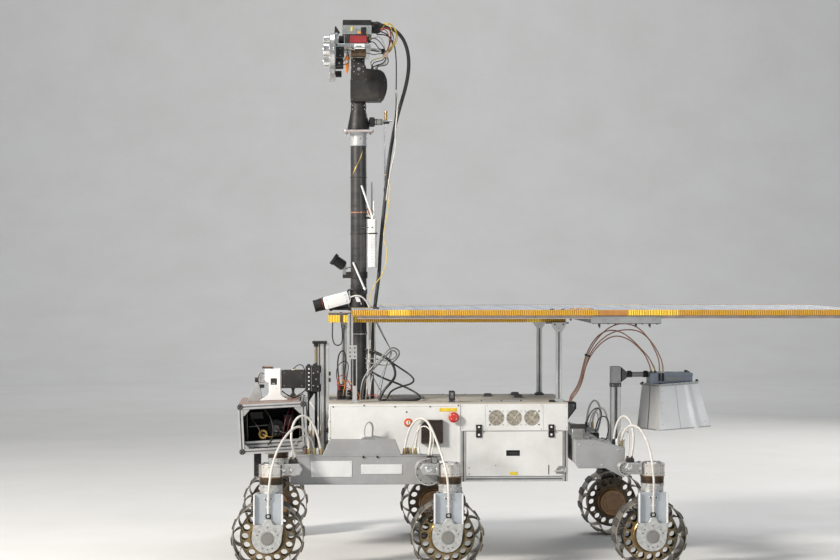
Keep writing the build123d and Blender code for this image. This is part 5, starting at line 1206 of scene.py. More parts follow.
# hinges on the panels
k = Kit("hinge_blocks")
for x in (145, 436):
    k.prism(rect(x - 12, 525.5, x + 12, 546.5, 2.5), (0, -284, 0), U, V, 5.2, PLASTIC, 1.0)
    k.prism(rect(x - 8.5, 529.5, x + 8.5, 543.5, 2.0), (0, -289, 0), U, V, 0.9, BLACK, 0.3)
    k.rod((x, -288.8, 536.8), (x, -291.6, 536.8), 4.3, WHITE_PLASTIC, 16, 0.8)
    for a, b in ((-11.5, -4.2), (4.2, 11.5)):
        k.rod((x + a, -290, 522), (x + b, -290, 522), 4.4, PLASTIC, 18, 0.6)
    k.rod((x - 12.5, -290, 522), (x + 12.5, -290, 522), 1.7, BRIGHT, 10, 0.4)
both(k)
k.make("chassis", "black_plastic", "door_hinges")


def door_kit(name):
    k = Kit(name)
    outer = rect(94.2, 339.6, 481.8, 519.2, 2.0)
    slot = rect(253, 419, 311, 445, 2.2)
    slit = rect(424, 345, 428.2, 384, 1.6, 2)
    k.plate(outer, [slot, slit], (0, -281.0, 0), U, V, 3.6, WHITE, 0.6)
    k.plate(rect(99, 344, 477, 515.5, 3), [rect(250, 416, 314, 448, 2), rect(421, 342.6, 431, 387, 1.5)], (0, -270.5, 0), U, V, 10.6, WHITE, 1.0)
    # handle cup
    k.plate(rect(249, 415, 315, 449, 3), [rect(254.5, 420.5, 309.5, 443.5, 1.6)], (0, -284.5, 0), U, V, 0.9, WHITE_PLASTIC, 0.3)
    k.box((282, -272.6, 432), (62, 3.4, 31), PLASTIC, 1.0)
    for cz in (418.6, 445.4):
        k.box((282, -276.6, cz), (62, 8, 2.6), PLASTIC, 0.6)
    for cx in (252.4, 311.6):
        k.box((cx, -276.6, 432), (2.6, 8, 29), PLASTIC, 0.6)
    k.box((282, -279.4, 440.0), (55, 3.0, 4.5), BLACK, 0.8)
    k.box((282, -276.4, 431.5), (46, 2.4, 2.2), DARK_GREY, 0.6)
    k.box((426, -272.6, 364.5), (10.4, 3.4, 45), PLASTIC, 1.0)
    # latch on the door's edge, reaching over the post
    k.prism([(455, 349), (486, 349), (486, 371), (479, 379), (466, 379), (455, 368)], (0, -284.6, 0), U, V, 2.6, GREY_METAL, 0.7)
    k.prism([(446, 358.2), (480, 356.5), (480, 364.5), (446, 362.6)], (0, -287.2, 0), U, V, 3.4, BRIGHT, 0.8)
    k.rod((480, -285, 364), (480, -294, 364), 7.2, MACHINED, 20, 1.0)
    k.rod((480, -294, 364), (480, -296.5, 364), 4.2, BRIGHT, 16, 0.8)
    k.prism([(480, 357), (497, 355.5), (499, 362), (497, 369), (480, 370)], (0, -285.6, 0), U, V, 3.2, MACHINED, 0.7)
    k.rod((492, -288.4, 376), (492, -286.0, 352), 1.7, BRIGHT, 10, 0.4)
    for x, z in ((459.5, 353.5), (461, 364)):
        button(k, (x, -287.2, z), (0, -1, 0), 1.8, DARK_GREY)
    # lower hinge leaves
    for x in (145, 436):
        k.prism(rect(x - 12, 494.5, x + 12, 519.5, 2.5), (0, -284.6, 0), U, V, 4.6, PLASTIC, 1.0)
        k.prism(rect(x - 8.5, 498, x + 8.5, 515, 2.0), (0, -289, 0), U, V, 0.9, BLACK, 0.3)
        k.rod((x, -288.8, 506.2), (x, -291.6, 506.2), 4.6, WHITE_PLASTIC, 16, 0.8)
        k.rod((x - 3.7, -290, 522), (x + 3.7, -290, 522), 4.4, PLASTIC, 18, 0.6)
        k.box((x, -288.2, 518.6), (7.4, 3.0, 5.4), PLASTIC, 0.6)
    for x, z in ((106, 373), (106, 349), (212, 383)):
        button(k, (x, -284.6, z), (0, -1, 0), 2.4 if x < 200 else 1.9, DARK_GREY)
    k.prism(rect(269, 344, 301, 357, 1.0), (0, -284.6, 0), U, V, 0.8, YELLOW, 0.25)
    # stiffeners on the inner face
    for z in (357, 502):
        k.box((288, -268.6, z), (350, 4.2, 12), WHITE, 1.0)
    for x in (116, 460):
        k.box((x, -268.6, 429.5), (12, 4.2, 130), WHITE, 1.0)
    k.tube((480, -270.6, 364), (480, -266.6, 364), 4, 8, MACHINED, 16, 0.4)
    return k


door_kit("door_left_detailed").make("door_left", "white_paint", "left_door")
door_kit("door_l").mirrored("door_right_detailed").make("door_right", "white_paint", "right_door")

# emergency stops
k = Kit("stop_buttons")
k.lathe([(0, 0), (17.5, 0), (18.2, 0.8), (18.2, 3.2), (17, 4.2), (14.5, 4.4), (14.2, 5.5), (14.2, 13.6), (12, 14.2), (0, 14.2)], (43, -284, 577), (0, -1, 0), PLASTIC, 32)
k.lathe([(0, 12.5), (15, 12.6), (19.8, 14.2), (21.0, 16.4), (21.0, 19.4), (19.6, 22.4), (15.5, 25.0), (9.5, 26.4), (4, 26.7), (0, 26.7)], (43, -284, 577), (0, -1, 0), RED, 40)
for t in range(3):
    a = math.radians(90 + 120 * t)
    k.box((43 + 11.5 * math.cos(a), -310.6, 577 + 11.5 * math.sin(a)), (6.5, 1.0, 1.8), WHITE_PLASTIC, 0.3, (-math.sin(a), 0, math.cos(a)), (0, 1, 0))
both(k)
k.make("chassis", "red_plastic", "emergency_stops")

# key switch, vents and boxes on and behind the body
k = Kit("body_fittings")
v = Kit("vent")
v.plate(rect(-87, 472, 1, 567, 3.0), [rect(-82.5, 476.5, -3.5, 562.5, 2)], (0, -284, 0), U, V, 20, BROWN_VENT, 1.2)
v.box((-43, -286, 519.5), (84, 3.6, 91), PLASTIC, 0.8)
for t in range(-13, 15):
    c = t * 9.0
    pts = []
    for xx, zz in [(-39.5, c - 39.5 * 0.8), (39.5, c + 39.5 * 0.8)]:
        pts.append(Vector((xx, 0, zz)))
    a, b = pts
    d = b - a
    lo, hi = 0.0, 1.0
    for bound, sign in ((43.0, 1), (-43.0, -1)):
        if abs(d.z) > 1e-6:
            s_at = (bound - a.z) / d.z
            if sign > 0:
                hi = min(hi, s_at)
            else:
                lo = max(lo, s_at)
    if hi - lo < 0.1:
        continue
    p, q = a + d * lo, a + d * hi
    mid = (p + q) / 2
    v.box((-43 + mid.x, -297.5, 519.5 + mid.z), ((q - p).length, 10.5, 1.9), BROWN_VENT, 0.5, d, Vector((0, 1, 0)) + d.normalized().cross(Vector((0, 1, 0))) * 0.35)
for x in (-84.6, -1.4):
    for z in (475, 564.3):
        button(v, (x, -304, z), (0, -1, 0), 1.7, GREY_METAL)
both(v)
take(k, v)
k.lathe([(0, 0), (17.2, 0), (17.2, 2.2), (15.8, 3.4), (12.6, 3.6), (12.4, 2.6), (0, 2.6)], (-138, -284, 555.5), (0, -1, 0), RED, 36)
k.lathe([(0, 2.0), (12.2, 2.2), (11.6, 4.8), (8.8, 5.6), (0, 5.6)], (-138, -284, 555.5), (0, -1, 0), ORANGE, 32)
k.lathe([(0, 5), (8.0, 5.2), (8.0, 8.0), (7.0, 9.0), (4.6, 9.0), (4.6, 8.2), (0, 8.2)], (-138, -284, 555.5), (0, -1, 0), WHITE_PLASTIC, 26)
k.box((-138, -292.6, 555.5), (2.2, 1.6, 8.0), PLASTIC, 0.3)
k.box((-138, -293.0, 561), (3.4, 1.2, 3.0), PLASTIC, 0.3)
# switch box on the deck's edge
k.prism([(-12, 0), (12, 0), (12, 42), (8, 46.5), (-12, 46.5)], (38, -249, 635), U, V, 26, PLASTIC, 1.4)
k.box((38.5, -275.4, 664), (15, 1.6, 24), DARK_GREY, 0.5)
k.lathe([(0, 0), (4.2, 0), (4.2, 1.6), (2.6, 1.8), (2.2, 6), (0, 6.6)], (38, -276, 668), (0, -1, 0), GREY_METAL, 14)
for x in (29.5, 46.5):
    button(k, (x, -275, 641), (0, -1, 0), 1.7, MACHINED)
k.box((38, -262, 636.2), (34, 32, 2.4), GREY_METAL, 0.6)
# bracket behind the body
k.prism([(503.4, 551), (521, 551), (557, 598), (557, 622), (549, 626), (503.4, 626)], (0, -62, 0), U, V, 44, BLACK, 1.6)
k.prism([(509, 556), (519, 556), (549, 596), (549, 616), (509, 616)], (0, -106, 0), U, V, 1.4, DARK_GREY, 0.5)
for x, z in ((513, 562), (513, 612), (545, 610)):
    k.screw((x, -107.2, z), (0, -1, 0), 3.0, GREY_METAL, 2.2)
k.box((507, -84, 588), (6, 60, 84), BLACK, 1.2)
for y in (-108, -60):
    for z in (556, 620):
        k.screw((510, y, z), (1, 0, 0), 2.6, GREY_METAL, 2.2)
# junction box near the mast
k.box((-404, -102, 666), (34, 40, 58), PLASTIC, 2.4)
k.box((-404, -102, 697), (38, 44, 7), DARK_GREY, 1.6)
k.box((-404, -102, 636.5), (46, 44, 3), GREY_METAL, 0.8)
for x in (-418, -390):
    for y in (-119, -85):
        button(k, (x, y, 700.4), (0, 0, 1), 2.0, MACHINED)
for x, z in ((-412, 652), (-396, 652), (-412, 676), (-396, 676)):
    k.lathe([(0, 0), (5.2, 0), (5.2, 3.5), (4.0, 4), (3.6, 9), (2.4, 10), (0, 10)], (x, -122, z), (0, -1, 0), BLACK, 12)
# block on the rear bogie's beam, under the radar boom
k.box((636, -60, 484), (36, 44, 24), BLACK, 2.0)
k.box((636, -60, 497), (28, 36, 3.6), GREY_METAL, 0.8)
for x in (624, 648):
    for y in (-76, -44):
        k.screw((x, y, 496.8), (0, 0, 1), 2.6, BRIGHT, 2.2)
k.make("chassis", "black_plastic", "body_controls")

# battery inside the rear half
k = Kit("battery_pack")
k.box((285, 0, 399), (300, 258, 146), PLASTIC, 3)
k.box((285, 0, 470), (296, 254, 9), DARK_GREY, 1.6)
for x in (195, 375):
    k.box((x, 0, 400.5), (24, 261, 151), STRAP, 1.6)
    for y in (-1, 1):
        k.box((x, y * 131, 430), (30, 3.2, 26), GREY_METAL, 0.8)
for y, m in ((-88, RED), (88, BLACK)):
    k.rod((152, y, 474), (152, y, 486), 7, BRIGHT, 18, 1)
    k.lathe([(0, 0), (12, 0), (12, 5), (9.5, 7), (9.5, 14), (7, 16), (0, 16)], (152, y, 474), (0, 0, 1), m, 20)
for z in (344, 372, 400, 428):
    for y in (-129.6, 129.6):
        k.box((285, y, z), (140, 1.6, 3.2), DARK_GREY, 0.5)
k.prism(rect(240, 352, 330, 392, 3), (0, -129.6, 0), U, V, 0.9, PLATE_PALE, 0.3)
k.make("chassis", "black_plastic", "battery")

# floor and back wall of the rear half
k = Kit("rear_walls")
k.plate(rect(93.5, -259.5, 500.5, 259.5, 3), [ring(285 + dx, dy, 9, 16) for dx in (-165, 165) for dy in (-200, 200)], (0, 0, 326), (1, 0, 0), (0, -1, 0), 6, WHITE, 0.8)
for x in (110, 197, 285, 373, 460):
    for y in (-250, 250):
        button(k, (x, y, 320), (0, 0, -1), 3, GREY_METAL)
        button(k, (x, y, 326), (0, 0, 1), 3, GREY_METAL)
slots = [rect(-200, z, -110, z + 5, 2.2) for z in range(420, 560, 14)] + [rect(110, z, 200, z + 5, 2.2) for z in range(420, 560, 14)]
k.plate(rect(-259.5, 338.5, 259.5, 608.5, 2), slots, (495, 0, 0), (0, 1, 0), V, 6, WHITE, 0.8)
for y in (-248, -124, 0, 124, 248):
    for z in (348, 599):
        button(k, (501, y, z), (1, 0, 0), 3, GREY_METAL)
for y, z in ((-20, 380), (20, 380), (60, 380)):
    connector(k, (501, y, z), (1, 0, 0), 9, 14, BLACK, PLASTIC)
k.prism(rect(-60, 540, 60, 580, 3), (501, 0, 0), (0, 1, 0), V, 1.2, PLATE_PALE, 0.4)
for z in range(420, 560, 14):
    for y in (-155, 155):
        k.box((499.6, y, z + 7.2), (2.0, 88, 6.0), WHITE, 0.6, (1, 0, -0.8), (0, 1, 0))
k.make("chassis", "white_paint", "rear_panels")

# deck: screws, seams, small fittings
k = Kit("deck_details")
for x in range(-440, 500, 94):
    for y in (-274, 274):
        button(k, (x, y, 635), (0, 0, 1), 3.6, GREY_METAL)
for y in (-180, -60, 60, 180):
    for x in (-446, 494):
        button(k, (x, y, 635), (0, 0, 1), 3.6, GREY_METAL)
k.prism(rect(66, -283, 74, 283), (0, 0, 635), (1, 0, 0), (0, 1, 0), 1.2, DECK, 0.5)
k.plate(rect(-250, -150, 40, 170, 8), [rect(-200, -60, -60, 110, 6)], (0, 0, 635), (1, 0, 0), (0, 1, 0), 2.0, DECK, 0.7)
k.box((-130, 25, 637.6), (132, 162, 5), DARK_GREY, 1.4)
for x in (-188, -72):
    for y in (-48, 98):
        button(k, (x, y, 640), (0, 0, 1), 2.6, MACHINED)
for x in (-242, -105, 32):
    for y in (-142, 162):
        button(k, (x, y, 637), (0, 0, 1), 3.0, MACHINED)
k.prism([(-13, 0), (13, 0), (13, 5), (7, 9.5), (-13, 9.5)], (441, -262, 635), U, V, 16, PLASTIC, 1.0)
k.prism(rect(150, -240, 330, -190, 4), (0, 0, 635), (1, 0, 0), (0, 1, 0), 2.2, PROFILE, 0.7)
for x in (160, 240, 320):
    k.screw((x, -215, 637.2), (0, 0, 1), 3.4, BLACK, 3)
for x, y in ((-330, 205), (210, 120), (330, 40), (330, 200)):
    k.box((x, y, 640.5), (34, 22, 11), DARK_GREY, 1.4)
    k.box((x, y, 646.8), (26, 15, 2.6), PLASTIC, 0.6)
    for dx in (-21.5, 21.5):
        k.box((x + dx, y, 636.4), (10, 14, 2.8), GREY_METAL, 0.6)
        button(k, (x + dx, y, 637.6), (0, 0, 1), 2.2, MACHINED)
k.make("chassis", "deck_paint")


# ---------------------------------------------------------------- panel boards
def tape_strip(k, x0, x1, s, m, z0=990.0, z1=1010.0, y=520.0, over=13.0, pitch=8.5, wave=2.3, out=0.0, step=1.7):
    """Tape folded over a board's long edge, rippled along its length."""
    n = max(2, int((x1 - x0) / step))
    verts, faces = [], []
    for i in range(n + 1):
        x = x0 + (x1 - x0) * i / n
        a = 0.5 * wave * (1 + math.cos(2 * math.pi * x / pitch)) + out + 0.22 * math.sin(x * 0.071) * (1 if wave else 0)
        for dy, dz in ((-over, z1 + 0.5 + a * 0.6), (0.2, z1 + 0.5 + a * 0.6), (1.0 + a, z1 - 0.9 + a * 0.4), (1.0 + a, z0 + 0.9 - a * 0.4), (0.2, z0 - 0.5 - a * 0.6), (-over, z0 - 0.5 - a * 0.6),
                       (-over, z0 + 0.1), (0.0, z0 + 0.1), (0.0, z1 - 0.1), (-over, z1 - 0.1)):
            verts.append((x, s * (y + dy), dz))
    for i in range(n):
        for j in range(10):
            faces.append((10 * i + j, 10 * i + (j + 1) % 10, 10 * (i + 1) + (j + 1) % 10, 10 * (i + 1) + j))
    faces.append((0, 1, 2, 3, 4, 5, 6, 7, 8, 9))
    faces.append(tuple(10 * n + j for j in range(9, -1, -1)))
    # drawn as one closed skin; two end caps close it
    k.add(verts, faces, m)


def cells(k, x0, x1, y0, y1, z, nx, ny, m, gap=3.2, skip=None):
    """Rows of thin tiles with clipped corners and two bus strips each."""
    wx, wy = (x1 - x0) / nx, (y1 - y0) / ny
    for i in range(nx):
        for j in range(ny):
            a, b, c, d = x0 + wx * i + gap / 2, x0 + wx * (i + 1) - gap / 2, y0 + wy * j + gap / 2, y0 + wy * (j + 1) - gap / 2
            if skip and skip((a + b) / 2, (c + d) / 2, wx / 2, wy / 2):
                continue
            q = 7.0
            k.prism([(a + q, c), (b - q, c), (b, c + q), (b, d - q), (b - q, d), (a + q, d), (a, d - q), (a, c + q)], (0, 0, z), (1, 0, 0), (0, 1, 0), 0.9, m, 0.25)
            for f in (0.32, 0.68):
                k.box(((a + b) / 2, c + (d - c) * f, z + 1.0), (b - a - 6, 1.5, 0.5), MACHINED, 0.15)


k = Kit("panel_board_front")
k.plate([(-365, -519.6), (654.4, -519.6), (654.4, 519.6), (-365, 519.6), (-365, 46), (-256, 46), (-256, -46), (-365, -46)], [], (0, 0, 990.4), (1, 0, 0), (0, 1, 0), 19.0, BOARD, 0.6)
cells(k, -358, 648, -504, 504, 1009.4, 8, 8, CELL, skip=lambda cx, cy, hx, hy: cx - hx < -250 and abs(cy) - hy < 50)
for s in (-1, 1):
    tape_strip(k, -366, -222, s, AMBER)
    # the brighter amber copy on this strip is painted light
    tape_strip(k, -222, -140, s, AMBER_BRIGHT, out=0.25)
    tape_strip(k, -140, 599, s, AMBER)
    tape_strip(k, 599, 655.4, s, SPLICE, wave=0.0, out=0.9, step=30)
for y0, y1 in ((-519, -47), (47, 519)):
    k.prism([(y0, 989.6), (y1, 989.6), (y1, 1010.4), (y0, 1010.4)], (-365.2, 0, 0), (0, 1, 0), V, 1.0, AMBER, 0.3)
k.box((-310, -47.2, 1000), (110, 2.0, 21), AMBER, 0.6)
k.box((-310, 47.2, 1000), (110, 2.0, 21), AMBER, 0.6)
k.box((-268, -300, 1013.4), (24, 30, 8), STRAP, 1.2)
k.box((-268, -300, 1017.6), (15, 20, 2.4), PLASTIC, 0.5)
for y in (-360, -120, 120, 360):
    k.box((150, y, 988.2), (960, 12, 3.4), MACHINED, 0.8)
k.make("chassis", "solar_board", "solar_panel_front")

k = Kit("panel_board_rear")
k.plate([(656.4, -519.6), (1663.9, -519.6), (1663.9, 519.6), (656.4, 519.6)], [], (0, 0, 990.4), (1, 0, 0), (0, 1, 0), 19.0, BOARD, 0.6)
cells(k, 664, 1656, -504, 504, 1009.4, 8, 8, CELL)
for s in (-1, 1):
    tape_strip(k, 656, 712, s, SPLICE, wave=0.0, out=0.9, step=30)
    # the brighter amber copy on this strip is painted light
    tape_strip(k, 712, 909, s, AMBER_BRIGHT, out=0.25)
    tape_strip(k, 909, 1664.2, s, AMBER)
k.prism([(-519, 989.6), (519, 989.6), (519, 1010.4), (-519, 1010.4)], (1663.4, 0, 0), (0, 1, 0), V, 1.0, AMBER, 0.3)
for y in (-360, -120, 120, 360):
    k.box((1160, y, 988.2), (960, 12, 3.4), MACHINED, 0.8)
k.make("chassis", "solar_board", "solar_panel_rear")

# lower board with its tape, strap and ribs
k = Kit("panel_board_lower")
k.plate([(-457.5, -234.5), (499.5, -234.5), (499.5, 234.5), (-457.5, 234.5)], [rect(-386.5, -46, -256, 46, 4)], (0, 0, 956.4), (1, 0, 0), (0, 1, 0), 13.2, BOARD, 0.6)
# dark plate filling the gap under the upper board: painted shade
k.plate([(-456, -228), (492, -228), (492, 228), (-456, 228)], [rect(-388, -48, -254, 48, 4)], (0, 0, 970), (1, 0, 0), (0, 1, 0), 12.5, DARK_GREY, 0.8)
for x in (-240, 60, 360):
    k.box((x, 0, 986.6), (20, 440, 6.4), MACHINED, 1.0)
    for y in (-200, -70, 70, 200):
        k.screw((x, y, 984), (0, 0, 1), 3.4, BLACK, 5.4)
for s in (-1, 1):
    # the brighter amber copy on some strips is painted light: the front ends stand out of the upper board's shadow
    tape_strip(k, -458, -411, s, AMBER_BRIGHT, 956, 983.6, 234.5, 10, wave=0.8)
    tape_strip(k, -399, -343, s, AMBER_BRIGHT, 956, 983.6, 234.5, 10, wave=0.8)
    tape_strip(k, -343, 343, s, AMBER, 956, 969.6, 234.5, 10, wave=0.8)
    tape_strip(k, 343, 399, s, AMBER_BRIGHT, 956, 969.6, 234.5, 10, wave=0.3)
    tape_strip(k, 399, 499.8, s, AMBER, 956, 969.6, 234.5, 10, wave=0.4)
    k.box((-405, s * 228, 970), (12, 17, 31), STRAP, 1.2)
k.box((-405, 0, 956.6), (12, 456, 2.0), STRAP, 0.6)
k.box((-457.6, 0, 970), (1.6, 466, 28.6), AMBER, 0.5)
k.box((499.4, 0, 963), (1.2, 466, 14.6), AMBER, 0.4)
k.make("chassis", "solar_board", "solar_panel_lower")

# rails under the edges and the tray across the splice
k = Kit("panel_rails")
for s in (-1, 1):
    rail = [(s * 490.2, 976), (s * 509.8, 976), (s * 509.8, 979), (s * 507.4, 979), (s * 507.4, 986.6), (s * 509.8, 986.6), (s * 509.8, 989.8), (s * 490.2, 989.8)]
    k.prism(rail if s > 0 else rail[::-1], (-345.5, 0, 0), (0, 1, 0), V, 2000, PINK_RAIL, 0.5)
    for x in range(-320, 1650, 96):
        if 560 < x < 850:
            continue
        button(k, (x, s * 507.6, 982.8), (0, s, 0), 2.6, GREY_METAL, 1.8)
    k.plate(rect(569, 958.4, 845, 987.6, 1.5, 2), [rect(x - 9, 968, x + 9, 976, 1.5, 2) for x in (623, 676, 770, 822)], (0, s * 510.9 + 1.05, 0), (1, 0, 0), V, 2.1, TRAY, 0.4)
    k.box((707, s * 509.3, 972.5), (268, 1.4, 24), TRAY, 0.4)
    k.box((707, s * 506.5, 957.0), (272, 10, 2.6), DARK_GREY, 0.6)
    for x, h in ((601, 15), (636, 4), (664, 6), (692, 4), (745, 13), (770, 5), (799, 14), (828, 5)):
        k.box((x, s * 508, 957 - h * 0.4), (9 if h > 8 else 6, 8, h * 0.8), PLASTIC, 1.0)
        if h > 8:
            k.box((x + 1.5, s * 508, 957 - h), (4, 5, 6), DARK_GREY, 0.6)
    for x in (577, 650, 723, 838):
        button(k, (x, s * 511.9, 963), (0, s, 0), 2.0, GREY_METAL, 1.4)
k.plate(rect(569.5, -499.5, 844.5, 499.5, 2), [rect(600, y, 814, y + 90, 8) for y in (-470, -350, -230, -110, 20, 140, 260, 380)], (0, 0, 958.2), (1, 0, 0), (0, 1, 0), 5.6, TRAY, 0.6)
for x in (572, 842):
    k.box((x, 0, 973), (3.2, 968, 25), TRAY, 0.8)
for x in (590, 650, 710, 770, 830):
    for y in (-486, 486, -6):
        button(k, (x, y, 958.2), (0, 0, -1), 3.2, GREY_METAL)
k.make("chassis", "profile_aluminium", "panel_frame")

# posts between the deck and the boards
k = Kit("panel_post_set")
extrusion(k, (-369, -256, 817), (-369, -256, 989.8), 21, PROFILE)
k.prism(rect(-381, 809, -343, 865, 1.5), (0, -268.5, 0), U, V, 3.0, PROFILE, 0.7)
for z in (820, 837, 854):
    k.screw((-352, -271.2, z), (0, -1, 0), 3.0, BLACK, 2.0)
    k.screw((-371, -271.2, z), (0, -1, 0), 3.0, BLACK, 2.0)
k.box((-352, -255, 734), (18, 21, 206), PROFILE, 1.4)
k.plate(rect(-361, 632, -343, 838, 1.0), [rect(-358.6, 702, -347, 817, 3)], (0, -265.4, 0), U, V, 2.8, PROFILE, 0.5)
k.box((-353, -265.6, 759.5), (12.5, 2.0, 117), BLACK, 0.4)
k.prism([(-371, 635), (-333, 635), (-333, 640), (-343, 645), (-361, 645), (-371, 640)], (0, -238, 0), U, V, 34, PROFILE, 0.8)
k.box((-369, -241.5, 945), (18, 12, 22), PROFILE, 1.2)
for x in (-367, -337):
    button(k, (x, -255, 641), (0, 0, 1), 3.0, BLACK)
extrusion(k, (-392, 215, 645), (-392, 215, 944), 22, PROFILE)
k.prism([(-411, 635), (-373, 635), (-373, 640), (-381, 646), (-403, 646), (-411, 640)], (0, 232, 0), U, V, 34, PROFILE, 0.8)
k.box((-392, 215, 938), (28, 33, 35), PROFILE, 1.6)
for z in (928, 946):
    k.screw((-392, 198.6, z), (0, -1, 0), 3.0, BLACK, 2.0)
for x, y in ((469, -250), (435, 215)):
    extrusion(k, (x, y, 645), (x, y, 922), 22, PROFILE)
    k.prism([(x - 19, 635), (x + 19, 635), (x + 19, 640), (x + 11, 647), (x - 11, 647), (x - 19, 640)], (0, y + 17, 0), U, V, 34, DARK_GREY if y > 0 else PROFILE, 0.8)
    # dark strip under the board on each post: painted shade
    k.box((x - 6, y, 952.6), (92, 24, 5), DARK_GREY, 1.0)
    k.prism([(x - 12, 918), (x + 12, 918), (x + 27, 940), (x + 27, 955.5), (x - 27, 955.5), (x - 27, 940)], (0, y + 17, 0), U, V, 34, PROFILE, 0.9)
    for dx in (-17, 17):
        k.screw((x + dx, y - 17, 947), (0, -1, 0), 3.2, BLACK, 2.2)
        button(k, (x + dx * 0.9, y, 641), (0, 0, 1), 2.8, BLACK)
    k.rod((x, y - 17, 930), (x, y - 20, 930), 5.5, MACHINED, 16, 0.6)
k.make("chassis", "profile_aluminium", "panel_posts")
# curled tape ends and tags that stand up along the upper board's near edge
curls = Leads("board_tape_curls", 2, 6)
# the brighter amber copy on some curls is painted light
for x, m in ((498, ORANGE), (512, AMBER_BRIGHT), (527, ORANGE), (541, AMBER_BRIGHT), (556, AMBER_BRIGHT), (570, ORANGE)):
    curls.add(3.4, [(x - 9, -484, 1011), (x - 4, -483, 1015 + (x % 4)), (x + 3, -481, 1017), (x + 8, -479, 1014), (x + 11, -474, 1011)], m)
for x, m in ((418, PLASTIC), (446, WHITE_LEAD), (464, PLASTIC), (478, WHITE_LEAD)):
    curls.add(3.6, [(x - 8, -478, 1011), (x - 2, -477, 1013.5), (x + 5, -476, 1013.5), (x + 10, -474, 1011)], m)
curls.make("chassis", "amber_tape")


# ---------------------------------------------------------------- mast
MX = -333.0
k = Kit("mast_tube_wound")
prof = [(30.2, 635), (33.0, 635)]
z = 640.0
while z < 1672:
    prof += [(33.05, z), (32.75, z + 1.2), (33.05, z + 2.4)]
    z += 17.0
prof += [(33.0, 1676), (30.2, 1676)]
k.lathe([(r, h) for r, h in prof], (MX, 0, 0), (0, 0, 1), TUBE_BLACK, 56, closed=True)
# foot flange with a clamp ring
k.lathe([(33.2, 635), (62, 635), (62, 641), (58, 643), (40, 643.5), (37.5, 646), (37.5, 672), (36.6, 673), (33.2, 673)], (MX, 0, 0), (0, 0, 1), BLACK, 48, closed=True)
for t in range(8):
    a = math.radians(22.5 + 45 * t)
    k.screw((MX + 51 * math.cos(a), 51 * math.sin(a), 642.6), (0, 0, 1), 3.6, GREY_METAL, 3.4)
k.box((MX - 41, 0, 660), (12, 26, 20), BLACK, 1.4)
k.rod((MX - 41, -17, 660), (MX - 41, 17, 660), 3.0, BRIGHT, 12)
# ties and tape bands
for z0, m, t in ((902, WHITE_PLASTIC, 3.2), (1096, PLASTIC, 4.0), (1315, PLASTIC, 4.4), (1402, COPPER_LEAD, 5), (1546, PLASTIC, 4)):
    k.tube((MX, 0, z0 - t / 2), (MX, 0, z0 + t / 2), 32.8, 34.6, m, 48, 0.4)
    k.box((MX + 10, -34.2, z0), (7, 5.5, t + 2.4), m, 0.7)
# copper ribbon near the top, running down and round to the front
ribbon_verts, ribbon_faces = [], []
stations = 44
for i in range(stations + 1):
    f = i / stations
    a = math.radians(-62 - 74 * (f ** 1.3))
    zc = 1656 - 96 * f
    for r, dz in ((33.1, -5), (34.1, -4.4), (34.1, 4.4), (33.1, 5)):
        ribbon_verts.append((MX + r * math.cos(a), r * math.sin(a), zc + dz * (1 + 0.2 * f)))
for i in range(stations):
    for j in range(4):
        ribbon_faces.append((4 * i + j, 4 * i + (j + 1) % 4, 4 * (i + 1) + (j + 1) % 4, 4 * (i + 1) + j))
ribbon_faces += [(3, 2, 1, 0), tuple(4 * stations + j for j in range(4))]
k.add(ribbon_verts, ribbon_faces, GOLD)
k.make("chassis", "black_tube", "mast_tube")

k = Kit("mast_collar_detailed")
k.lathe([(24, 1676), (36, 1676), (36.4, 1677), (36.4, 1680), (35.2, 1681), (35.2, 1699), (36.2, 1700), (36.2, 1712), (35.2, 1713), (35.2, 1726), (37.2, 1729), (37.2, 1732), (24, 1732)], (MX, 0, 0), (0, 0, 1), COLLAR_GREY, 56)
for t in range(8):
    a = math.radians(12 + 45 * t)
    button(k, (MX + 36.0 * math.cos(a), 36.0 * math.sin(a), 1706), (math.cos(a), math.sin(a), 0), 2.6, DARK_GREY)
k.prism(rect(-62, -62, 62, 62, 10, 4), (MX, 0, 1731.6), (1, 0, 0), (0, 1, 0), 8.4, PINKISH, 1.0)
for dx in (-50, 50):
    for dy in (-50, 50):
        k.screw((MX + dx, dy, 1739.6), (0, 0, 1), 4.4, BRIGHT, 4.2)
        k.lathe([(0, 0), (5.4, 0), (5.4, 4.2), (3, 4.6), (3, 6.6), (0, 6.6)], (MX + dx, dy, 1732), (0, 0, -1), GREY_METAL, 6)
k.lathe([(0, 1740), (48, 1740), (48, 1743), (45.8, 1745), (45.6, 1751), (44.0, 1758), (33.4, 1815), (32, 1822), (32, 1846), (30.6, 1847), (30, 1857), (12.4, 1857), (12.4, 1841), (0, 1841)], (MX, 0, 0), (0, 0, 1), BLACK, 56)
for z0 in (1826, 1842):
    k.screw((MX - 23, -24, z0), (-0.7, -0.72, 0), 3.2, BRIGHT, 2.6)
    k.screw((MX + 23, -24, z0), (0.7, -0.72, 0), 3.2, BRIGHT, 2.6)
for t in range(6):
    a = math.radians(60 * t)
    k.screw((MX + 40 * math.cos(a), 40 * math.sin(a), 1743.4), (0, 0, 1), 2.6, GREY_METAL, 2.2)
k.make("chassis", "black_metal", "mast_collar")

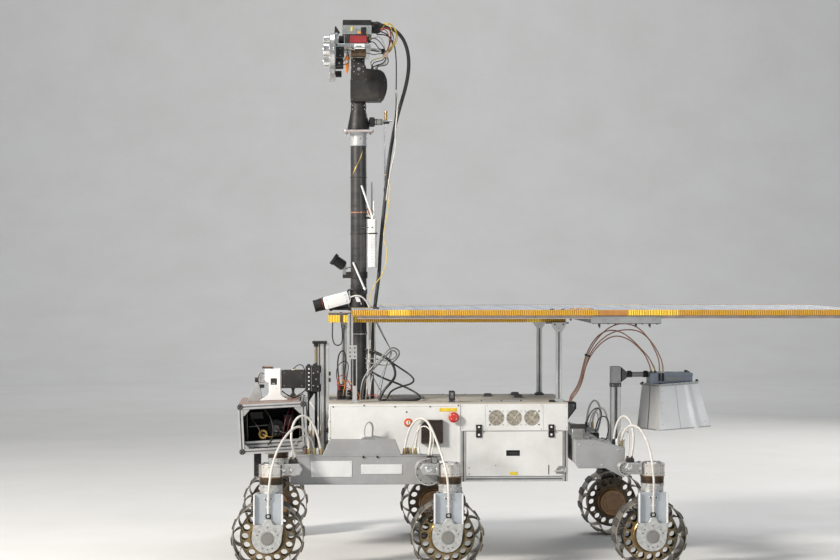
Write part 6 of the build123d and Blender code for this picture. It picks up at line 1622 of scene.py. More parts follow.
k = Kit("mast_side_arm")
k.box((-278, 0, 1775), (22, 30, 38), BLACK, 2.4)
k.rod((-289, 0, 1775), (-292, 0, 1775), 11, BLACK, 24, 0.8)
k.rod((-267, 0, 1775), (-233, 0, 1775), 13, GREY_METAL, 32, 1.4)
for x in (-260, -240):
    k.tube((x - 1.2, 0, 1775), (x + 1.2, 0, 1775), 12.5, 13.6, BLACK, 32, 0.3)
k.box((-215, 0, 1778.6), (38, 22, 6.6), MACHINED, 1.2)
k.box((-219, 0, 1771.4), (26, 18, 7.4), BLACK, 1.4)
k.lathe([(0, 1782), (8, 1782), (8, 1784), (6.6, 1785), (6.6, 1812), (7.8, 1813), (7.8, 1818), (6.8, 1820), (0, 1820)], (-220, 0, 0), (0, 0, 1), GOLD, 24)
k.lathe([(0, 1490), (2.2, 1490), (3, 1491.5), (3, 1768), (0, 1768)], (-225, 0, 0), (0, 0, 1), BRIGHT, 14)
k.lathe([(0, 1486), (4.6, 1488), (4.8, 1500), (3.2, 1503), (0, 1503)], (-225, 0, 0), (0, 0, 1), BLACK, 14)
for y in (-10, 10):
    for z0 in (1762, 1788):
        k.screw((-267, y, z0), (1, 0, 0), 2.2, BRIGHT, 1.6)
k.make("chassis", "black_metal", "mast_sensor_arm")

k = Kit("access_box")
box_pts = [(0, -55), (12, -55), (19, -48), (19, 48), (12, 55), (0, 55)]
half_ring = [(-333 + 277 + 33.2 * math.cos(math.radians(a)), 33.2 * math.sin(math.radians(a))) for a in range(40, -41, -8)]
outline = [(-19, -47), (-11, -55), (11, -55), (19, -47), (19, 47), (11, 55), (-11, 55), (-19, 47)]
left_side = [(x, y) for x, y in half_ring if x > -19]
outline = outline + [(-19, 27)] + left_side + [(-19, -27)]
k.prism(outline, (-277, 0, 1176), (1, 0, 0), (0, 1, 0), 198, WHITE_PLASTIC, 1.6)
k.prism(rect(-49, 1181, 49, 1369, 6), (-258.4, 0, 0), (0, 1, 0), V, 1.4, WHITE_PLASTIC, 0.5)
for y in (-43, 43):
    for z0 in (1187, 1363):
        button(k, (-257, y, z0), (1, 0, 0), 2.6, MACHINED, 1.2)
for y in (-32, -16, 0, 16, 32):
    k.box((-257.4, y, 1350), (1.4, 8, 3.2), DARK_GREY, 0.4)
for s in (-1, 1):
    k.prism(rect(-287, 1182, -267, 1368, 3), (0, s * 54.6, 0), (1, 0, 0), V, -0.9 * s if s > 0 else 0.9, WHITE_PLASTIC, 0.25)
    for z0 in range(1196, 1300, 12):
        k.box((-277, s * 55.4, z0), (14, 0.9, 2.4), PLATE_PALE, 0.2)
    k.rod((-277, s * 54.8, 1340), (-277, s * 57.2, 1340), 2.6, DARK_GREY, 12, 0.4)
for y0, y1, x0, x1 in ((-56.2, -56.2, -296, -258), (56.2, 56.2, -296, -258)):
    k.box(((x0 + x1) / 2, y0, 1315), (x1 - x0, 1.6, 5), PLASTIC, 0.5)
k.box((-257.2, 0, 1315), (1.6, 112, 5), PLASTIC, 0.5)
k.box((-290, 0, 1406), (17, 26, 28), COPPER_LEAD, 2.0)
k.box((-290, 0, 1380), (24, 34, 8), PLASTIC, 1.4)
k.make("chassis", "white_plastic", "access_point")

k = Kit("antenna_set")
for x0, y0, z0, x1, y1, z1 in ((-277, -40, 1375, -322, -46, 1504), (-277, 40, 1375, -277, 40, 1520), (-270, 0, 1375, -270, 0, 1440)):
    a, b = Vector((x0, y0, z0)), Vector((x1, y1, z1))
    k.lathe([(0, 0), (6, 0), (6, 3), (5.2, 4), (5.2, 12), (4.6, 16), (0, 16)], a, (0, 0, 1), WHITE_PLASTIC, 20)
    d = (b - a).normalized()
    n = (b - a).length
    k.lathe([(0, 0), (4.6, 0), (4.6, 16), (3.9, 18), (4.3, n * 0.5), (4.0, n - 9), (4.0, n - 2), (2.6, n), (0, n)], a + Vector((0, 0, 8)), d, WHITE_PLASTIC, 20)
    for h in (19, 22, 25):
        k.lathe([(3.6, h - 0.8), (4.9, h - 0.5), (4.9, h + 0.5), (3.6, h + 0.8)], a + Vector((0, 0, 8)), d, WHITE_PLASTIC, 20, closed=True)
k.make("chassis", "white_plastic", "antennas")

k = Kit("spot_lamp")
aim = Vector((-0.82, 0, 0.57)).normalized()
o = Vector((-392, 0, 1180))
k.lathe([(0, -2), (12, -2), (15, 0), (19.4, 1.5), (20, 4), (20, 42), (24.4, 44.6), (25, 47), (25, 57.4), (23.4, 58), (22.6, 57), (22.2, 52.6), (0, 52.6)], o, aim, BLACK, 40)
for h in (8, 14, 20, 26, 32, 38):
    k.lathe([(19.4, h - 1.5), (22.6, h - 1.2), (22.6, h + 1.2), (19.4, h + 1.5)], o, aim, BLACK, 40, closed=True)
u1, v1, w1 = basis(aim)
for t in range(7):
    a = math.radians(60 * t)
    c = o + aim * 52.4 + (u1 * math.cos(a) + v1 * math.sin(a)) * (12.4 if t < 6 else 0)
    k.lathe([(0, 0), (5.2, 0), (5.2, 1.2), (3.4, 3.2), (0, 4.0)], c, aim, PLATE_PALE, 14)
k.tube((MX, 0, 1131), (MX, 0, 1158), 33.0, 37, BLACK, 48, 0.8)
k.box((-379, 0, 1144.5), (40, 15, 26), BLACK, 1.6)
k.box((-392, -8.8, 1165), (15, 3.0, 38), GREY_METAL, 0.8)
k.box((-392, 8.8, 1165), (15, 3.0, 38), GREY_METAL, 0.8)
k.rod((-392, -12, 1178), (-392, 12, 1178), 4.2, BRIGHT, 14, 0.8)
for z0 in (1138, 1151):
    k.rod((-366, -10, z0), (-366, 10, z0), 2.6, BRIGHT, 12, 0.5)
# short stick aerial on the band
stick_a, stick_b = Vector((-307, -36, 1083)), Vector((-356, -38, 1197))
k.tube((MX, 0, 1066), (MX, 0, 1088), 33.0, 36, BLACK, 48, 0.8)
k.box((-307, -35, 1076), (16, 12, 20), PLASTIC, 1.4)
k.make("chassis", "black_plastic", "mast_lamp")
k = Kit("mast_stick_aerial")
d = (stick_b - stick_a)
n = d.length
k.lathe([(0, 0), (5.6, 0), (5.6, 10), (4.2, 12), (4.4, n * 0.6), (3.8, n - 2), (2.6, n), (0, n)], stick_a, d, WHITE_PLASTIC, 20)
k.lathe([(0, -9), (4.2, -8.4), (5.2, -6), (5.2, 1), (0, 1)], stick_a, d, BRASS, 16)
k.make("chassis", "white_plastic")

k = Kit("tilted_mast_camera")
tu, tv, tw = Vector((0.966, 0, 0.259)).normalized(), Vector((0, 1, 0)), Vector((-0.259, 0, 0.966))
o = Vector((-424, 0, 1040))


def tilted(a, b, c):
    return o + tu * a + tv * b + tw * c


shell = rect(-53, -26, 53, 26, 7, 4)
k.prism(shell, tilted(0, 32, 0), tu, tw, 64, WHITE_PLASTIC, 2.2)
k.prism(rect(-44, -18, 44, 18, 5, 3), tilted(0, -31.6, 0), tu, tw, 1.4, WHITE_PLASTIC, 0.5)
for a in (-39, 39):
    for c in (-13, 13):
        button(k, tilted(a, -32.8, c), tuple(-tv), 2.2, GREY_METAL, 1.0)
for a in range(-20, 24, 5):
    k.box(tilted(a, 0, 26.2), (2.0, 46, 1.6), PLATE_PALE, 0.4, tu, tv)
k.lathe([(0, 49), (27.4, 49), (27.4, 53), (25.4, 54.5), (24.6, 56), (24.6, 66), (25.4, 67), (25.4, 73), (24.6, 74), (24.6, 88), (25, 89), (25, 95.4), (23.6, 96), (22.6, 95), (20.4, 88), (0, 88)], o, -tu, BLACK, 44)
k.lathe([(24.2, 58.5), (25.7, 58.8), (25.7, 60.4), (24.2, 60.7)], o, -tu, RED, 44, closed=True)
k.lathe([(0, 89), (12, 88.8), (17.5, 86.6), (17.5, 85), (0, 85)], o, -tu, GLASS_DARK, 32)
k.lathe([(17, 87), (20.8, 87), (22.4, 94.6), (21.6, 94.8), (17, 90)], o, -tu, PLASTIC, 36, closed=True)
for t in range(24):
    a = math.radians(15 * t)
    uu, vv, ww = basis(-tu)
    c = o - tu * 61 + (uu * math.cos(a) + vv * math.sin(a)) * 25.0
    k.box(c, (2.2, 9.5, 1.4), BLACK, 0.3, (uu * -math.sin(a) + vv * math.cos(a)), -tu)
k.tube((MX, 0, 1012), (MX, 0, 1034), 33.0, 38, BLACK, 48, 0.8)
k.box((-398, 0, 1020.6), (84, 30, 7.5), BLACK, 1.4)
k.prism([(-372, 1016), (-440, 1016), (-452, 1004), (-452, 996), (-444, 996), (-430, 1008), (-372, 1008)], (0, 14, 0), U, V, 28, BLACK, 1.0)
k.box((-300, 0, 1012), (26, 22, 14), BLACK, 1.4)
for y in (-9, 9):
    k.screw((-440, y, 1024.4), (0, 0, 1), 2.8, BRIGHT, 2.0)
k.rod((-374, -18, 1022), (-374, 18, 1022), 2.8, BRIGHT, 12, 0.5)
k.make("chassis", "white_plastic", "mast_camera")
k = Kit("mast_small_items")
k.prism([(-8, -20), (8, -20), (8, 20), (-8, 20)], (-335, -35.4, 1040), (0.94, 0, 0.34), (-0.34, 0, 0.94), 1.6, WHITE_PLASTIC, 0.4)
k.box((-331, -37.3, 1051), (9, 0.8, 3), DARK_GREY, 0.2, (0.94, 0, 0.34), (0, 1, 0))
k.prism(rect(-456, 1000, -352, 1012, 3), (0, 16, 0), U, V, 32, BLACK, 1.2)
k.tube((MX, 0, 998), (MX, 0, 1012), 33.0, 44, BLACK, 44, 1.0)
k.box((-286, 0, 1006), (22, 30, 12), BLACK, 1.4)
k.box((-362, -14, 1068), (14, 12, 16), BLACK, 1.4)
k.make("chassis", "black_metal")
wires = Leads("mast_thin_wires", 2, 8)
wires.add(6.5, [(-378, -4, 1046), (-368, -26, 1052), (-350, -38, 1060), (-328, -42, 1060), (-306, -42, 1044), (-291, -42, 1016), (-284, -42, 980), (-284, -43, 930), (-286, -48, 880)], WHITE_LEAD)
wires.add(7, [(-376, 4, 1062), (-380, -10, 1076), (-374, -24, 1084), (-358, -32, 1086), (-344, -36, 1080), (-338, -38, 1062)], BLACK_LEAD)
wires.add(4, [(-385, -4, 1168), (-376, -20, 1178), (-356, -33, 1172), (-334, -38, 1140), (-320, -38, 1080), (-312, -40, 1010), (-308, -40, 960), (-300, -40, 900)], BLACK_LEAD)
wires.add(3.2, [(-225, -4, 1560), (-206, -20, 1530), (-205, -48, 1490), (-211, -58, 1438), (-217, -60, 1394), (-225, -60, 1350), (-233, -60, 1312), (-228, -62, 1273), (-217, -64, 1246), (-220, -64, 1202), (-231, -62, 1158), (-247, -60, 1130), (-266, -58, 1109), (-280, -54, 1078), (-287, -47, 1046), (-290, -44, 1010), (-292, -44, 950), (-290, -48, 900)], YELLOW_LEAD)
wires.add(3, [(-256, -30, 1338), (-270, -58, 1338), (-296, -50, 1340), (-328, -37, 1338), (-354, -28, 1330)], BLACK_LEAD)
wires.add(3.6, [(-300, 4, 1420), (-296, -26, 1400), (-291, -30, 1388), (-283, -36, 1379)], WHITE_LEAD)
# small wires round the foot of the mast
wires.add(3, [(-404, -122, 676), (-420, -136, 690), (-424, -140, 720), (-404, -136, 742), (-384, -120, 728), (-372, -104, 700), (-352, -92, 668), (-340, -88, 640)], RED_LEAD)
wires.add(3, [(-396, -122, 652), (-398, -138, 668), (-388, -146, 700), (-396, -150, 724), (-416, -146, 716), (-420, -130, 690), (-410, -122, 676)], ORANGE)
wires.add(3, [(-390, -96, 700), (-380, -110, 716), (-362, -116, 704), (-350, -112, 684), (-338, -104, 668), (-326, -96, 640)], ORANGE)
wires.add(3, [(-420, -84, 640), (-424, -100, 668), (-410, -132, 700), (-380, -140, 690), (-352, -128, 664), (-332, -110, 642)], RED_LEAD)
wires.add(4, [(-388, -90, 701), (-372, -110, 770), (-386, -116, 800), (-420, -118, 780), (-428, -112, 730), (-416, -112, 701)], BLACK_LEAD)
wires.add(3, [(-262, -30, 952), (-240, -52, 905), (-214, -70, 860), (-200, -80, 836), (-206, -86, 815), (-222, -92, 770), (-240, -96, 700), (-250, -98, 640)], BLACK_LEAD)
wires.add(3, [(-258, -24, 952), (-230, -60, 896), (-206, -74, 846), (-196, -84, 820), (-214, -88, 796), (-244, -90, 730), (-262, -92, 640)], GREY_LEAD)
wires.add(3, [(-300, -38, 830), (-290, -60, 760), (-262, -84, 700), (-236, -100, 660), (-222, -110, 640)], BLACK_LEAD)
wires.add(2.6, [(-310, -48, 640), (-296, -62, 656), (-276, -74, 650), (-262, -88, 660), (-246, -104, 640)], RED_LEAD)
wires.make("chassis", "black_cable")


# ---------------------------------------------------------------- pan unit and camera head
PZ, TZ = 1858.0, 1990.0
k = Kit("pan_unit_housing")
back_edge = [(92, PZ), (104, PZ + 14), (112, PZ + 34), (115.4, PZ + 52), (116, PZ + 66), (115, PZ + 84), (112, PZ + 100), (105, PZ + 115), (96, PZ + 124), (84, PZ + 129), (70, PZ + 131)]
cheek = [(-32, PZ)] + back_edge + [(34, PZ + 134)] + arc(0, TZ, 31, 5, 175, 20) + [(-32, TZ + 1)]
for y0 in (-33.4, 45):
    k.plate(cheek, [ring(0, TZ, 8.4, 24)], (MX, y0, 0), U, V, 11.6, BLACK, 1.6)
middle = [(-32, PZ + 0.6)] + back_edge + [(40, PZ + 133.4), (36.4, TZ)] + arc(0, TZ, 36.4, -10, -150, 16) + [(-32, TZ - 17.5)]
k.prism(middle, (MX, 33.4, 0), U, V, 66.8, BLACK, 0.8)
# seam, covers and screws
low = [(-33, PZ - 0.6), (92.6, PZ - 0.6), (105, PZ + 13.4), (113, PZ + 33.6), (116.6, PZ + 52), (117.2, PZ + 66), (116.2, PZ + 84), (114.6, PZ + 94), (-33, PZ + 94)]
k.prism(low, (MX, -44.6, 0), U, V, 1.8, BLACK, 0.7)
k.prism(low, (MX, 46.4, 0), U, V, 1.8, BLACK, 0.7)
k.prism(rect(-24, PZ + 10, 84, PZ + 84, 8), (MX, -46.2, 0), U, V, 1.0, PLASTIC, 0.4)
k.prism(rect(-24, PZ + 10, 84, PZ + 84, 8), (MX, 47.2, 0), U, V, 1.0, PLASTIC, 0.4)
for y, d in ((-46.4, -1), (46.4, 1)):
    for x, z in ((-27, PZ + 6), (-27, PZ + 88), (86, PZ + 6), (106, PZ + 86), (30, PZ + 88)):
        button(k, (MX + x, y, z), (0, d, 0), 2.6, DARK_GREY)
    for t in range(6):
        a = math.radians(60 * t + 30)
        button(k, (MX + 22 * math.cos(a), y - 1.4 * d, TZ + 22 * math.sin(a)), (0, d, 0), 2.4, GREY_METAL)
k.box((MX - 32.8, 0, PZ + 56), (2.4, 70, 74), BLACK, 1.0)
for y in (-30, 30):
    for z in (PZ + 24, PZ + 88):
        button(k, (MX - 34, y, z), (-1, 0, 0), 2.6, GREY_METAL)
for x, y in ((56, -22), (74, -22), (56, 0), (74, 0), (58, 22)):
    k.lathe([(0, 0), (6.2, 0), (6.2, 3), (4.8, 3.6), (4.8, 10), (3.8, 11), (0, 11)], (MX + x, y, PZ + 130.5), (0, 0, 1), PLASTIC if x < 70 else GREY_METAL, 16)
k.lathe([(0, 1842), (11.8, 1842), (11.8, 1852), (26, 1853), (30, 1854.5), (30, 1858.6), (0, 1858.6)], (MX, 0, 0), (0, 0, 1), BLACK, 40)
k.make("pan", "black_metal", "pan_unit")

k = Kit("camera_bench_detailed")
k.lathe([(0, -28), (26, -28), (29, -26.6), (29, -8), (28.2, -7.4), (28.2, 7.4), (29, 8), (29, 26.6), (26, 28), (0, 28)], (MX, 0, TZ), (0, 1, 0), BLACK, 40)
for d in (-1, 1):
    k.lathe([(0, 27), (8, 27), (8, 43), (7.2, 44), (4, 44), (3.4, 42), (0, 42)], (MX, 0, TZ), (0, d, 0), BRIGHT, 24)
k.box((MX, 0, 2021), (50, 54, 36), BLACK, 2.4)
k.box((MX, 0, 2040.4), (53, 56, 7.2), WHITE_PLASTIC, 1.2)
for x in (-18, 18):
    for y in (-28.6, 28.6):
        button(k, (MX + x, 27.2 if y > 0 else -27.2, 2026), (0, 1 if y > 0 else -1, 0), 2.6, GREY_METAL)
k.lathe([(0, 2043), (24, 2043), (28, 2045), (28, 2053), (30, 2055), (30, 2058.4), (0, 2058.4)], (MX, 0, 0), (0, 0, 1), GREY_METAL, 36)
holes = [rect(-392, y, -352, y + 44, 5) for y in (-150, -70, 26, 106)] + [ring(-308, y, 11, 18) for y in (-215, -120, 0, 120, 215)]
k.plate(rect(-430, -270, -286, 270, 3), holes, (0, 0, 2058.2), (1, 0, 0), (0, 1, 0), 12.6, MACHINED, 0.9)
k.plate(rect(-270, 2058.2, 270, 2114, 3), [rect(y, 2080, y + 60, 2104, 5) for y in (-170, -80, 20, 110)], (-429.8, 0, 0), (0, 1, 0), V, 9.6, MACHINED, 0.8)
for y in (-262, -180, -90, 0, 90, 180, 262):
    if abs(y) < 262:
        k.screw((-425, y, 2113.6), (0, 0, 1), 2.6, DARK_GREY, 1.8)
    k.screw((-429.6, y, 2065), (-1, 0, 0), 3.0, DARK_GREY, 2.2)
for y in (-150, 150):
    k.prism([(0, 0), (38, 0), (0, 34)], (-420, y + 4, 2070.4), (1, 0, 0), (0, 0, 1), 8, MACHINED, 0.9)
# round camera and slotted bracket hung under the near end, small items beside it
k.plate([(-354, 2050), (-312, 2050), (-312, 2071), (-354, 2071)], [rect(-347, 2055.5, -322, 2063, 3)], (0, -268, 0), U, V, 3.0, WHITE_PLASTIC, 0.6)
k.box((-333, -248, 2056), (46, 46, 4.6), MACHINED, 0.9)
MOTOR_BROWN = finish("motor_brown", (0.17, 0.11, 0.062), (0.10, 0.07, 0.045), scale=18, rough=(0.26, 0.4), metallic=0.8, grain=0.06)
k.lathe([(0, -31), (14, -31), (17.4, -29.5), (18.4, -27), (18.4, -8), (17.4, -7), (17.4, 14), (18.4, 15), (18.4, 25), (16, 28), (9, 29), (0, 29)], (-335, -226, 2037.6), (1, 0, 0), MOTOR_BROWN, 40)
for h in (-20, -15, 2, 8):
    k.lathe([(17.0, h - 0.8), (19.2, h - 0.6), (19.2, h + 0.6), (17.0, h + 0.8)], (-335, -226, 2037.6), (1, 0, 0), DARK_GREY, 40, closed=True)
k.box((-335, 226, 2040), (54, 34, 36), BLACK, 2.0)
k.prism([(-434, 2112), (-424, 2112), (-410, 2121), (-412, 2124), (-427, 2147), (-431, 2146)], (0, -196, 0), U, V, 16, BLACK, 1.0)
k.box((-424, -204, 2113), (14, 18, 5), BLACK, 0.8)
k.box((-382, -122, 2048), (22, 20, 19), WHITE_PLASTIC, 2.0)
k.prism([(-8, 0), (8, 0), (9, -24), (5, -58), (-1, -80), (-7, -66), (-11, -22)], (-380, -118, 2040), U, V, 5, ORANGE, 1.2)
k.box((-381, -124, 2012), (9, 5, 14), WHITE_PLASTIC, 0.9)
# bundle's tie behind the bench, on its small bracket
k.box((-262, -128, 2064), (54, 12, 4.6), MACHINED, 0.8)
k.lathe([(0, -13), (8, -12.4), (11, -9), (9.6, -4), (10.8, 0), (9.4, 5), (10.4, 9), (7, 12.4), (0, 13)], (-224, -130, 2044), (0.28, 0, 1), PEACH, 20)
k.lathe([(8.6, -2.4), (11.8, -2), (11.8, 2), (8.6, 2.4)], (-224, -130, 2044), (0.28, 0, 1), WHITE_PLASTIC, 20, closed=True)
k.box((-236, -128, 2054), (12, 14, 20), BLACK, 1.4)
k.make("camera_head", "machined_aluminium", "camera_bench")

k = Kit("filter_wheel_pair")
for s in (-1, 1):
    o = Vector((-452, s * 250, 2037))
    k.lathe([(0, 0), (70, 0), (76, 0.6), (78, 2.4), (78, 7.4), (76.8, 8.2), (76.8, 13.8), (78, 14.6), (78, 19.6), (76, 21.4), (70, 22), (0, 22)], o, (1, 0, 0), MACHINED, 64)
    for t in range(12):
        a = math.radians(30 * t + 15)
        c = o + Vector((0, 63 * math.cos(a), 63 * math.sin(a)))
        k.lathe([(0, -0.8), (6.8, -0.8), (7.4, 0.2), (7.4, 2), (0, 2)], c, (1, 0, 0), BRIGHT if t % 3 else GOLD, 16)
        button(k, o + Vector((22, 68 * math.cos(a), 68 * math.sin(a))), (1, 0, 0), 2.6, DARK_GREY)
        b = math.radians(30 * t)
        button(k, o + Vector((0, 72.5 * math.cos(b), 72.5 * math.sin(b))), (-1, 0, 0), 2.3, DARK_GREY)
    k.lathe([(0, 0), (28, 0), (28.4, 2), (27, 3), (27, 12), (28, 13), (28, 24.6), (27, 26), (24.4, 26), (21.5, 18), (0, 18)], (-452, s * 250, 2046), (-1, 0, 0), BRIGHT, 44)
    k.lathe([(0, 18.5), (10, 18.4), (16, 16.6), (16, 14), (0, 14)], (-452, s * 250, 2046), (-1, 0, 0), GLASS_DARK, 30)
    k.lathe([(16, 17), (21.4, 18), (24.2, 25.2), (23, 25.4), (16, 18.6)], (-452, s * 250, 2046), (-1, 0, 0), PLASTIC, 36, closed=True)
    k.lathe([(0, 0), (17, 0), (17, 9), (16, 10), (16, 24.6), (15, 26), (12.6, 26), (10.4, 19), (0, 19)], (-452, s * 218, 2090), (-1, 0, 0), MACHINED, 34)
    k.lathe([(0, 19.4), (6, 19.2), (9.6, 17.4), (9.6, 15), (0, 15)], (-452, s * 218, 2090), (-1, 0, 0), GLASS_DARK, 22)
    k.box((-410.6, s * 250, 2037), (33, 44, 42), BLACK, 2.0)
    k.box((-428.6, s * 250, 2037), (4, 46, 44), BRIGHT, 1.0)
    k.box((-402, s * 250, 2059.6), (14, 30, 5), BLACK, 1.2)
    for z in (2024, 2050):
        button(k, (-410, s * 272, z), (0, s, 0), 2.3, GREY_METAL)
    k.box((-414.6, s * 250, 1993.6), (26, 33, 25), PLASTIC, 1.8)
    k.box((-429, s * 250, 2009), (3.4, 20, 34), GREY_METAL, 0.8)
    k.rod((-414, s * 266, 1993), (-414, s * 270, 1993), 4.4, GREY_METAL, 16, 0.8)
k.make("camera_head", "machined_aluminium", "stereo_cameras")

k = Kit("head_instrument_set")
# near camera with its blank label
k.box((-343, -221, 2089.4), (94, 78, 36), BLACK, 2.2)
k.box((-393.4, -221, 2089.4), (4.4, 80, 37), BRIGHT, 1.0)
k.lathe([(0, 0), (17, 0), (17.4, 1), (17.4, 20), (15.8, 21), (13.6, 21), (11.6, 15), (0, 15)], (-395, -221, 2090), (-1, 0, 0), PLASTIC, 32)
k.lathe([(0, 15.4), (7, 15.2), (10.8, 13), (10.8, 11), (0, 11)], (-395, -221, 2090), (-1, 0, 0), GLASS_DARK, 24)
k.prism(rect(-371, 2075.5, -304, 2104.5, 1.5), (0, -259.6, 0), U, V, 1.2, RED_LABEL, 0.35)
for x in (-386, -299.5):
    for z in (2076, 2103):
        button(k, (x, -260, z), (0, -1, 0), 2.0, GREY_METAL)
for x in range(-380, -300, 8):
    k.box((x, -221, 2107.6), (3.0, 70, 2.0), BLACK, 0.5)
k.lathe([(0, 0), (7.6, 0), (7.6, 4), (6.4, 4.6), (6.4, 12), (5, 13), (0, 13)], (-296.4, -232, 2097), (1, 0, 0), BRASS, 20)
k.lathe([(0, 0), (6, 0), (6, 9), (4, 10), (0, 10)], (-296.4, -206, 2086), (1, 0, 0), BLACK, 16)
# orange strip, large grey unit and the dark box above
k.box((-322.5, -256, 2116), (37, 8, 8), ORANGE, 0.8, (0.995, 0, -0.09), (0, 1, 0))
k.box((-342, -160, 2127), (117, 199, 36), GREY_GREEN, 1.8)
for x in (-388, -346, -300):
    k.box((x, -160, 2127), (2.6, 201, 37.4), GREY_GREEN, 0.7)
k.prism([(-368, 2124), (-362, 2121), (-360, 2139), (-367, 2141)], (0, -259.4, 0), U, V, 1.2, YELLOW, 0.3)
k.box((-333, -259.6, 2137), (40, 1.4, 10), BEAM_GREY, 0.4)
k.prism(rect(-327, 2111, -306, 2138, 2), (0, -259.2, 0), U, V, 2.0, BLACK, 0.6)
for x in (-394, -290):
    for z in (2114, 2140):
        button(k, (x, -259.5, z), (0, -1, 0), 2.2, BRIGHT)
k.box((-342, -160, 2157), (115, 179, 23.4), BLACK, 2.0)
k.box((-342, -160, 2146.4), (118, 184, 3.0), DARK_GREY, 0.8)
for x in range(-390, -290, 9):
    k.box((x, -160, 2168.2), (3.4, 168, 1.8), BLACK, 0.5)
for x in (-394, -290):
    for y in (-244, -160, -76):
        k.screw((x, y, 2147.6), (0, 0, 1), 2.2, GREY_METAL, 1.8)
for y, z in ((-236, 2156), (-206, 2156), (-176, 2157), (-150, 2154), (-236, 2132), (-206, 2132), (-120, 2134)):
    big = z > 2150
    k.lathe([(0, 0), (8.4, 0), (8.4, 3), (7, 3.6), (7, 18), (8, 19), (8, 27), (6, 29), (4.4, 36), (0, 36)], (-285 if big else -284, y, z), (1, 0, 0), PLASTIC if big else BLACK, 18)
k.box((-279, -225, 2143), (14, 60, 12), BLACK, 1.6)
# far camera
k.box((-343, 200, 2090.4), (93, 89, 38), BLACK, 2.4)
k.box((-393, 200, 2090.4), (5, 90, 40), BRIGHT, 1.0)
k.lathe([(0, 0), (17, 0), (17.4, 1), (17.4, 20), (15.8, 21), (13.6, 21), (11.6, 15), (0, 15)], (-395, 200, 2091), (-1, 0, 0), PLASTIC, 32)
k.lathe([(0, 15.4), (7, 15.2), (10.8, 13), (10.8, 11), (0, 11)], (-395, 200, 2091), (-1, 0, 0), GLASS_DARK, 24)
k.prism(rect(-372, 2076, -304, 2104, 1.5), (0, 245.6, 0), U, V, 1.2, PLATE_PALE, 0.35)
for x in range(-380, -300, 8):
    k.box((x, 200, 2109.8), (3.0, 80, 1.8), BLACK, 0.5)
for y in (180, 216):
    k.lathe([(0, 0), (7.6, 0), (7.6, 4), (6.4, 4.6), (6.4, 12), (5, 13), (0, 13)], (-296.6, y, 2092), (1, 0, 0), BRASS, 20)
k.make("camera_head", "dark_instrument", "head_instruments")

wires = Leads("head_wire_bundle", 2, 8)
TIE = (-224, -130, 2044)
ends = [
    (5, BLACK_LEAD, [(-250, -236, 2156), (-222, -226, 2150), (-204, -196, 2122), (-206, -164, 2086), (-218, -138, 2058), TIE]),
    (4, BLACK_LEAD, [(-250, -206, 2156), (-218, -200, 2146), (-192, -176, 2110), (-196, -150, 2074), (-214, -134, 2054), TIE]),
    (4, YELLOW_LEAD, [(-250, -176, 2157), (-216, -176, 2166), (-192, -170, 2150), (-176, -160, 2118), (-180, -150, 2086), (-206, -138, 2062), TIE]),
    (4, YELLOW_LEAD, [(-248, -206, 2132), (-226, -206, 2160), (-202, -188, 2160), (-182, -170, 2128), (-184, -156, 2092), (-204, -140, 2070), (-222, -136, 2050)]),
    (3.4, YELLOW_LEAD, [(-250, -150, 2154), (-226, -160, 2166), (-206, -172, 2152), (-190, -176, 2100), (-200, -160, 2066), (-220, -140, 2050)]),
    (3.4, RED_LEAD, [(-248, -236, 2132), (-232, -236, 2136), (-214, -216, 2140), (-200, -186, 2104), (-210, -154, 2074), (-222, -136, 2052)]),
    (3.4, RED_LEAD, [(-248, -120, 2134), (-236, -132, 2146), (-218, -150, 2134), (-208, -160, 2092), (-216, -146, 2062), TIE]),
    (4, BLACK_LEAD, [(-284, -232, 2097), (-268, -232, 2097), (-252, -214, 2086), (-238, -176, 2074), (-228, -146, 2058), TIE]),
    (4, BLACK_LEAD, [(-287, -206, 2086), (-272, -206, 2084), (-262, -190, 2070), (-246, -160, 2056), (-230, -136, 2046), TIE]),
    (4, WHITE_LEAD, [(-288, -206, 2094), (-270, -212, 2102), (-250, -196, 2108), (-234, -160, 2090), (-228, -140, 2060), TIE]),
    (3.4, BLACK_LEAD, [(-316, -226, 2038), (-296, -226, 2038), (-276, -206, 2032), (-258, -170, 2040), (-240, -142, 2044), TIE]),
    (5, BLACK_LEAD, [(-248, -120, 2136), (-222, -118, 2130), (-198, -118, 2100), (-196, -122, 2070), (-212, -128, 2050), TIE]),
    (4, BLACK_LEAD, [(-284, 180, 2092), (-262, 176, 2090), (-248, 120, 2078), (-246, 20, 2078), (-246, -70, 2074), (-234, -116, 2058), TIE]),
    (4, BLACK_LEAD, [(-284, 216, 2092), (-258, 212, 2088), (-240, 140, 2076), (-238, 30, 2076), (-238, -60, 2072), (-228, -112, 2056), TIE]),
    (3.4, WHITE_LEAD, [(-398, -262, 2010), (-404, -268, 2040), (-392, -266, 2056), (-372, -262, 2052), (-352, -250, 2048)]),
    (3.4, BLACK_LEAD, [(-402, -256, 1996), (-388, -262, 2010), (-378, -262, 2040), (-384, -258, 2056)]),
    (3.4, BLACK_LEAD, [(-402, -244, 1990), (-384, -226, 1990), (-372, -190, 2010), (-374, -150, 2036), (-380, -132, 2046)]),
]
for dia, m, pts in ends:
    wires.add(dia, pts, m)
wires.make("camera_head", "black_cable")

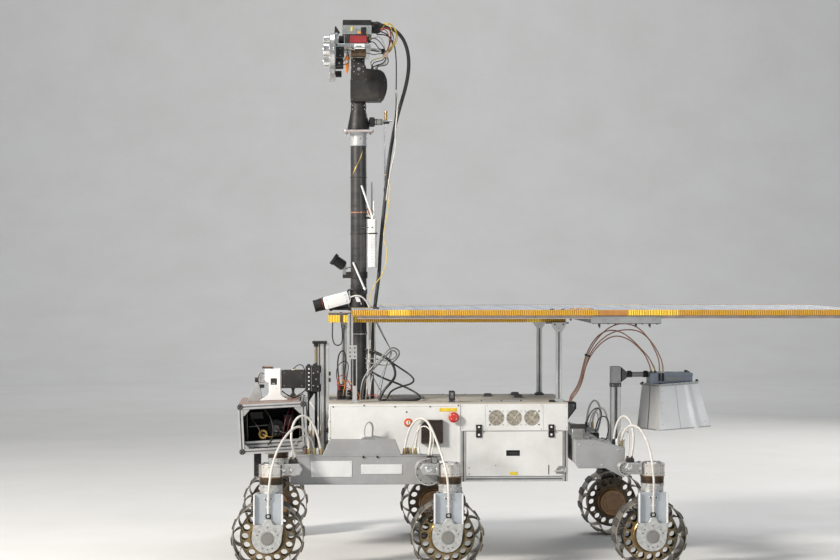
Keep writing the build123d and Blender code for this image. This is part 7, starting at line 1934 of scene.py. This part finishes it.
drop = Leads("head_to_pan_wires", 2, 8)
for dia, m, pts in [
    (5, BLACK_LEAD, [TIE, (-222, -120, 2026), (-232, -86, 2010), (-254, -48, 2006), (-266, -26, 2004), (-277, -22, 1998)]),
    (4.5, BLACK_LEAD, [TIE, (-212, -122, 2024), (-216, -84, 2004), (-238, -50, 2002), (-252, -28, 2004), (-259, -22, 1998)]),
    (4, BLACK_LEAD, [TIE, (-230, -112, 2022), (-250, -66, 2020), (-268, -22, 2020), (-277, -2, 2012), (-277, 0, 1998)]),
    (3.6, WHITE_LEAD, [TIE, (-218, -116, 2020), (-228, -72, 2006), (-246, -26, 2010), (-257, -4, 2006), (-259, 0, 1998)]),
    (3.6, YELLOW_LEAD, [TIE, (-236, -108, 2030), (-262, -60, 2030), (-282, -8, 2026), (-282, 16, 2012), (-275, 22, 1998)]),
]:
    drop.add(dia, pts, m)
drop_mesh = drop.make_mesh("black_cable")
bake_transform(drop_mesh)


# ---------------------------------------------------------------- front rail
RY = -60.0
k = Kit("front_rail_detailed")
extrusion(k, (-472, RY, 414), (-472, RY, 864), 34, PROFILE, (1, 0, 0), 9)
k.box((-457, RY, 640), (4.4, 41, 446), PROFILE, 1.0)
for z in (440, 520, 600, 700, 780, 850):
    for y in (-76, -44):
        if z < 625:
            k.screw((-459, y, z), (-1, 0, 0), 2.6, BLACK, 2.0)
k.prism(rect(-523, -88, -463, -32, 4, 3), (0, 0, 864), (1, 0, 0), (0, 1, 0), 10.4, BLACK, 1.2)
k.prism(rect(-523, -88, -463, -32, 4, 3), (0, 0, 407.2), (1, 0, 0), (0, 1, 0), 8, BLACK, 1.0)
for y in (RY - 14, RY + 14):
    k.lathe([(0, 786), (5.9, 786), (5.9, 864), (0, 864)], (-508, y, 0), (0, 0, 1), BRONZE, 20)
    k.lathe([(0, 411), (5.9, 411), (5.9, 786.2), (0, 786.2)], (-508, y, 0), (0, 0, 1), BLACK, 20)
    k.tube((-508, y, 852), (-508, y, 864.4), 5.8, 9.4, BLACK, 20, 0.8)
    k.tube((-508, y, 414.6), (-508, y, 426), 5.8, 9.4, BLACK, 20, 0.8)
# lead screw between the rods, seen as fine turns
turns = []
for i in range(150):
    z = 416 + i * 3.0
    turns += [(3.4, z), (2.7, z + 1.5)]
k.lathe([(0, 416)] + turns + [(0, 866)], (-494.5, RY, 0), (0, 0, 1), GREY_METAL, 12)
for x, y in ((-515, -80), (-515, -40), (-471, -80), (-471, -40)):
    k.screw((x, y, 874), (0, 0, 1), 2.8, GREY_METAL, 1.8)
k.box((-472, RY, 404), (26, 34, 7), PLASTIC, 1.4)
for z in (742, 716):
    k.box((-452.6, -84, z), (9, 9, 16), PLASTIC, 1.0)
k.make("chassis", "profile_aluminium", "front_rail")

# ---------------------------------------------------------------- carriage
k = Kit("drill_carriage_detailed")
rods = [ring(-508, RY - 14, 6.6, 20), ring(-508, RY + 14, 6.6, 20), ring(-494.5, RY, 5.2, 16)]
k.plate([(-548, -95), (-492, -95), (-492, -25), (-548, -25)], rods, (0, 0, 668), (1, 0, 0), (0, 1, 0), 30, BLACK, 1.2)
k.plate([(-546, -92), (-496, -92), (-496, -28), (-546, -28)], rods[:2], (0, 0, 697), (1, 0, 0), (0, 1, 0), 49, BLACK, 1.2)
k.plate([(-548, -95), (-492, -95), (-492, -25), (-548, -25)], rods, (0, 0, 745), (1, 0, 0), (0, 1, 0), 29, BLACK, 1.2)
k.prism(rect(-551, 670, -529, 774, 2.5), (0, -94.4, 0), U, V, 3.6, BLACK, 1.0)
k.prism(rect(-526, 684, -493, 756, 3), (0, -94.4, 0), U, V, 3.0, BLACK, 1.0)
k.box((-526.8, -95.6, 721), (2.0, 2.6, 98), GREY_METAL, 0.5)
k.box((-549.6, -95.6, 721), (1.8, 2.6, 102), GREY_METAL, 0.5)
for i in range(6):
    k.rod((-537, -97.6, 680 + i * 16.4), (-537, -99.4, 680 + i * 16.4), 3.3, WHITE_PLASTIC, 14, 0.6)
for x, z in ((-519, 745), (-519, 694), (-500, 750), (-500, 690), (-508, 720)):
    button(k, (x, -97.2, z), (0, -1, 0), 3.0, BRIGHT if x == -519 else GREY_METAL)
for z, h in ((777, 7), (663, 8)):
    k.box((-538, -72, z), (12, 20, h), PLASTIC, 1.2)
    k.box((-514, -48, z), (14, 24, h), PLASTIC, 1.2)
k.box((-539.5, RY, 599), (7, 69, 139), BLACK, 1.4)
for z in (541, 569, 629, 653):
    for y in (-84, -36):
        k.screw((-536.4, y, z), (1, 0, 0), 3.0, BRIGHT, 2.2)
k.prism([(0, 0), (26, 0), (0, -40)], (-536.4, -58, 668), (1, 0, 0), (0, 0, 1), 6, BLACK, 0.8)
k.make("drill_slide", "black_metal", "drill_carriage")

# ---------------------------------------------------------------- camera and its moulded stand
k = Kit("drill_camera_detailed")
CZ = 719
k.box((-601, RY, CZ), (95, 58, 72), PLASTIC, 2.0)
k.box((-647.4, RY, CZ), (4.6, 60, 74), BLACK, 1.4)
k.box((-554.8, RY, CZ), (5.4, 60, 74), BLACK, 1.4)
k.prism(rect(-641, CZ - 29, -562, CZ + 29, 3), (0, -88.8, 0), U, V, 1.4, PLASTIC, 0.5)
for x in (-637, -566):
    for z in (CZ - 26, CZ + 26):
        button(k, (x, -89.8, z), (0, -1, 0), 2.2, GREY_METAL)
for y in range(-84, -34, 7):
    k.box((-600, y, CZ + 36.4), (80, 3.0, 2.0), PLASTIC, 0.5)
k.box((-602, -76, CZ + 38.6), (15, 9, 5), WHITE_LEAD, 1.4)
k.box((-596, -74, CZ + 42), (6, 6, 5), YELLOW, 1.0)
k.lathe([(0, 0), (8, 0), (8, 4), (5.6, 6), (5.6, 22), (9.4, 24), (10.4, 26), (10.4, 34), (8.6, 37), (4, 39), (0, 39)], (-602, -66, CZ - 36), (0, 0, -1), PLASTIC, 24)
for t in range(12):
    a = math.radians(30 * t)
    k.box((-602 + 10.2 * math.cos(a), -66 + 10.2 * math.sin(a), CZ - 66), (1.8, 1.8, 8), PLASTIC, 0.3)
stand = [(-735, 631.6), (-624, 635.4), (-625, 640), (-636, 644), (-646, 651), (-651, 661), (-652.6, 694), (-652.6, 762.4), (-717, 762.4), (-717.5, 716), (-712, 709), (-701, 705), (-700, 664), (-706, 653), (-720, 644), (-734, 637)]
k.plate(stand, [rect(-692, 697, -667, 723, 1.5)], (0, -31.5, 0), U, V, 57, WHITE_PLASTIC, 1.6)
k.box((-679.5, RY, 710), (25.6, 52, 26.6), PLASTIC, 0.8)
k.box((-681, -87.2, 702), (12, 1.6, 6), GREY_METAL, 0.5)
k.tube((-677, -88.2, 686), (-677, -89.8, 686), 7.6, 9.8, WHITE_PLASTIC, 28, 0.5)
for x in (-727, -632):
    k.screw((x, -74, 637.4 if x < -700 else 642), (0, 0, 1), 3.0, BLACK, 2.6)
k.box((-706, RY, 766), (44, 42, 8), STRAP, 1.4, (1, 0, -0.05), (0, 1, 0))
k.box((-706, -74, 770.6), (30, 10, 3), COPPER_LEAD, 1.0)
k.box((-731, -62, 716), (26, 30, 24), MARBLED, 1.8)
k.box((-736, -76, 736), (20, 8, 20), MARBLED, 1.2)
k.box((-731, -76, 691), (24, 12, 14), BLACK, 1.4)
k.rod((-738, -84, 688), (-738, -70, 688), 7, PLASTIC, 16, 1.2)
k.lathe([(0, 0), (10, 0), (10, 12), (8.4, 14), (0, 14)], (-744, -60, 716), (-1, 0, 0), PLASTIC, 24)
for y in (-84, -36):
    k.prism([(-790, 627.6), (-726, 630.8), (-740, 702), (-752, 702)], (0, y, 0), U, V, 3.0, MARBLED, 0.8)
k.make("drill_slide", "black_plastic", "drill_camera")
w = Leads("drill_camera_wires", 2, 8)
w.add(5, [(-648, -80, 672), (-634, -84, 660), (-618, -78, 652), (-604, -72, 645), (-590, -78, 651), (-572, -84, 659), (-556, -82, 670), (-549, -78, 680)], BLACK_LEAD)
w.add(4, [(-640, -74, 666), (-626, -76, 654), (-610, -70, 646), (-596, -66, 642), (-580, -70, 650), (-560, -78, 658)], BLACK_LEAD)
w.add(3.4, [(-604, -66, 644), (-604, -70, 637), (-612, -84, 634), (-636, -96, 631)], RED_LEAD)
w.add(4, [(-553, -84, 746), (-556, -90, 768), (-568, -88, 780), (-588, -82, 776), (-602, -76, 760)], BLACK_LEAD)
w.add(3, [(-718, -80, 740), (-730, -88, 750), (-742, -86, 734), (-744, -84, 714), (-742, -84, 694)], BLACK_LEAD)
w.make("drill_slide", "black_cable")

# ---------------------------------------------------------------- drill box
tilt = math.radians(2.8)
DA, DB = Vector((math.cos(tilt), 0, math.sin(tilt))), Vector((-math.sin(tilt), 0, math.cos(tilt)))
DO = Vector((-681.6, 0, 530))


def drill(a, y, b):
    return DO + DA * a + DB * b + Vector((0, y, 0))


DV = (0, 1, 0)
k = Kit("drill_box_profiles")
for a in (-127, 127):
    for b in (-90, 90):
        extrusion(k, drill(a, -209.4, b), drill(a, 209.4, b), 20, PROFILE, DA)
        for y, d in ((-209.6, -1), (209.6, 1)):
            c = drill(a, y, b)
            k.lathe([(0, 0), (10.4, 0), (11.6, 0.6), (11.6, 2.0), (10.4, 2.8), (0, 2.8)], c, (0, d, 0), PLASTIC, 28)
            for t in range(4):
                m = c + DA * (6.4 * math.cos(math.pi / 2 * t)) + DB * (6.4 * math.sin(math.pi / 2 * t)) + Vector((0, d * 2.6, 0))
                k.lathe([(0, 0), (2.1, 0), (1.7, 0.9), (0, 0.9)], m, (0, d, 0), GREY_METAL, 10)
for y in (-200, 200):
    for b in (-90, 90):
        extrusion(k, drill(-116.5, y, b), drill(116.5, y, b), 20, PROFILE, DB)
    for a in (-127, 127):
        extrusion(k, drill(a, y, -79.5), drill(a, y, 79.5), 20, PROFILE, DA)
    for a, da in ((-117, 1), (117, -1)):
        pts = [(0, 0), (27, 0), (27, -5), (5, -27), (0, -27)]
        o = drill(a, y + (7 * da), 80)
        k.prism(pts, o, DA * da, DB, 14, MARBLED, 1.0)
        k.screw(drill(a + da * 17, y, 74.6), tuple(-DB), 3.2, BLACK, 2.6)
    k.prism([(0, 0), (18, 0), (18, 4), (4, 18), (0, 18)], drill(117, y - 6, -80), -DA, DB, 12, MARBLED, 0.9)
    k.prism([(0, 0), (18, 0), (18, 4), (4, 18), (0, 18)], drill(-117, y + 6, -80), DA, DB, 12, MARBLED, 0.9)
extrusion(k, drill(-116, -142, -66), drill(116, -142, -66), 26, PROFILE, DB)
k.box(drill(-84, -209.8, -76), (14, 1.8, 5), PLASTIC, 0.5, DA, DV)
k.make("drill_slide", "profile_aluminium", "drill_box_frame")

k = Kit("drill_box_inside")
k.box(drill(0, 0, 90), (234, 379, 3.6), BLACK, 0.8, DA, DV)
k.box(drill(0, 0, -90), (234, 379, 3.6), GREY_METAL, 0.8, DA, DV)
for a in (-127, 127):
    k.box(drill(a, 0, 0), (3.6, 379, 159), BLACK, 0.8, DA, DV)
k.box(drill(0, 188.6, 0), (233, 3.2, 159), BLACK, 0.8, DA, DV)
k.box(drill(-10, 0, 101.3), (246, 404, 2.0), BROWN_SHEET, 0.6, DA, DV)
for a in (-122, 104):
    for y in (-190, -64, 64, 190):
        button(k, drill(a, y, 101.8), tuple(DB), 3.0, GREY_METAL)
# drill unit: barrel, gearbox, rod magazine, coil and rails
k.lathe([(0, -100), (30, -100), (36, -97), (38, -92), (38, -60), (36.4, -58), (36.4, -30), (38, -28), (38, 50), (36, 58), (0, 60)], drill(10, 0, -10), (0, 1, 0), BLACK, 44)
k.lathe([(0, -112), (14, -112), (16, -109), (16, -99), (0, -99)], drill(10, 0, -10), (0, 1, 0), DARK_GREY, 28)
for t in range(6):
    a = math.radians(60 * t)
    button(k, drill(10 + 27 * math.cos(a), -99.4, -10 + 27 * math.sin(a)), (0, -1, 0), 3.0, DARK_GREY)
k.box(drill(10, -6, -56), (70, 150, 14), BLACK, 1.6, DA, DV)
k.box(drill(10, -6, -75), (40, 120, 26), BLACK, 1.6, DA, DV)
k.box(drill(62, -60, 22), (34, 90, 46), BLACK, 2.0, DA, DV)
k.box(drill(-66, -40, 46), (54, 120, 30), BLACK, 2.0, DA, DV)
# the green rods and the gold coil take darkened copies: painted shade of the box's inside
k.rod(drill(-98, -130, 4), drill(-22, -130, 7), 2.6, GREEN_DIM, 14, 0.8)
k.rod(drill(-108, -130, -88), drill(-108, -130, 88), 4.0, BLACK, 14, 0.8)
k.rod(drill(108, -130, -88), drill(108, -130, 88), 4.0, BLACK, 14, 0.8)
k.rod(drill(-60, -120, 84), drill(40, -120, 78), 2.4, GREEN_DIM, 14, 0.8)
for i in range(6):
    k.tube(drill(-42, -152 + i * 5.0, -28), drill(-42, -148.4 + i * 5.0, -28), 10.5 + 1.1 * (i % 3), 18.6 - 0.8 * (i % 3), GOLD_DIM, 34, 0.9)
k.rod(drill(-42, -152, -28), drill(-42, -108, -28), 7.2, BLACK, 22, 1.0)
k.box(drill(-42, -114, -60), (16, 18, 62), BLACK, 1.4, DA, DV)
k.make("drill_slide", "black_metal", "drill_box_panels")
w = Leads("drill_box_wires", 2, 8)


def route(*pts):
    return [tuple(drill(a, y, b)) for a, y, b in pts]


# the dim red and dim gold wires are darkened copies: painted shade of the box's inside
w.add(4, route((28, -112, -74), (38, -150, -40), (44, -158, -4), (52, -156, 30), (66, -146, 58), (74, -130, 84)), RED_DIM)
w.add(4, route((44, -112, -74), (52, -146, -44), (62, -158, 0), (76, -152, 40), (84, -140, 62), (90, -128, 84)), RED_DIM)
w.add(6, route((-30, -150, -80), (-6, -160, -50), (2, -160, -10), (-8, -150, 40), (-30, -140, 70), (-40, -130, 84)), BLACK_LEAD)
w.add(6, route((10, -112, -10), (20, -150, -14), (48, -160, -30), (76, -156, -10), (84, -140, 30), (84, -126, 84)), BLACK_LEAD)
w.add(4, route((-42, -152, -28), (-30, -164, -34), (-12, -166, -40), (6, -156, -36), (10, -120, -30)), GOLD_DIM)
w.add(4, route((-84, -140, 34), (-66, -160, 12), (-56, -166, -6), (-50, -160, -18), (-44, -150, -22)), BROWN_VENT)
w.make("drill_slide", "black_cable")

k = Kit("drill_lower_post")
k.box((-747, RY, 372.6), (29, 39, 102), BLACK, 1.6)
k.box((-747, RY, 323.4), (30, 40, 4.6), PLASTIC, 1.0)
k.box(drill(-66.6, RY, -102.5), (40, 50, 5), BLACK, 1.0, DA, DV)
k.box(drill(-21, RY, -105), (44, 40, 9), BLACK, 1.4, DA, DV)
k.box(drill(-20, RY, -112.5), (40, 34, 6), MACHINED, 1.0, DA, DV)
for z in (340, 365, 390):
    button(k, (-747, -79.6, z), (0, -1, 0), 2.6, DARK_GREY)
k.make("drill_slide", "black_metal", "drill_post")


# ---------------------------------------------------------------- radar boom
k = Kit("radar_boom_detailed")
extrusion(k, (731, 0, 458), (731, 0, 681), 41, PROFILE, (1, 0, 0), 11)
k.box((731, 0, 689.5), (44.5, 44.5, 16), DARK_GREY, 1.4)
k.box((731, 0, 731), (42, 42, 69), BOOM_CAP, 2.0)
k.box((731, 0, 763.6), (38, 38, 4), DARK_GREY, 1.0)
for z in (708, 752):
    for x in (717, 745):
        button(k, (x, -21, z), (0, -1, 0), 3.0, GREY_METAL)
        button(k, (x, 21, z), (0, 1, 0), 3.0, GREY_METAL)
for x in (717, 745):
    button(k, (x, -22.2, 689), (0, -1, 0), 2.4, BRIGHT)
k.box((731, 0, 446), (44, 44, 24), PROFILE, 1.4)
k.box((664, 0, 446), (92, 42, 24), PROFILE, 1.8)
k.box((672, 0, 459.6), (70, 40, 4), MACHINED, 0.9)
for x in (646, 690):
    for y in (-13, 13):
        k.screw((x, y, 461.4), (0, 0, 1), 3.6, BLACK, 3)
for y in (-19, 15):
    k.prism([(752, 700), (776, 718), (778, 742), (752, 764)], (0, y + 4, 0), U, V, 4, DARK_GREY, 0.7)
k.box((754.4, 0, 732), (5, 38, 60), DARK_GREY, 1.0)
k.box((771, 0, 732), (13, 26, 22), BLACK, 1.4)
for z in (712, 752):
    k.screw((756.6, -10, z), (1, 0, 0), 2.6, BRIGHT, 2)
    k.screw((756.6, 10, z), (1, 0, 0), 2.6, BRIGHT, 2)
k.lathe([(0, 776), (10.5, 776), (10.5, 868), (0, 868)], (0, 0, 732), (1, 0, 0), BEAM_GREY, 28)
for x in (789, 857):
    k.lathe([(10.1, x - 11), (11.6, x - 11), (12.3, x - 10), (12.3, x - 1), (11.5, x - 0.4), (11.5, x + 0.4), (12.3, x + 1), (12.3, x + 10), (11.6, x + 11), (10.1, x + 11)], (0, 0, 732), (1, 0, 0), BLACK, 28, closed=True)
    k.box((x, 0, 744.4), (16, 10, 5), BLACK, 1.0)
    for d in (-4.5, 4.5):
        k.screw((x + d, 0, 746.6), (0, 0, 1), 2.0, BRIGHT, 1.6)
ht = math.radians(3.3)
HA, HN = Vector((math.cos(ht), 0, math.sin(ht))), Vector((-math.sin(ht), 0, math.cos(ht)))
HO = Vector((958, 0, 696))


def horn_at(a, y, n):
    return HO + HA * a + HN * n + Vector((0, y, 0))


def on_plate(x, lift=4.4):
    return 696 + (x - 958) * math.tan(ht) + lift


# wedge-shaped head: a tray with a lid
k.prism([(868, on_plate(868)), (1044, on_plate(1044)), (1044, 728), (868, 728)], (0, 55, 0), U, V, 110, BLUE_HEAD, 1.4)
k.prism([(866.5, 727), (1045.5, 727), (1045.5, 738), (1042, 741), (870, 741), (866.5, 738)], (0, 56, 0), U, V, 112, BLUE_HEAD, 1.2)
for x in (878, 956, 1034):
    for y, d in ((-56, -1), (56, 1)):
        button(k, (x, y, 733.6), (0, d, 0), 2.4, GREY_METAL)
for x, y in ((878, 46), (1034, -46), (878, -46), (956, -46), (956, 46)):
    button(k, (x, y, 741), (0, 0, 1), 2.8, GREY_METAL)
for x, y, r in ((876, -35, 5.5), (892, -35, 5.5), (1030, 30, 7.5), (907, -59.6, 4.6), (921, -59.6, 4.6)):
    if y < -50:
        k.box((x, -57.4, 722), (9, 4.4, 30), PLASTIC, 1.0)
        k.lathe([(0, 0), (4.0, 0), (4.0, 5), (2.6, 6), (0, 6)], (x, y, 737), (0, 0, 1), PLASTIC, 12)
    else:
        k.lathe([(0, 0), (r + 1.6, 0), (r + 1.6, 1.6), (r, 2), (r, 6.4), (r - 1, 7.4), (0, 7.4)], (x, y, 741), (0, 0, 1), DARK_GREY, 20)
k.box((1030, 2, 743), (20, 12, 4.4), DARK_GREY, 1.0)
k.prism(rect(930, 707, 1000, 722, 2), (0, -55.4, 0), U, V, 0.9, BEAM_GREY, 0.25)
k.make("chassis", "profile_aluminium", "radar_boom")

# ---------------------------------------------------------------- horn of folded sheet
turn = math.radians(17.0)


def square(half, shift=0.0):
    c, s = math.cos(turn), math.sin(turn)
    return [(shift + x * c - y * s, x * s + y * c) for x, y in ((-half, -half), (half, -half), (half, half), (-half, half))]


k = Kit("radar_horn_folded")
k.plate(square(91), [], horn_at(0, 0, 0.6), HA, (0, 1, 0), 3.4, MACHINED, 0.7)
top, low = square(85), square(113.4, 6)


def sheet(i, f0, f1, lift, m, thick=2.2, n=12, rows=10, folds=()):
    """One flat-ish strip of a funnel wall, from f0 to f1 of its width, as a closed sheet with pressed folds."""
    a0, a1, b0, b1 = Vector(top[i]), Vector(top[(i + 1) % 4]), Vector(low[i]), Vector(low[(i + 1) % 4])
    d = (a1 - a0).normalized()
    out = Vector((d.y, -d.x))
    verts, faces = [], []
    for layer in (0, 1):
        for j in range(n + 1):
            f = f0 + (f1 - f0) * j / n
            for t in range(rows + 1):
                g = t / rows
                q = a0.lerp(b0, g).lerp(a1.lerp(b1, g), f)
                dish = -2.0 * math.sin(math.pi * f) * math.sin(math.pi * (0.1 + 0.85 * g))
                press = sum(w * max(0.0, 1 - abs(f - c) * 15) for c, w in folds)
                q = q + out * (lift + dish - press + (thick if layer == 0 else 0.0))
                verts.append(horn_at(q.x, q.y, -186 * g))
    row = rows + 1
    size = (n + 1) * row
    for j in range(n):
        for t in range(rows):
            q0, q1, q2, q3 = j * row + t, j * row + t + 1, (j + 1) * row + t + 1, (j + 1) * row + t
            faces.append((q0, q1, q2, q3))
            faces.append((size + q3, size + q2, size + q1, size + q0))
        for t, flip in ((0, False), (rows, True)):
            q0, q1 = j * row + t, (j + 1) * row + t
            f4 = (q0, q1, size + q1, size + q0)
            faces.append(f4[::-1] if flip else f4)
    for t in range(rows):
        for j, flip in ((0, True), (n, False)):
            q0, q1 = j * row + t, j * row + t + 1
            f4 = (q0, q1, size + q1, size + q0)
            faces.append(f4[::-1] if flip else f4)
    k.add(verts, faces, m)


sheet(0, 0.003, 0.395, 0, HORN)
sheet(0, 0.402, 0.997, 0, HORN, folds=((0.72, -1.6),))
sheet(0, 0.385, 0.415, -1.6, HEM, 1.4, 4)
sheet(3, 0.003, 0.43, 0, HORN)
sheet(3, 0.475, 0.997, 0, HORN, folds=((0.88, -1.4),))
sheet(3, 0.41, 0.495, -2.6, DARK_GREY, 1.6, 4)
for i in (1, 2):
    sheet(i, 0.003, 0.47, 0, HORN)
    sheet(i, 0.477, 0.997, 0, HORN)
    sheet(i, 0.46, 0.487, -1.6, HEM, 1.4, 4)
for i in range(4):
    a0, a1, b0, b1 = Vector(top[i]), Vector(top[(i + 1) % 4]), Vector(low[i]), Vector(low[(i + 1) % 4])
    d = (a1 - a0).normalized()
    out = Vector((d.y, -d.x))
    mid, lowm = (a0 + a1) / 2, (b0 + b1) / 2
    k.box(horn_at(mid.x + out.x * 3.0, mid.y + out.y * 3.0, -3.6), (168, 4.0, 6.8), MARBLED, 0.8, HA * d.x + Vector((0, d.y, 0)), HN)
    k.box(horn_at(lowm.x + out.x * 0.6, lowm.y + out.y * 0.6, -182.6), (225, 5.2, 2.4), HEM, 0.8, HA * d.x + Vector((0, d.y, 0)), HN)
    face = tuple(HA * out.x + Vector((0, out.y, 0)))
    for f in (0.08, 0.36, 0.64, 0.92):
        m = a0.lerp(a1, f)
        button(k, horn_at(m.x + out.x * 5.0, m.y + out.y * 5.0, -3.8), face, 1.8, GREY_METAL, 1.0)
    # rivets along the corner overlap
    for g in (0.14, 0.38, 0.62, 0.86):
        m = a0.lerp(b0, g) + d * 8 + out * 2.0
        button(k, horn_at(m.x, m.y, -186 * g), face, 2.0, GREY_METAL, 0.9)
for x, y in square(86):
    k.lathe([(0, 0), (4.4, 0), (4.4, 4), (3, 5), (0, 5)], horn_at(x * 0.98, y * 0.98, 4), HN, BLACK, 14)
    k.lathe([(0, 0), (4, 0), (4, 3), (0, 3.4)], horn_at(x * 0.97, y * 0.97, 0.6), -HN, BLACK, 6)
for a in (-112, 108):
    k.box(horn_at(a, 0, 2.2), (26, 16, 3.0), MARBLED, 0.7, HA, (0, 1, 0))
    k.lathe([(0, -2), (5.4, -2), (5.4, 6), (4, 7.6), (0, 7.6)], horn_at(a * 1.05, 0, 1.6), HN, BLACK, 16)
k.rod(horn_at(0, 0, -40), horn_at(0, 0, 0.4), 9, GREY_METAL, 20, 1.0)
k.rod(horn_at(0, 0, -84), horn_at(0, 0, -38), 3.0, BRASS, 14, 0.8)
k.make("chassis", "horn_sheet", "radar_horn")

# sleeve ends and the tie on the radar leads
k = Kit("radar_lead_fittings")
k.lathe([(0, -4), (12, -4), (13, -2.5), (13, 2.5), (12, 4), (0, 4)], (605, -89, 814), (0.38, 0, 1), BLACK_LEAD, 22)
for x, y, z, dx in ((907, -59.8, 744, 0.05), (921, -59.6, 744, 0.02), (892, -35, 748, 0.3), (876, -35, 748, 0.3)):
    k.lathe([(0, 0), (3.4, 0), (3.4, 16), (3.0, 18), (3.0, 26), (0, 26)], (x - dx * 2, y, z - 1), (-dx, 0, 1), BRASS, 14)
k.make("chassis", "brass_fittings")

SOFTENED = {}


# ---------------------------------------------------------------- finish of the CAD nodes that show as they are
NODE_FINISH = {
    "access_point": WHITE_PLASTIC, "antennas": WHITE_PLASTIC, "battery": PLASTIC, "body_controls": PLASTIC, "bogie_pivots": MACHINED,
    "camera_bench": MACHINED, "deck_plate": DECK, "door_hinges": PLASTIC, "drill_box_frame": PROFILE, "drill_box_panels": BLACK,
    "drill_camera": PLASTIC, "drill_carriage": BLACK, "drill_post": BLACK, "emergency_stops": RED, "fan_panels": WHITE, "front_body": WHITE,
    "front_rail": PROFILE, "head_instruments": DARK_GREY, "lead_connectors": BRASS, "left_bogie": BEAM_GREY, "right_bogie": BEAM_GREY,
    "left_door": WHITE, "right_door": WHITE, "leg_arms": GREY_METAL, "mast_camera": WHITE_PLASTIC, "mast_collar": BLACK, "mast_lamp": PLASTIC,
    "mast_sensor_arm": BLACK, "mast_tube": TUBE_BLACK, "pan_unit": BLACK, "panel_frame": PROFILE, "panel_posts": PROFILE, "radar_boom": PROFILE,
    "radar_horn": HORN, "rear_bogie": BEAM_GREY, "rear_frame": PROFILE, "rear_panels": WHITE, "solar_panel_front": BOARD,
    "solar_panel_lower": BOARD, "solar_panel_rear": BOARD, "steering_motors": MACHINED, "stereo_cameras": MACHINED,
}
for n, obj in nodes.items():
    m = NODE_FINISH.get(n)
    if m is None:
        m = LEG_BLUE if n.startswith("leg_") and n != "leg_leads" else BRONZE if n.startswith("wheel_") else BLACK_LEAD
    for i in range(len(obj.data.materials)):
        obj.data.materials[i] = m
    if not obj.hide_render and n in SOFTENED:
        edge = obj.modifiers.new("edge_round", "BEVEL")
        edge.width, edge.segments, edge.limit_method, edge.angle_limit = SOFTENED[n] / 1000, 2, "ANGLE", math.radians(40)
        edge.harden_normals = True
